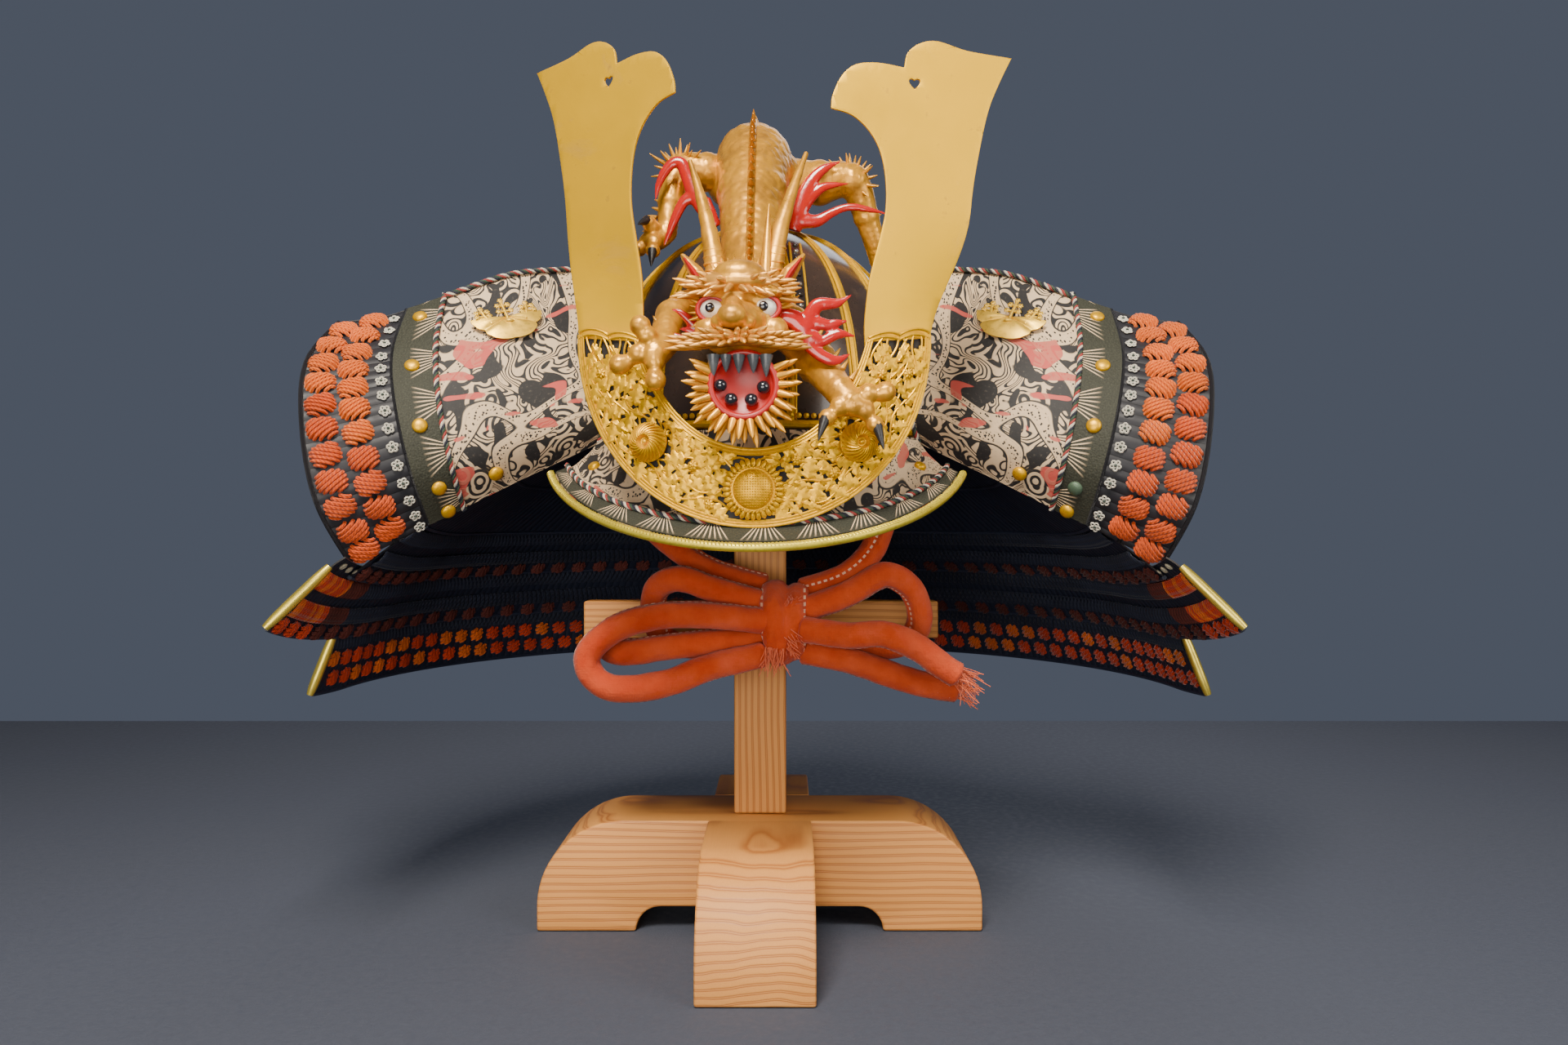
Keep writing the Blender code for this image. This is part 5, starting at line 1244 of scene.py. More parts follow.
class KABUTO_OT_bowl(Step, bpy.types.Operator):
    """Build the lacquered bowl with its gilt ribs, crown ring, base band and riveted strips."""
    bl_idname = "kabuto.bowl"
    bl_label = "Bowl"

    def build(self, settings, colours):
        top = math.degrees(math.acos((BOWL["crown"] / BOWL["half_width"]) ** (BOWL["roundness"] / 2)))
        work = bmesh.new()

        def whole(u, v):
            if v < 0.08:
                spot = bowl_point(u * TAU, 0)
                return spot - Vector((0, 0, BOWL["skirt"] * (1 - v / 0.08)))
            return bowl_point(u * TAU, (v - 0.08) / 0.92 * top)

        surface(work, whole, 160, 56, (0.7, 0.25))
        cap = [bowl_point(TAU * step / 48, top) for step in range(48)]
        work.faces.new([work.verts.new(spot) for spot in cap])
        bmesh.ops.remove_doubles(work, verts=work.verts, dist=1e-6)
        bmesh.ops.recalc_face_normals(work, faces=work.faces)
        bmesh.ops.solidify(work, geom=work.faces[:], thickness=BOWL["wall"])
        make_piece("finish_bowl", work, lacquer_paint("bowl_lacquer", colours, (0.035, 0.022, 0.016)),
                   ("bowl",))

        gilt = gilt_relief_paint("rib_gilt", colours)
        dark = lacquer_paint("strip_lacquer", colours)
        work = bmesh.new()
        ribs, beads = 16, 150
        for index in range(ribs):
            angle = TAU * (index + 0.5) / ribs
            line = [bowl_point(angle, top * step / 26, 0.0009) for step in range(27)]
            rod(work, line, 0.0017, 8)
            for side in (-1, 1):
                edge = [bowl_point(angle + side * 0.0024 / BOWL["half_width"] * (1 + step / 26),
                                   top * step / 26, 0.0003)
                        for step in range(27)]
                rod(work, edge, 0.0008, 6)
        for lift, drop, radius in ((0.0016, 0.0, 0.0026), (0.0014, -0.0065, 0.0013),
                                   (0.0014, -0.0105, 0.0016)):
            ring = [bowl_point(TAU * step / 120, 0, lift) + Vector((0, 0, drop)) for step in range(121)]
            rod(work, ring, radius, 8)
        beaded_line(work, [bowl_point(TAU * (step + 0.5) / beads, 0, 0.0022) + Vector((0, 0, 0.0050))
                           for step in range(beads)], 0.0019)
        for share, radius in ((1.0, 0.0024), (0.93, 0.0012), (0.86, 0.0016)):
            ring = [bowl_point(TAU * step / 60, top * (0.6 + 0.4 * share), 0.0016) for step in range(61)]
            rod(work, ring, radius, 8)
        crown = bowl_point(0, top).z
        centre = Vector((0, 0, crown))
        stamp(work, petal_rosette(0.008, 0.021, 20, 0.0022), Matrix.Translation(centre), 0)
        lathe(work, ((0.0, 0.0), (0.0095, 0.0), (0.0095, 0.0022), (0.0075, 0.0034), (0.0070, 0.0012),
                     (0.0, 0.0012)),
              Matrix.Translation(centre), 40)
        make_piece("finish_bowl_ribs", work, gilt, ("bowl_ribs",))

        stud = domed_rivet(0.0017, 0.0014, 12)
        silver = plain_paint("stud_silver", (0.50, 0.50, 0.50), 0.3, 0.3, 200, 0.0001, Metallic=0.9)
        for side, sign in (("left", -1), ("right", 1)):
            work = bmesh.new()

            def strip(u, v):
                climb = 22 + 33 * v
                reach = sign * (0.029 + (u - 0.5) * 0.0085) * (1.15 - climb / 200)
                angle = math.asin(reach / (bowl_point(0, climb, 0).y * -1))
                return bowl_point(angle, climb, 0.0012)

            walled(work, strip, 4, 24, 0.0016, (0.0085, 0.06), 1, 1, FRONT_UP)
            look = facing(strip, 0.5, 0.5, FRONT_UP)
            for edge in (0.0, 1.0):
                rod(work, [strip(edge, step / 16) for step in range(17)], 0.0008, 6, 0)
            for step in range(9):
                stamp(work, stud, on_sheet(strip, 0.5, (step + 0.5) / 9, 0.0002, 0, look),
                      2 if step % 2 else 1)
            make_piece("finish_bowl_strip_" + side, work, (gilt, dark, silver),
                       ("bowl_strip_" + side,))


def edge_cord(work, place, v, count, lift, look, radius):
    """Laid cord in white, dark, green and red along a line of constant v on a sheet."""
    line = [on_sheet(place, step / count, v, lift, 0, look).translation for step in range(count + 1)]
    twisted_cord(work, line, radius, radius * CORD_PITCH, CORD_FINISHES)


def cord_paints(colours):
    return (
        plain_paint("cord_white", (0.62, 0.56, 0.44), 0.75, 0.4, 300, 0.0002),
        plain_paint("cord_dark", (0.012, 0.014, 0.028), 0.75, 0.3, 300, 0.0002),
        plain_paint("cord_green", (0.030, 0.055, 0.030), 0.75, 0.3, 300, 0.0002),
        plain_paint("cord_red", (0.30, 0.035, 0.030), 0.75, 0.3, 300, 0.0002),
    )


class KABUTO_OT_visor(Step, bpy.types.Operator):
    """Build the leather-covered visor with its border, laid cord, rivets and gilt rim."""
    bl_idname = "kabuto.visor"
    bl_label = "Visor"

    def build(self, settings, colours):
        work = bmesh.new()
        place = visor_point
        look = facing(place, 0.5, 0.5, VISOR_UP)
        walled(work, place, 96, 20, VISOR["wall"], (0.36, 0.075), 0, 0, VISOR_UP)

        def border(u, v):
            return on_sheet(place, u, 0.78 + v * 0.22, 0.0007, 0, look).translation

        walled(work, border, 96, 4, 0.0006, (0.36, 0.016), 1, 1, VISOR_UP)
        edge_cord(work, place, 0.77, 120, 0.0022, look, settings.trim_cord)
        for u in (0.085, 0.915):
            stamp(work, domed_rivet(settings.rivet * 0.8, 0.0022), on_sheet(place, u, 0.42, 0.001, 0, look),
                  6)
        paints = (printed_leather_paint("visor_leather", colours),
                  border_leather_paint("visor_border", colours), *cord_paints(colours),
                  gilt_relief_paint("visor_rivet", colours))
        make_piece("finish_visor", work, paints, ("visor",))

        work = bmesh.new()
        line = []
        for step in range(161):
            u = step / 160
            inner, outer = place(u, 0.92), place(u, 1.0)
            along = (place(min(1, u + 0.01), 1.0) - place(max(0, u - 0.01), 1.0)).normalized()
            out = outer - inner
            out = (out - along * out.dot(along)).normalized()
            line.append(outer + out * (VISOR["rim"] + 2 * GAP) - Vector((0, 0, VISOR["wall"] / 2)))
        rod(work, line, VISOR["rim"], 12)
        for index in range(160):
            spot = line[index].lerp(line[index + 1], 0.5)
            ahead = (line[index + 1] - line[index]).normalized()
            up = Vector((0, -0.45, 0.9)).normalized()
            side = ahead.cross(up).normalized()
            groove = [spot + up * VISOR["rim"] * 0.75 - side * 0.0016 - ahead * 0.0008,
                      spot + up * VISOR["rim"] * 1.02,
                      spot + up * VISOR["rim"] * 0.75 + side * 0.0016 + ahead * 0.0008]
            rod(work, groove, 0.00045, 4)
        bright = dict(colours, gilt_dark=(0.55, 0.42, 0.03), gilt=(0.72, 0.60, 0.06))
        make_piece("finish_visor_rim", work, gilt_relief_paint("rim_gilt", bright), ("visor_rim",))


def spline_between(points, corners, steps):
    """Outline through points, smooth but for the corners."""
    line = []
    for start, stop in zip(corners, corners[1:]):
        run = turned([Vector((*point, 0)) for point in points[start:stop + 1]], steps)
        line += [(spot.x, spot.y) for spot in run[:-1]]
    return line + [points[corners[-1]]]


class KABUTO_OT_horns(Step, bpy.types.Operator):
    """Build the two flat gilt horns that slide in behind the openwork."""
    bl_idname = "kabuto.horns"
    bl_label = "Horns"

    def build(self, settings, colours):
        paint = gilt_sheet_paint("horn_gilt", colours)
        for side, sign in (("left", -1), ("right", 1)):
            foot_z = crest_centre() + CREST["outer"] * 0.11 - HORN["tongue"]
            rounded_line = spline_between(HORN_OUTLINE, (0, 8, 13, 18, 25), 5)
            outline = [(sign * across * HORN["half_shaft"], foot_z + HORN["tongue"] + rise * HORN["height"])
                       for across, rise in rounded_line]
            heart_size = 0.0034
            heart_x = sign * -0.26 * HORN["half_shaft"]
            heart_z = foot_z + HORN["tongue"] + 0.855 * HORN["height"]
            heart = []
            for step in range(20):
                turn = TAU * step / 20
                heart.append((heart_x + heart_size * 0.95 * math.sin(turn) ** 3,
                              heart_z + heart_size * (0.80 * math.cos(turn) - 0.32 * math.cos(2 * turn)
                                                      - 0.12 * math.cos(3 * turn))))
            work = filled(outline, (heart,))
            for step in range(-9, 10):
                sliced(work, (step * 0.0055, 0, 0), (1, 0, 0))
            cuts = 26
            for step in range(1, cuts):
                level = foot_z + (HORN["height"] + HORN["tongue"]) * step / cuts
                sliced(work, (0, 0, level), (0, 0, 1))
            thickened(work, HORN["wall"])
            ease_rims(work, 70, 0.0004, 2)
            axis_x = sign * HORN["axis"][side]
            base_x = sign * crest_spot(CREST["angle"], 0.5)[0]
            base_slope = math.atan(2 * CREST["sag"] * base_x / CREST["outer"] ** 2)
            base_y = crest_y(base_x) + (CREST["wall"] + 3 * GAP) / math.cos(base_slope) + 2 * GAP
            for vert in work.verts:
                rise = (vert.co.z - foot_z - HORN["tongue"]) / HORN["height"]
                grow = min(1.0, max(0.0, rise / 0.44))
                ease = grow * grow * (3 - 2 * grow)
                slope = base_slope + (math.radians(sign * HORN["twist"][side]) - base_slope) * ease
                centre = base_x + (axis_x - base_x) * ease
                depth = vert.co.y
                vert.co = Vector((centre + vert.co.x * math.cos(slope) - depth * math.sin(slope),
                                  base_y + vert.co.x * math.sin(slope) + depth * math.cos(slope), vert.co.z))
            make_piece("finish_horn_" + side, work, paint, ("horn_" + side,), 30)


class KABUTO_OT_crest_base(Step, bpy.types.Operator):
    """Build the pierced crest base: rims, leaf scrolls and the three bosses."""
    bl_idname = "kabuto.crest_base"
    bl_label = "Crest base"

    def build(self, settings, colours):
        gilt = gilt_relief_paint("openwork_gilt", colours)
        work = bmesh.new()
        chance = random.Random(7)
        bosses = [(crest_spot(turn, 0.52), reach) for turn, reach in
                  ((0, 0.0172), (-CREST["boss_turn"], 0.0108), (CREST["boss_turn"], 0.0108))]

        def free(x, z, extra=0.0):
            return all(math.hypot(x - bx, z - bz) > reach + extra for (bx, bz), reach in bosses)

        def spot_on(turn, across, lift):
            return crest_matrix(*crest_spot(turn, across), lift).translation

        for start, stop in ((-0.012, 0.066), (0.934, 1.012)):
            def rim(u, v, start=start, stop=stop):
                groove = 0.0005 * abs(math.cos(math.pi * v)) ** 0.7
                return spot_on(CREST["angle"] * (2 * u - 1), start + (stop - start) * v, 0.0004 + groove)

            walled(work, rim, 150, 9, 0.0012, (0.25, 0.003), 0, 0, FRONT)
            for across in (start, (start + stop) / 2, stop):
                line = [spot_on(CREST["angle"] * (step / 90 - 1), across, 0.0005) for step in range(181)]
                rod(work, line, 0.00065, 6)
        for side in (-1, 1):
            for shift, lift in ((0.0, 0.0006), (-1.9, 0.0004)):
                line = []
                for step in range(41):
                    across = step / 40
                    rise = CREST["angle"] + shift + 0.6 + 1.7 * abs(math.sin(across * math.pi * 2)) ** 0.7
                    line.append(spot_on(side * rise, across, lift))
                rod(work, line, 0.0008, 6)
        leaf = leaf_pattern(1.0, 0.98, 3, 0.050)
        frond = leaf_pattern(1.0, 0.62, 3, 0.050)

        # A near-black sheet behind the openwork is painted shade: it makes the gaps between the leaves read
        # dark.
        def painted_shade_sheet(u, v):
            return spot_on(CREST["angle"] * 0.99 * (2 * u - 1), 0.04 + 0.92 * v, -0.0012)

        walled(work, painted_shade_sheet, 96, 8, 0.0006, (0.25, 0.04), 1, 1, FRONT)
        for ring, across in enumerate((0.20, 0.40, 0.60, 0.80)):
            phase = ring * 1.7
            for sweep in (0, 1):
                line = []
                for step in range(261):
                    turn = CREST["angle"] * (step / 130 - 1)
                    sway = math.sin(math.radians(turn) * 13 + phase + sweep * math.pi)
                    x, z = crest_spot(turn, across + 0.085 * sway)
                    if free(x, z, -0.001):
                        line.append(crest_matrix(x, z, 0.0001 + 0.0004 * sweep).translation)
                    elif len(line) > 2:
                        rod(work, line, 0.00062, 5)
                        line = []
                    else:
                        line = []
                if len(line) > 2:
                    rod(work, line, 0.00062, 5)
        for ring in range(6):
            across = 0.135 + 0.73 * ring / 5
            radius = CREST["inner"] + (CREST["outer"] - CREST["inner"]) * across
            count = int(math.radians(2 * CREST["angle"]) * radius / 0.0086)
            for index in range(count):
                turn = CREST["angle"] * 0.965 * (2 * (index + 0.5 + 0.5 * (ring % 2)) / (count + 0.5) - 1)
                x, z = crest_spot(turn, across + chance.uniform(-0.015, 0.015))
                if not free(x, z, 0.0016):
                    continue
                lean = math.radians(turn) + (0.8 if ring % 2 else -0.8) + chance.uniform(-0.25, 0.25)
                lean += math.pi if index % 2 else 0.0
                size = settings.leaf * chance.uniform(0.88, 1.05)
                kind = frond if chance.random() < 0.3 else leaf
                matrix = crest_matrix(x, z, 0.0004 + 0.00025 * (index % 3), lean, size)
                stamp(work, kind, matrix @ Matrix.Translation((0, -0.5, 0)), 0)
        bloom = petal_rosette(0.0008, 0.0030, 7, 0.0010)
        for turn, across in ((-84, 0.30), (-84, 0.70), (-48, 0.28), (-48, 0.74), (-28, 0.40), (-16, 0.80),
                             (22, 0.24), (34, 0.62), (48, 0.30), (52, 0.76), (82, 0.34), (84, 0.72)):
            x, z = crest_spot(turn, across)
            stamp(work, bloom, crest_matrix(x, z, 0.0010, turn), 0)
            blob(work, crest_matrix(x, z, 0.0020).translation, (0.0011, 0.0011, 0.0011), 8, 5)
        # Near-black finish of that sheet, a painted shade seen through the gaps.
        gap = plain_paint("openwork_gap", (0.012, 0.008, 0.005), 0.7, 0.4, 200)
        make_piece("finish_crest_base", work, (gilt, gap), ("crest_base",), 50)

        for name, turn, dome, rosette in (("crest_boss_centre", 0, 0.0108, 0.0158),
                                          ("crest_boss_left", -CREST["boss_turn"], 0.0080, 0.0108),
                                          ("crest_boss_right", CREST["boss_turn"], 0.0080, 0.0108)):
            work = bmesh.new()
            x, z = crest_spot(turn, 0.52)
            base = crest_matrix(x, z, 0.0014)
            if rosette > 0.012:
                profile = [(0.0, 0.0), (dome * 1.12, 0.0), (dome * 1.12, 0.0024)]
                profile += [(dome * math.cos(math.radians(step)),
                             0.0026 + 0.0052 * math.sin(math.radians(step)))
                            for step in range(0, 90, 9)] + [(0.0, 0.0078)]
                lathe(work, profile, base, 64)
                stamp(work, petal_rosette(dome * 1.1, rosette * 1.06, 32, 0.0018), base, 0)
                ring = [base @ Vector((dome * 1.14 * math.cos(TAU * step / 40),
                                       dome * 1.14 * math.sin(TAU * step / 40),
                                       0.0026)) for step in range(40)]
                beaded_line(work, ring, 0.0009)
                for row in range(-7, 8):
                    for column in range(-7, 8):
                        px, py = row * dome / 8, column * dome / 8
                        flat = math.hypot(px, py) / dome
                        if flat < 0.93:
                            top = 0.0026 + 0.0052 * math.sqrt(1 - flat * flat)
                            blob(work, base @ Vector((px, py, top)), (0.00050, 0.00050, 0.00042), 6, 4)
            else:
                lathe(work, ((0.0, 0.0), (rosette, 0.0), (rosette, 0.0012), (dome * 1.16, 0.0024),
                             (dome, 0.0040), (dome * 0.78, 0.0064), (dome * 0.46, 0.0072),
                             (dome * 0.30, 0.0050), (0.0, 0.0044)), base, 48)
                for rib in range(22):
                    line = []
                    for step in range(9):
                        share = step / 8
                        angle = TAU * rib / 22 + share * 0.9
                        radius = rosette * 0.97 - (rosette * 0.97 - dome * 0.48) * share
                        rise = 0.0014 + 0.0060 * math.sin(share * math.pi * 0.5) ** 0.9
                        line.append(base @ Vector((radius * math.cos(angle), radius * math.sin(angle), rise)))
                    rod(work, line, 0.00055, 6)
                blob(work, base @ Vector((0, 0, 0.0050)), (0.0016, 0.0016, 0.0016), 10, 6)
            make_piece("finish_" + name, work, gilt, (name,), 45)


def lame_sheet(index):
    return lambda u, v: lame_point(index, u, v)


class KABUTO_OT_neck_guard(Step, bpy.types.Operator):
    """Build the five lames of the neck guard with their gilt end strips."""
    bl_idname = "kabuto.neck_guard"
    bl_label = "Neck guard"

    def build(self, settings, colours):
        paint = slat_paint("lame_lacquer", colours["lacquer"], 0.0062)
        inner = slat_paint("lame_back", colours["navy"], 0.0062)
        gilt = plain_paint("trim_gilt", (0.80, 0.62, 0.10), 0.34, 0.22, 60, 0.0002, Metallic=0.85)
        for index in range(5):
            place = lame_sheet(index)
            work = bmesh.new()
            length = sheet_length(place, 0.6)
            walled(work, lambda u, v: place(u, v) + Vector((0, 0, NECK["wall"])), 160, 10,
                   NECK["wall"] * 0.45, (length, 0.05), 0, 1, (0, 0.4, 1))
            foot = [place(step / 200, 1.0) + Vector((0, 0, NECK["wall"] * 0.5)) for step in range(201)]
            rod(work, foot, 0.0015, 6, 2)
            rim = plain_paint("lame_rim_%d" % (index + 1), shade(colours["navy"], 1.5), 0.4, 0.3, 80)
            make_piece("finish_neck_lame_%d" % (index + 1), work, (paint, inner, rim),
                       ("neck_lame_%d" % (index + 1),))
        for index in (3, 4):
            place = lame_sheet(index)
            for side, sign in (("left", -1), ("right", 1)):
                name = "lame_trim_%s_%d" % (side, index + 1)
                work = bmesh.new()
                end = 0.0 if sign < 0 else 1.0
                ahead = (place(end, 0.6) - place(end - 0.01 * (1 if end else -1), 0.6)).normalized()
                line = [place(end, 0.16 + 0.84 * step / 20) + ahead * 0.0030 + Vector((0, 0, 0.0010))
                        for step in range(21)]
                rod(work, line, [0.0032 - 0.0010 * abs(step / 10 - 1) ** 4 for step in range(21)], 10)
                make_piece("finish_" + name, work, gilt, (name,))


def slat_paint(name, ground, pitch):
    """Lacquered lame of many scales: narrow upright grooves a pitch apart along its UV."""
    paint = Paint(name, roughness=0.5, uv=True, Specular_IOR_Level=0.22)
    along = paint.split()["X"]
    ridge = paint.sum("ABSOLUTE", paint.sum("SINE", paint.sum("MULTIPLY", along, math.pi / pitch)))
    # The grooves between the scales are darkened: painted shade in the grooves.
    groove = paint.ramp(ridge, (0.0, 1.0), (0.22, 0.0))
    tone_of = paint.mix(groove, ground, shade(ground, 0.2))
    scuffs = paint.ramp(paint.noise(70.0, 4.0, 0.6), (0.56, 0.0), (0.72, 0.5))
    tone_of = paint.mix(scuffs, tone_of, tuple(channel + 0.012 for channel in ground[:3]))
    return paint.done(tone_of, paint.ramp(paint.noise(50.0, 3.0, 0.6), (0.3, 0.36), (0.75, 0.58)),
                      paint.bump(ridge, 0.0007, 0.7))


class KABUTO_OT_neck_lacing(Step, bpy.types.Operator):
    """Lace the neck guard: knots outside, slanted dark lacing and eyelets inside."""
    bl_idname = "kabuto.neck_lacing"
    bl_label = "Neck lacing"

    def build(self, settings, colours):
        orange = silk_paint("lacing_orange", colours["silk"])
        deep = silk_paint("lacing_deep", colours["silk_deep"])
        navy = silk_paint("lacing_navy", (0.014, 0.019, 0.040), sheen=0.08)
        shadow = silk_paint("lacing_shadow", (0.110, 0.020, 0.014), sheen=0.08)
        pale = plain_paint("eyelet_pale", (0.40, 0.36, 0.26), 0.6, 0.5, 200)
        knot = strand_knot(0.0120, 0.0100, 0.0022, 4, 4, 4, 3)
        small = strand_knot(0.0112, 0.0100, 0.0016, 4, 4, 4, 5)
        stroke = stroke_bar(0.0034, 0.0125, 0.0042, 0.0016)
        eyelet = ring_eyelet(0.0021, 0.0007, 10, 4)
        chance = random.Random(11)
        outside, inside = bmesh.new(), bmesh.new()
        for index in range(5):
            place = lame_sheet(index)
            length = sheet_length(place, 0.6)
            outward = facing(place, 0.5, 0.6, (0, 0.5, 1))
            rows = (0.42, 0.72) if index else (0.25, 0.62)
            count = int(length / 0.0175)
            for row, v in enumerate(rows):
                for step in range(count):
                    u = (step + 0.5 + 0.5 * (row % 2)) / (count + 0.5)
                    if not 0.006 < u < 0.994:
                        continue
                    deep_share = 0.25 + 0.5 * abs(2 * u - 1)
                    matrix = on_sheet(place, u, v, NECK["wall"] + 0.0014, chance.uniform(-0.08, 0.08),
                                      outward)
                    stamp(outside, knot, matrix, 1 if chance.random() < deep_share else 0)
            if index < 2:
                continue
            inward = -outward
            strokes = int(length / 0.0044)
            levels = ((0.30, 1), (0.66, -1)) if index < 4 else ((0.24, 1),)
            for v, lean in levels:
                flipped = Matrix.Scale(-1, 4, (1, 0, 0)) if lean < 0 else Matrix()
                for step in range(strokes):
                    u = (step + 0.5) / strokes
                    end = min(u, 1 - u) * length
                    if index == 3 and end < 0.055:
                        finish = 1 if chance.random() < 0.6 else 0
                    elif index == 3 and end < 0.085:
                        finish = 3
                    else:
                        finish = 2
                    stamp(inside, stroke, on_sheet(place, u, v, 0.0004, 0, inward) @ flipped, finish)
            if index < 4:
                count = int(length / 0.019)
                for step in range(count):
                    u = (step + 0.5) / count
                    stamp(inside, small, on_sheet(place, u, 0.90, 0.0006, chance.uniform(-0.1, 0.1), inward),
                          1 if index == 3 and min(u, 1 - u) * length < 0.06 else 3)
            else:
                for row, v in enumerate((0.50, 0.78)):
                    count = int(length / 0.0165)
                    for step in range(count):
                        u = (step + 0.5 + 0.5 * (row % 2)) / (count + 0.5)
                        near = min(u, 1 - u) * length
                        finish = 1 if chance.random() < 0.6 else 0
                        if near > 0.30:
                            finish = 3 if chance.random() < 0.45 else 1
                        stamp(inside, small, on_sheet(place, u, v, 0.0006, chance.uniform(-0.1, 0.1), inward),
                              finish)
            count = int(length / 0.0150)
            for step in range(count):
                u = (step + 0.5) / count
                stamp(inside, eyelet, on_sheet(place, u, 0.075 if index == 4 else 0.06, 0.0008, 0, inward), 4)
        paints = (orange, deep, navy, shadow, pale)
        make_piece("finish_neck_lacing_outside", outside, paints)
        make_piece("finish_neck_lacing_inside", inside, paints)


class KABUTO_OT_wings(Step, bpy.types.Operator):
    """Build the turned-back wings: printed leather, borders, laid cords, slats and knots."""
    bl_idname = "kabuto.wings"
    bl_label = "Turned-back wings"

    def build(self, settings, colours):
        leather = printed_leather_paint("wing_leather", colours)
        border = border_leather_paint("wing_border", colours)
        gilt = gilt_relief_paint("wing_rivet", colours)
        green = plain_paint("rivet_verdigris", (0.10, 0.16, 0.10), 0.5, 0.4, 200, 0.0003, Metallic=0.4)
        slats = slat_paint("wing_slats", colours["slat"], 0.0075)
        orange = silk_paint("knot_orange", colours["silk"], spread=0.30)
        deep = silk_paint("knot_deep", mid(colours["silk"], colours["silk_deep"], 0.6), spread=0.35)
        pale = plain_paint("flower_pale", (0.58, 0.55, 0.46), 0.6, 0.4, 300)
        dark = plain_paint("flower_dark", (0.03, 0.05, 0.04), 0.6, 0.4, 300)
        rivet = domed_rivet(settings.rivet, settings.rivet * 0.55, 20)
        petal = ring_eyelet(0.0011, 0.0006, 8, 4)
        knots = [strand_knot(settings.knot_width, settings.knot_height, 0.0040, 7, 6, 8, seed)
                 for seed in (1, 2, 3)]
        edge_end = 0.535
        for side, sign in (("left", -1), ("right", 1)):

            def place(u, v, lift=0.0):
                return wing_point(u, v, sign, lift)

            out = WING["wall"]
            work = bmesh.new()
            walled(work, lambda u, v: place(u * LEATHER_END, v, out), 44, 72, WING["wall"] * 0.9,
                   (0.165, 0.175), 0, 8, FRONT_UP)

            def band(u, v):
                return place(edge_end + (LEATHER_END - edge_end) * u, v, out + 0.0008)

            def turned_band(u, v):
                return band(v, u)

            walled(work, turned_band, 72, 6, 0.0006, (0.175, 0.026), 1, 1, FRONT_UP)

            def cord_line(spots):
                twisted_cord(work, [place(u, v, out + 0.0020) for u, v in spots], settings.trim_cord,
                             settings.trim_cord * CORD_PITCH, CORD_FINISHES)

            cord_line([(edge_end, step / 60) for step in range(61)])
            cord_line([(0.03, 0.06 + 0.91 * step / 60) for step in range(61)])
            cord_line([(0.03 + (edge_end - 0.03) * step / 40, 0.975) for step in range(41)])
            for u, v, finish in ((0.60, 0.90, 6), (0.60, 0.66, 6), (0.60, 0.40, 6),
                                 (0.59, 0.16, 7 if sign > 0 else 6),
                                 (0.40, 0.13, 6), (0.585, 0.04, 6)):
                stamp(work, rivet, on_sheet(lambda a, b: place(a, b, out), u, v, 0.0010, 0,
                                            facing(place, u, v, FRONT_UP)), finish)
            paints = (leather, border, *cord_paints(colours), gilt, green, slats)
            make_piece("finish_turnback_leather_" + side, work, paints,
                       ("turnback_leather_" + side,))

            work = bmesh.new()

            def slat(u, v):
                return place(LEATHER_END + 0.004 + (0.996 - LEATHER_END) * u, v, out)

            def slat_upright(u, v):
                return slat(v, u)

            walled(work, slat_upright, 96, 24, WING["wall"] * 0.9, (0.19, 0.075), 0, 0, FRONT_UP)
            for u in (0.0, 0.42, 1.0):
                rod(work, [slat(u, step / 60) + Vector((0, -0.0003, 0)) for step in range(61)],
                    0.0014 if u else 0.0010, 6, 0)
            look = facing(place, 0.8, 0.5, FRONT_UP)
            for column, share in enumerate((0.800, 0.925)):
                for step in range(11):
                    v = 0.985 - (step + 0.45 + 0.5 * column) / 11.6
                    if v < 0.02:
                        continue
                    turn = sign * (0.10 if step % 2 else -0.10)
                    matrix = on_sheet(lambda a, b: place(a, b, out), share, v, 0.0004, turn, look)
                    if step % 2 == 0:
                        matrix = matrix @ Matrix.Scale(-1, 4, (1, 0, 0))
                    stamp(work, knots[(step + column) % 3], matrix, 2 if v < 0.42 + 0.14 * column else 1)
            for step in range(15):
                v = 0.93 - step / 15.5
                base = on_sheet(lambda a, b: place(a, b, out), 0.695, v, 0.0010, 0, look)
                for leaf in range(5):
                    angle = TAU * leaf / 5 + step
                    stamp(work, petal, base @ Matrix.Translation((0.0021 * math.cos(angle),
                                                                  0.0021 * math.sin(angle), 0)), 3)
                blob(work, base @ Vector((0, 0, 0.0008)), (0.0010, 0.0010, 0.0008), 8, 5, 4)
            make_piece("finish_turnback_lame_" + side, work, (slats, orange, deep, pale, dark),
                       ("turnback_lame_" + side,))


def mid_value(first, second, share):
    return first + (second - first) * share


def mid(first, second, share):
    return tuple(a + (b - a) * share for a, b in zip(first[:3], second[:3]))


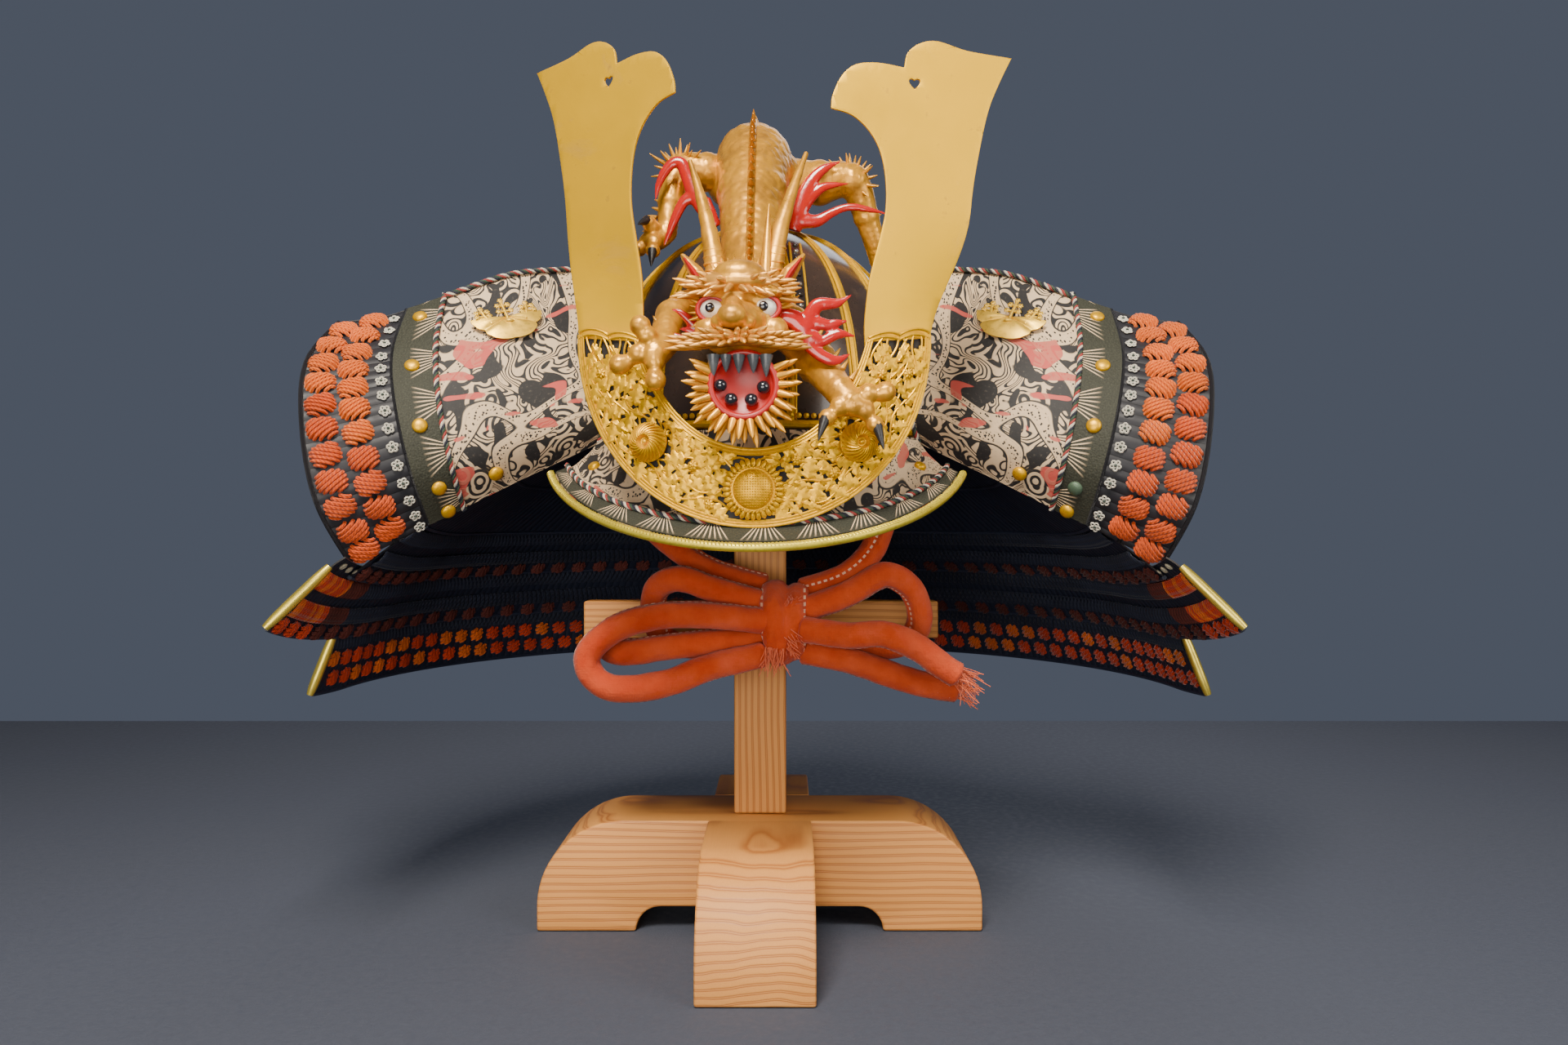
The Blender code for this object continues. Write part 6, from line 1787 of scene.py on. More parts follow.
class KABUTO_OT_leaf_ornaments(Step, bpy.types.Operator):
    """Build the gilt leaf with three sprigs of blossom on each wing."""
    bl_idname = "kabuto.leaf_ornaments"
    bl_label = "Leaf ornaments"

    def build(self, settings, colours):
        bright = dict(colours, gilt_dark=(0.66, 0.40, 0.04), gilt=(0.80, 0.52, 0.07))
        paint = gilt_relief_paint("ornament_gilt", bright)
        bloom = petal_rosette(0.0004, 0.0021, 6, 0.0008)
        for side, sign in (("left", -1), ("right", 1)):
            centre = wing_point(0.33, 0.77, sign)
            across = (wing_point(0.45, 0.77, sign) - wing_point(0.21, 0.77, sign)).normalized()
            up = wing_point(0.33, 0.85, sign) - wing_point(0.33, 0.69, sign)
            across = -across if across.x < 0 else across
            normal = across.cross(up).normalized()
            up = normal.cross(across)
            if normal.y > 0:
                normal = -normal
            base = Matrix((across, up, across.cross(up))).transposed().to_4x4()
            base = Matrix.Translation(centre + normal * (WING["wall"] + 0.0022)) @ base
            front = 1 if across.cross(up).y < 0 else -1
            base = base @ Matrix.Scale(front, 4, (0, 0, 1)) if front < 0 else base
            work = bmesh.new()

            def fan(u, v):
                turn = math.radians(-96 + 192 * u)
                lobe = abs(math.sin(turn * 1.5 + math.pi / 2))
                edge = 1.0 - 0.20 * (1 - lobe) ** 3 + 0.035 * abs(math.sin(turn * 4.5))
                reach = v * edge
                groove = 1.0 - 0.55 * (1 - lobe) ** 4
                vein = 0.5 * abs(math.sin(turn * 4.5))
                swell = (0.0024 * math.sin(math.pi * min(1.0, 0.15 + 0.80 * v)) * groove
                         - 0.0006 * vein * (1 - v))
                return base @ Vector((0.0232 * reach * math.sin(turn),
                                      0.0030 - 0.0172 * reach * math.cos(turn), swell))

            walled(work, fan, 72, 12, 0.0012, (0.04, 0.015), 0, 0, FRONT)
            for x, height in ((-0.0150, 0.0115), (0.0, 0.0165), (0.0150, 0.0115)):
                stem = [base @ Vector((x * 0.75, -0.001, 0.0008)),
                        base @ Vector((x * 0.95, height * 0.5, 0.0014)),
                        base @ Vector((x, height, 0.0012))]
                rod(work, stem, 0.0011, 8)
                for share, reach in ((0.42, 0.0040), (0.72, 0.0034)):
                    level = height * share
                    rod(work, [base @ Vector((x + side_x * reach, level + 0.0006, 0.0013))
                               for side_x in (-1, 0, 1)], 0.0009, 8)
                    for side_x in (-1, 1):
                        stamp(work, bloom,
                              base @ Matrix.Translation((x + side_x * reach, level + 0.0006, 0.0015)), 0)
                stamp(work, bloom, base @ Matrix.Translation((x, height, 0.0016)), 0)
            blob(work, base @ Vector((0, -0.0006, 0.0012)), (0.0034, 0.0026, 0.0018), 14, 8)
            make_piece("finish_leaf_ornament_" + side, work, paint, ("leaf_ornament_" + side,), 50)


def cloth_paint(name, colours):
    """Worn cotton crepe with a row of stitches along each side; U runs around the cord, V along it."""
    paint = Paint(name, roughness=0.88, uv=True, Sheen_Weight=0.12, Sheen_Roughness=0.5,
                  Specular_IOR_Level=0.2)
    place = paint.node("ShaderNodeTexCoord").outputs["Object"]
    faded = paint.noise(45.0, 4.0, 0.6, place)
    tone_of = paint.mix(paint.ramp(faded, (0.32, 0.0), (0.70, 1.0)), colours["chin"],
                        mid(colours["chin"], (0.80, 0.16, 0.06), 0.4))
    grime = paint.ramp(paint.noise(18.0, 4.0, 0.6, place), (0.40, 0.0), (0.75, 0.5))
    tone_of = paint.mix(grime, tone_of, shade(colours["chin"], 0.55))
    spot = paint.split()
    lines = []
    for seam in (0.22, 0.72):
        off = paint.sum("ABSOLUTE", paint.sum("SUBTRACT", spot["X"], seam))
        on_line = paint.sum("LESS_THAN", off, 0.014)
        dash = paint.sum("LESS_THAN", paint.sum("FRACT", paint.sum("DIVIDE", spot["Y"], 0.0042)), 0.55)
        lines.append((off, paint.sum("MULTIPLY", on_line, dash)))
    stitch = paint.sum("MAXIMUM", lines[0][1], lines[1][1])
    tone_of = paint.mix(paint.sum("MULTIPLY", stitch, 0.85), tone_of, (0.80, 0.52, 0.36))
    weave = paint.sum("MULTIPLY", paint.wave(420.0, 0.6, 1.0, place, "X"),
                      paint.wave(420.0, 0.6, 1.0, place, "Z"))
    near = paint.sum("MINIMUM", lines[0][0], lines[1][0])
    seam_dip = paint.ramp(near, (0.0, 0.0), (0.06, 1.0))
    relief = paint.bump(seam_dip, 0.0012, 0.8)
    relief = paint.bump(paint.noise(150.0, 4.0, 0.6, place), 0.0024, 0.7, relief)
    return paint.done(tone_of, None, paint.bump(weave, 0.0003, 0.5, relief))


def padded_cord(work, line, diameter, seed):
    """Soft padded tube with creases and a slight swell along it."""
    length = line_length(line)
    spots = even_line(line, int(length / 0.0016))
    frames = travelling_frames(spots)
    last = len(spots) - 1
    chance = random.Random(seed)
    phase = chance.uniform(0, 50)

    def place(u, v):
        index = round(v * last)
        point, (side, up, _) = spots[index], frames[index]
        turn = u * TAU
        along = index / last * length
        crease = noise.noise(Vector((along * 110 + phase, math.cos(turn) * 1.3, math.sin(turn) * 1.3)))
        swell = noise.noise(Vector((along * 26 + phase, 0.0, 0.0)))
        radius = diameter * 0.5 * (1.0 + 0.05 * crease + 0.04 * swell)
        if index in (0, last):
            radius = 0.0
        elif index in (1, last - 1):
            radius *= 0.8
        return point + side * math.cos(turn) * radius + up * math.sin(turn) * radius

    surface(work, place, 26, last, (1.0, length))
    bmesh.ops.remove_doubles(work, verts=work.verts, dist=1e-7)
    bmesh.ops.recalc_face_normals(work, faces=work.faces)
    return [spot + Vector((0, MIDDLE_Y, 0)) for spot in spots]


def frayed(work, root, away, spread, count, length, seed, finish=0):
    """Thin loose threads that leave a torn end."""
    chance = random.Random(seed)
    away = Vector(away).normalized()
    side = away.cross(Vector((0, 1, 0)))
    side = side.normalized() if side.length > 0.1 else Vector((1, 0, 0))
    other = away.cross(side)
    for _ in range(count):
        start = (Vector(root) + side * chance.uniform(-spread, spread)
                 + other * chance.uniform(-spread, spread))
        way = (away + side * chance.uniform(-0.6, 0.6) + other * chance.uniform(-0.5, 0.5)
               + Vector((0, 0, chance.uniform(-0.35, 0.1)))).normalized()
        reach = length * chance.uniform(0.4, 1.0)
        bend = Vector((chance.uniform(-1, 1), chance.uniform(-0.6, 0.2),
                       chance.uniform(-1.2, 0.2))) * reach * 0.25
        line = [start - away * 0.003, start + way * reach * 0.35, start + way * reach * 0.7 + bend * 0.4,
                start + way * reach + bend]
        rod(work, line, [0.00035, 0.00032, 0.00028, 0.00020], 4, finish)


class KABUTO_OT_chin_cord(Step, bpy.types.Operator):
    """Tie the padded orange chin cord: two straps, the knot, the loops and the torn tails."""
    bl_idname = "kabuto.chin_cord"
    bl_label = "Chin cord"

    def build(self, settings, colours):
        cloth = cloth_paint("chin_cloth", colours)
        thread = plain_paint("torn_thread", (0.78, 0.14, 0.045), 0.9, 0.4, 400, 0.0001, Sheen_Weight=0.3)
        knot = self.knot(settings, cloth, thread)
        for seed, (name, route) in enumerate(CORD_ROUTES.items()):
            line = turned([stepped("knot", steps) for steps in route], 10)
            work = bmesh.new()
            spots = padded_cord(work, line, settings.chin_cord, seed)
            tail = name.startswith("cord_tail")
            piece = make_piece("finish_" + name, work, cloth, (name,), 60)
            loose = (knot,) if seed == 0 else ()
            if tail:
                work = bmesh.new()
                ahead = (line[-1] - line[-3]).normalized()
                frayed(work, line[-1], ahead, 0.006, 46 if "front" in name else 22, 0.016, seed)
                frayed(work, line[-6], Vector((0.2, -0.8, 0.5)), 0.006, 24, 0.007, seed + 9)
                loose = (make_piece("finish_frays_" + name, work, thread),)
            tuple(spots[0])
            line_length(spots)
            [tuple(spot) for spot in spots]

    def knot(self, settings, cloth, thread):
        blank = bmesh.new()
        at = KNOT[0]
        unit = KNOT[1]

        def bend(points, radius, flat=1.0):
            line = turned([at + unit * Vector(point) for point in points], 6)
            rod(blank, line, radius, 14, 0, flat)

        bend(((-0.20, -0.50, 0.95), (-0.35, -1.30, 1.05), (-0.42, -2.05, 0.55), (-0.40, -2.30, -0.20),
              (-0.22, -2.15, -1.00), (-0.10, -1.50, -1.45), (0.0, -0.70, -1.30)), 0.0084, 0.8)
        bend(((0.55, -0.50, 0.85), (0.50, -1.25, 0.95), (0.42, -1.95, 0.50), (0.40, -2.15, -0.25),
              (0.42, -1.95, -0.95), (0.35, -1.30, -1.30), (0.2, -0.6, -1.20)), 0.0080, 0.8)
        bend(((-0.95, -1.10, 0.40), (-0.30, -1.60, 0.25), (0.50, -1.50, 0.10), (1.10, -1.00, -0.05)), 0.0090)
        bend(((-0.95, -0.75, -0.55), (0.0, -1.20, -0.60), (1.00, -0.90, -0.45)), 0.0085)
        bend(((-0.60, -0.25, 0.80), (0.05, -0.55, 0.45), (0.70, -0.30, 0.75)), 0.0082)
        blob(blank, at + Vector((0, -0.0165, -0.003)), (0.0155, 0.0150, 0.0235), 20, 14)

        def crease(spot):
            folds = noise.noise(Vector((spot.x * 260, spot.y * 120, spot.z * 70)))
            fine = noise.noise(spot * 420)
            return 0.00075 * folds + 0.00030 * fine

        work = carved(blank, 0.0011, 2, crease)
        layer = uv_layer(work)
        for face in work.faces:
            for loop in face.loops:
                spot = loop.vert.co
                loop[layer].uv = ((spot.x - at.x) / 0.055 + 0.47, spot.z)
        frayed(work, at + unit * Vector((-0.35, -2.45, -1.25)), (-0.1, -0.3, -1.0), 0.006, 44, 0.014, 5, 1)
        frayed(work, at + unit * Vector((0.25, -2.35, -0.75)), (0.5, -0.6, -0.6), 0.006, 30, 0.011, 6, 1)
        frayed(work, at + unit * Vector((0.30, -2.30, 0.70)), (0.4, -0.6, 0.5), 0.004, 14, 0.008, 7, 1)
        return make_piece("finish_chin_knot", work, (cloth, thread), ("chin_knot",), 60)


def lock(work, root, way, length, radius, bend=(0, 0, 0), steps=5, sides=6, finish=0, blunt=0.75):
    """Tapering carved lock or spike."""
    root, way, bend = Vector(root), Vector(way).normalized(), Vector(bend)
    line, radii = [], []
    for step in range(steps + 1):
        t = step / steps
        line.append(root + way * length * t + bend * length * t * t)
        radii.append(radius * (1.0 - t) ** blunt + 0.00025)
    rod(work, line, radii, sides, finish)


def scaled_skin(strength, size):
    """Relief of small knobbly scales."""
    def relief(spot):
        near = noise.voronoi(spot * size)[0]
        ridge = min(1.0, (near[1] - near[0]) * 2.2)
        return strength * (ridge - 0.6) + strength * 0.3 * noise.noise(spot * 60)
    return relief


class KABUTO_OT_dragon_body(Step, bpy.types.Operator):
    """Carve the dragon's humped body with its ridge of fins."""
    bl_idname = "kabuto.dragon_body"
    bl_label = "Dragon body"

    def build(self, settings, colours):
        paint = carved_gold_paint("body_gold", colours)
        unit = HIPS[1]
        spine = [(Vector((DRAGON_X, HIPS[0].y + back * unit, HIPS[0].z + up * unit)), share * unit)
                 for back, up, share in DRAGON_BACK]
        smooth_line = turned([point for point, _ in spine], 5)
        radii = radii_between([radius for _, radius in spine], 5, len(smooth_line))
        blank = bmesh.new()
        rod(blank, smooth_line, [radius * 0.98 for radius in radii], 20)
        for side in (-1, 1):
            blob(blank, HIPS[0] + unit * Vector((side * 0.62, -0.10, -0.42)), (0.0170, 0.0190, 0.0185), 20,
                 14)
            blob(blank, HIPS[0] + unit * Vector((side * 0.42, -1.85, -1.35)), (0.0120, 0.0190, 0.0160), 20,
                 14)
        work = carved(blank, 0.0013, 3, scaled_skin(0.00060, 130))
        fins = 46
        line = even_line(smooth_line, fins + 1)
        for index in range(1, fins):
            point = line[index]
            ahead = (line[min(fins, index + 1)] - line[index - 1]).normalized()
            up = Vector((0, -ahead.z, ahead.y)).normalized()
            place_on = index / fins * (len(radii) - 1)
            radius = radii[int(place_on)]
            rise = 0.0075 if index < 30 else 0.0060 * (1 - (index - 30) / 24)
            lock(work, point + up * radius * 0.86, up - ahead * 0.45, rise + 0.004, 0.0023, ahead * -0.2, 4,
                 6)
        ridge_line = []
        for index in range(len(smooth_line) - 2):
            ahead = (smooth_line[index + 1] - smooth_line[index]).normalized()
            ridge_line.append(smooth_line[index] + Vector((0, -ahead.z, ahead.y)) * radii[index] * 0.97)
        rod(work, ridge_line, 0.0024, 8)
        lock(work, HIPS[0] + Vector((0, -0.004, 0.022)), (0.0, -0.25, 1.0), 0.0105, 0.0042, (0, 0.1, 0), 5, 8)
        make_piece("finish_dragon_body", work, paint, ("dragon_body",), 60)


class KABUTO_OT_dragon_legs(Step, bpy.types.Operator):
    """Carve the four legs with their muscles, spikes, toes and dark claws."""
    bl_idname = "kabuto.dragon_legs"
    bl_label = "Dragon legs"

    def build(self, settings, colours):
        paint = carved_gold_paint("leg_gold", colours)
        claw = plain_paint("claw_black", (0.016, 0.014, 0.015), 0.42, 0.4, 300, 0.0002)
        for name, (anchor, joints, ends) in LIMBS.items():
            line = [stepped(anchor, joint[:3]) for joint in joints]
            radii = [joint[3] * LEG_RADIUS for joint in joints]
            blank = bmesh.new()
            smooth_line = turned(line, 5)
            rod(blank, smooth_line, radii_between(radii, 5, len(smooth_line)), 16)
            for index in range(1, len(line) - 1):
                blob(blank, line[index], (radii[index] * 1.10, radii[index] * 1.10, radii[index] * 1.10), 16,
                     10)
            claws = bmesh.new()
            foot = line[-1]
            blob(blank, foot, (0.0068, 0.0068, 0.0062), 16, 10)
            for reach in ends:
                tip = stepped(anchor, reach)
                way = tip - foot
                lift = Vector((0, 0, way.length * 0.16))
                rod(blank, turned([foot, foot + way * 0.40 + lift, foot + way * 0.78 + lift * 0.4, tip], 4),
                    [0.0050 - 0.0003 * step for step in range(13)], 12)
                blob(blank, foot + way * 0.46 + lift, (0.0056, 0.0056, 0.0056), 12, 8)
                blob(blank, foot + way * 0.86, (0.0050, 0.0050, 0.0048), 12, 8)
                start = foot + way * 0.93
                if "hind" in name:
                    drop = Vector((0, -0.10, -0.5))
                elif way.z < way.x * 0.3 or way.z < 0:
                    drop = Vector((0, -0.35, -0.8))
                else:
                    drop = Vector((0, -0.5, -0.1))
                if "fore_leg_left" in name or ("fore" in name and reach is ends[1]):
                    blob(blank, tip, (0.0058, 0.0058, 0.0056), 12, 8)
                    continue
                lock(claws, start + Vector((0, -0.0015, 0)), way.normalized() * 0.45 + drop, 0.0115, 0.0030,
                     drop * 0.25, 5, 8)
            work = carved(blank, 0.0010, 3, scaled_skin(0.00022, 200))
            stamp(work, pattern_mesh(claws), Matrix(), 1)
            if "hind" in name:
                knee = line[2]
                chance = random.Random(len(name))
                sign = 1 if "right" in name else -1
                for index in range(15):
                    turn = math.radians(-50 + 200 * index / 14)
                    way = Vector((sign * math.cos(turn) * 0.9, chance.uniform(-0.7, 0.4), math.sin(turn)))
                    lock(work, knee + way.normalized() * radii[2] * 0.75, way, chance.uniform(0.008, 0.014),
                         0.0015,
                         (0, 0, 0.1), 4, 6)
                for step in range(5):
                    spot = line[3].lerp(line[5], step / 5)
                    lock(work, spot + Vector((sign * 0.005, 0, 0)), (sign, 0.1, 0.35), 0.0055, 0.0014,
                         (0, 0, 0), 3, 6)
            else:
                for index in range(7):
                    spot = line[1].lerp(line[3], index / 6)
                    sign = 1 if "right" in name else -1
                    lock(work, spot + Vector((sign * 0.006, 0, 0.006)), (sign * 0.6, 0.2, 0.9), 0.0070,
                         0.0016, (0, 0, 0), 3, 6)
            make_piece("finish_" + name, work, (paint, claw), (name,), 60)


class KABUTO_OT_dragon_head(Step, bpy.types.Operator):
    """Carve the head: skull, snout, eyes, brows, moustache, ears, horns, mouth and beard."""
    bl_idname = "kabuto.dragon_head"
    bl_label = "Dragon head"

    def build(self, settings, colours):
        gold = carved_gold_paint("head_gold", colours)
        bright = carved_gold_paint("face_gold",
                                   dict(colours, carved_brown=shade(colours["carved_gold"], 0.45)))
        tufts = carved_gold_paint("tuft_gold", dict(colours, carved_gold=(0.62, 0.29, 0.045)))
        red = plain_paint("mouth_red", colours["mouth"], 0.38, 0.35, 120, 0.0002)
        white = plain_paint("eye_white", (0.78, 0.74, 0.64), 0.12, 0.15, 200, 0.00005, Coat_Weight=0.8)
        black = plain_paint("pupil_black", (0.012, 0.012, 0.016), 0.10, 0.2, 200, 0.00005, Coat_Weight=0.8)
        teeth = plain_paint("tooth_grey", (0.10, 0.11, 0.12), 0.28, 0.4, 200, 0.0001)
        r = HEAD[1]
        at = HEAD[0]
        chance = random.Random(21)

        def from_head(x, y, z):
            return at + r * Vector((x, y, z))

        blank = bmesh.new()
        blob(blank, at, (r * 0.98, r * 1.12, r * 0.92), 24, 16)
        blob(blank, from_head(0, -0.80, -0.48), (r * 0.60, r * 0.78, r * 0.50), 20, 14)
        blob(blank, from_head(0, -0.85, 0.42), (r * 0.78, r * 0.45, r * 0.26), 20, 12)
        blob(blank, from_head(-0.05, -0.74, 0.60), (r * 0.62, r * 0.52, r * 0.36), 24, 14)
        for side in (-1, 1):
            blob(blank, from_head(side * 0.72, -0.72, -0.62), (r * 0.34, r * 0.40, r * 0.34), 16, 10)
            blob(blank, from_head(side * 0.58, -0.80, 0.20), (r * 0.36, r * 0.34, r * 0.16), 16, 10)
            rod(blank, [from_head(side * 0.75, 0.1, 0.35), from_head(side * 1.08, 0.05, 0.85),
                        from_head(side * 1.42, 0.1, 1.30)], [r * 0.30, r * 0.30, r * 0.08], 12, 0, 0.6)
        blob(blank, from_head(0.05, -0.82, -0.98), (r * 0.80, r * 0.62, r * 0.24), 20, 12)
        blob(blank, (-0.0096, -0.2195, 0.3802), (0.0080, 0.0078, 0.0066), 20, 14)
        for side in (-1, 1):
            blob(blank, (-0.0096 + side * 0.0070, -0.2160, 0.3778), (0.0046, 0.0050, 0.0040), 16, 10)
        rod(blank, [at, from_head(0, 1.3, 0.35)], [r * 0.75, r * 0.66], 16)
        rod(blank, [from_head(-0.15, -1.25, -0.10), from_head(-0.18, -1.52, -0.35),
                    from_head(-0.18, -1.62, -0.56)],
            [r * 0.20, r * 0.22, r * 0.25], 12)
        for side in (-1, 1):
            blob(blank, from_head(-0.17 + side * 0.24, -1.50, -0.60), (r * 0.18, r * 0.20, r * 0.14), 14, 10)
            for row in range(4):
                rod(blank, [from_head(side * 0.28, -1.05 - row * 0.02, -0.28 - row * 0.13),
                            from_head(side * 0.62, -0.98, -0.34 - row * 0.13)], [r * 0.075, r * 0.06], 8)
        work = carved(blank, 0.0009, 2, scaled_skin(0.00016, 230))
        for side in (-1, 1):
            stamp_line = [from_head(side * 0.86, -0.18, 0.42), from_head(side * 1.10, -0.16, 0.80),
                          from_head(side * 1.34, -0.06, 1.16)]
            rod(work, stamp_line, [r * 0.10, r * 0.17, r * 0.05], 10, 1, 0.5)
        for x, z in ((-0.0210, 0.3868), (0.0067, 0.3876)):
            look = Vector((x, -0.2005, z))
            lid = [look + Vector((0.0075 * math.cos(TAU * step / 20), -0.0026,
                                  0.0062 * math.sin(TAU * step / 20)))
                   for step in range(21)]
            blob(work, look, (0.0066, 0.0066, 0.0058), 20, 12, 2)
            rod(work, lid, 0.0013, 8, 1)
            blob(work, look + Vector((-0.0008, -0.0060, 0.0002)), (0.0026, 0.0014, 0.0026), 14, 8, 3)
            # A small white dot on each pupil is a painted highlight.
            blob(work, look + Vector((-0.0016, -0.0072, 0.0012)), (0.0006, 0.0005, 0.0006), 8, 6, 2)
        for side in (-1, 1):
            blob(work, from_head(-0.17 + side * 0.16, -1.72, -0.62), (0.0013, 0.0010, 0.0011), 10, 6, 3)
        for index in range(12):
            spot = from_head((index / 11 - 0.5) * 1.25, 0.15 + 0.1 * (index % 2), 0.85)
            lock(work, spot, ((index / 11 - 0.5) * 0.9, 0.25, 1.0), 0.011, 0.0020, (0, 0.15, 0), 4, 6)
        lock(work, (0.0065, -0.178, 0.406), (0.02, 0.15, 1.0), 0.046, 0.0036, (0.02, 0.05, 0), 8, 8)
        for side in (-1, 1):
            for index in range(9):
                turn = math.radians(-60 + 15 * index)
                way = Vector((side * math.cos(turn), -0.15, math.sin(turn)))
                lock(work, from_head(side * 0.80, -0.45, -0.30 + 0.06 * index), way,
                     chance.uniform(0.008, 0.013), 0.0022,
                     (0, 0, 0.15), 4, 6)
        make_piece("finish_dragon_head", work, (gold, red, white, black), ("dragon_head",), 60)

        horn_lines = {
            "left": ((-0.0195, -0.1745, 0.405), (-0.0241, -0.1660, 0.4333), (-0.0300, -0.1560, 0.4580),
                     (-0.0373, -0.1460, 0.4830)),
            "right": ((0.0085, -0.1745, 0.405), (0.0138, -0.1660, 0.4356), (0.0210, -0.1560, 0.4620),
                      (0.0293, -0.1440, 0.4880)),
        }
        for side, points in horn_lines.items():
            work = bmesh.new()
            line = turned([Vector(point) for point in points], 7)
            last = len(line) - 1
            rod(work, line, [0.0062 * (1 - 0.80 * (step / last) ** 1.2) * (1 + 0.05 * math.sin(step * 1.9))
                             for step in range(last + 1)], 16)
            for index in range(4):
                ring = [Vector((0.0060 * math.cos(TAU * step / 16), 0.0060 * math.sin(TAU * step / 16), 0.0))
                        for step in range(17)]
                rod(work, [line[2 + index] + spot * (1 - 0.05 * index) for spot in ring], 0.0008, 6)
            make_piece("finish_dragon_horn_" + side, work, bright, ("dragon_horn_" + side,),
                       60)

        work = bmesh.new()
        for layer, (height, count) in enumerate(((0.4030, 15), (0.4002, 17), (0.3978, 15))):
            for index in range(count):
                share = index / (count - 1) * 2 - 1
                if abs(share) < 0.36 - 0.17 * layer:
                    continue
                x = at.x - 0.0025 + share * 0.0200
                y = -0.2070 + 0.012 * abs(share) ** 1.8 - layer * 0.0010
                way = Vector((share * 1.5 + chance.uniform(-0.2, 0.2), -0.50 + 0.25 * abs(share),
                              0.35 - 0.26 * layer + chance.uniform(-0.22, 0.22)))
                lock(work, (x, y, height - 0.0030 * abs(share) ** 2 + chance.uniform(-0.0008, 0.0008)), way,
                     (0.0065 + 0.0065 * abs(share)) * chance.uniform(0.85, 1.15), 0.0019,
                     (share * 0.1, 0, -0.06), 5, 8,
                     0, 0.42)
        for side in (-1, 1):
            rod(work, [Vector((at.x - 0.002 + side * 0.004, -0.2060, 0.4005)),
                       Vector((at.x - 0.002 + side * 0.013, -0.2050, 0.4015)),
                       Vector((at.x - 0.002 + side * 0.0210, -0.1970, 0.3975))], [0.0040, 0.0046, 0.0034], 12)
        make_piece("finish_dragon_brow", work, tufts, ("dragon_brow",), 60)

        work = bmesh.new()
        for layer, height in enumerate((0.3718, 0.3700, 0.3682)):
            for index in range(17):
                share = index / 16 * 2 - 1
                x = at.x - 0.0015 + share * 0.0215
                y = -0.2200 + 0.015 * abs(share) ** 1.7 - layer * 0.0004
                way = Vector((share * 1.7 + chance.uniform(-0.15, 0.15), -0.45 + 0.3 * abs(share),
                              0.16 - 0.16 * layer + chance.uniform(-0.12, 0.12)))
                lock(work, (x, y, height - 0.0015 * abs(share) + chance.uniform(-0.0005, 0.0005)), way,
                     (0.0050 + 0.0090 * abs(share)) * chance.uniform(0.85, 1.12), 0.0018,
                     (share * 0.1, 0, 0.05), 5, 8,
                     0, 0.42)
        rod(work, [Vector((at.x + share * 0.025, -0.2165 + 0.013 * abs(share) ** 1.6,
                           0.3695 - 0.002 * abs(share)))
                   for share in (-1, -0.5, 0, 0.5, 1)], [0.0024, 0.0034, 0.0038, 0.0034, 0.0024], 10)
        make_piece("finish_dragon_moustache", work, tufts, ("dragon_moustache",), 60)
        self.mouth(colours, gold, red, black, teeth)

    def mouth(self, colours, gold, red, black, teeth):
        centre = Vector((HEAD[0].x + 0.0014, JAW["y"], JAW["z"] + 0.0010))
        radius = JAW["radius"]
        chance = random.Random(4)
        work = bmesh.new()

        def dish(u, v):
            turn = u * TAU
            reach = radius * 1.02 * min(1.0, v * 1.02)
            hollow = 0.0052 * (1 - (reach / radius) ** 2)
            return centre + Vector((reach * math.sin(turn), hollow - 0.0012, reach * math.cos(turn) * 0.98))

        made, _ = surface(work, dish, 48, 12)
        bmesh.ops.remove_doubles(work, verts=made, dist=1e-7)
        faces = work.faces[:]
        face_along(work, faces, FRONT)
        bmesh.ops.solidify(work, geom=faces, thickness=0.0016)
        rod(work, [centre + Vector((radius * 1.03 * math.sin(TAU * step / 48), -0.0012,
                                    radius * 1.01 * math.cos(TAU * step / 48))) for step in range(49)],
            0.0019, 10, 0)
        for x, z in ((-0.0160, 0.3463), (0.0059, 0.3454), (-0.0106, 0.3392), (-0.0003, 0.3390)):
            blob(work, (x, JAW["y"] - 0.0010, z), (0.0035, 0.0032, 0.0033), 14, 10, 1)
        for x, size, drop in ((-0.0196, 0.0034, 0.0112), (-0.0132, 0.0030, 0.0085), (-0.0066, 0.0032, 0.0092),
                              (0.0008, 0.0032, 0.0092), (0.0074, 0.0034, 0.0110)):
            lock(work, (x, JAW["y"] - 0.0020, 0.3615), (0, -0.12, -1), drop, size, (0, 0.1, 0), 5, 10, 2)
        make_piece("finish_dragon_mouth", work, (red, black, teeth), ("dragon_mouth",), 60)

        blank = bmesh.new()
        blob(blank, centre + Vector((0, 0.0160, 0)), (radius * 1.02, 0.0098, radius * 0.98), 24, 16)
        rod(blank, [centre + Vector((0, 0.012, 0.004)),
                    Vector((HEAD[0].x, HEAD[0].y + 0.012, HEAD[0].z - 0.022))],
            [0.012, 0.011], 14)
        rod(blank, [centre + Vector((radius * 1.08 * math.sin(math.radians(step)), 0.0035,
                                     -radius * 1.08 * math.cos(math.radians(step))))
                    for step in range(-115, 116, 10)],
            0.0036, 10)
        work = carved(blank, 0.0010, 2, scaled_skin(0.0003, 180))
        for layer, (reach, count) in enumerate(((0.0150, 19), (0.0120, 18))):
            for index in range(count):
                turn = math.radians(-118 + 236 * (index + 0.5 * layer) / (count - 1 + 0.5 * layer))
                out = Vector((math.sin(turn), 0, -math.cos(turn)))
                root = centre + out * radius * 1.02 + Vector((0, 0.0030 - 0.003 * layer, 0))
                lock(work, root, out + Vector((chance.uniform(-0.12, 0.12), -0.25 - 0.15 * layer,
                                               chance.uniform(-0.10, 0.10))),
                     reach * chance.uniform(0.85, 1.12), 0.0022, (0, -0.05, 0), 6, 8, 0, 0.40)
        make_piece("finish_dragon_jaw", work, gold, ("dragon_jaw",), 60)


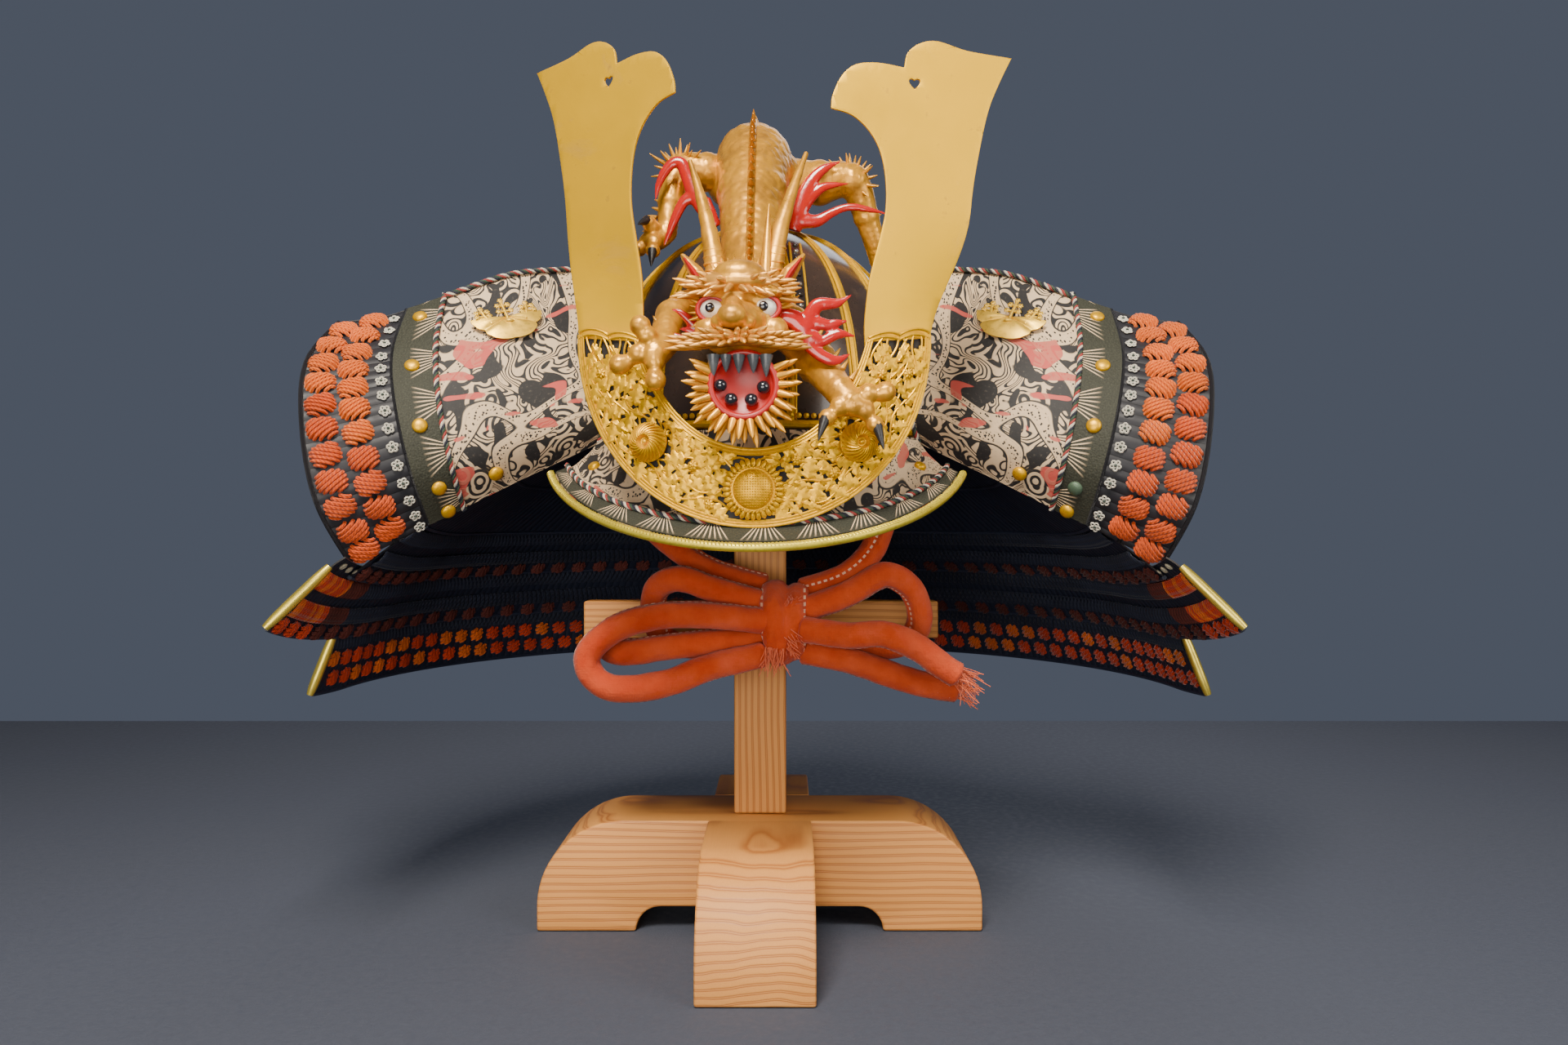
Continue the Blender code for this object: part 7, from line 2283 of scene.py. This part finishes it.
class KABUTO_OT_flames(Step, bpy.types.Operator):
    """Build the red lacquered flames at the hips and the cheeks."""
    bl_idname = "kabuto.flames"
    bl_label = "Flames"

    def build(self, settings, colours):
        paint = plain_paint("flame_red", colours["flame"], 0.20, 0.30, 90, 0.0003, Coat_Weight=0.6)
        for name, (anchor, front, unit, tongues) in FLAMES.items():
            blank = bmesh.new()
            level = stepped(anchor, (0, front, 0)).y
            size = stepped(anchor, (unit, 0, 0)).x - stepped(anchor, (0, 0, 0)).x
            for tongue in tongues:
                line = turned([stepped(anchor, (across * unit, front, up * unit))
                               for across, up, _ in tongue], 4)
                radii = []
                for step in range(len(line)):
                    place = step / 4
                    index = min(int(place), len(tongue) - 2)
                    radii.append(size * mid_value(tongue[index][2], tongue[index + 1][2], place - index))
                rod(blank, line, radii, 12)
            for vert in blank.verts:
                vert.co.y = level + (vert.co.y - level) * 0.55
            work = carved(blank, 0.0008, 2)
            make_piece("finish_" + name, work, paint, (name,), 40)


class KABUTO_PT_panel(bpy.types.Panel):
    """Lists the steps that build the kabuto."""
    bl_label = "Kabuto on a stand"
    bl_space_type = "VIEW_3D"
    bl_region_type = "UI"
    bl_category = "Kabuto"

    def draw(self, context):
        column = self.layout.column(align=True)
        for operator in OPERATORS:
            column.operator(operator.bl_idname, text=operator.bl_label)
        for group in (context.scene.kabuto_settings, context.scene.kabuto_colours):
            column = self.layout.column()
            for prop in group.bl_rna.properties:
                if prop.identifier not in ("rna_type", "name"):
                    column.prop(group, prop.identifier)


OPERATORS = (
    KABUTO_OT_stage, KABUTO_OT_chin_cord, KABUTO_OT_stand, KABUTO_OT_bowl, KABUTO_OT_visor, KABUTO_OT_horns,
    KABUTO_OT_crest_base, KABUTO_OT_neck_guard, KABUTO_OT_neck_lacing, KABUTO_OT_wings,
    KABUTO_OT_leaf_ornaments, KABUTO_OT_dragon_body, KABUTO_OT_dragon_legs, KABUTO_OT_dragon_head,
    KABUTO_OT_flames,
)
CLASSES = (KabutoSettings, KabutoColours, *OPERATORS, KABUTO_PT_panel)


def register():
    for item in CLASSES:
        bpy.utils.register_class(item)
    bpy.types.Scene.kabuto_settings = bpy.props.PointerProperty(type=KabutoSettings)
    bpy.types.Scene.kabuto_colours = bpy.props.PointerProperty(type=KabutoColours)


def unregister():
    del bpy.types.Scene.kabuto_colours
    del bpy.types.Scene.kabuto_settings
    for item in reversed(CLASSES):
        bpy.utils.unregister_class(item)


def corners(bounds):
    return [[round(value, 5) for value in corner] for corner in bounds]


def main():
    register()
    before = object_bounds()
    for operator in OPERATORS:
        family, step = operator.bl_idname.split(".")
        getattr(getattr(bpy.ops, family), step)()
    {"before": corners(before), "after": corners(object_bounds())}


if __name__ == "__main__":
    main()
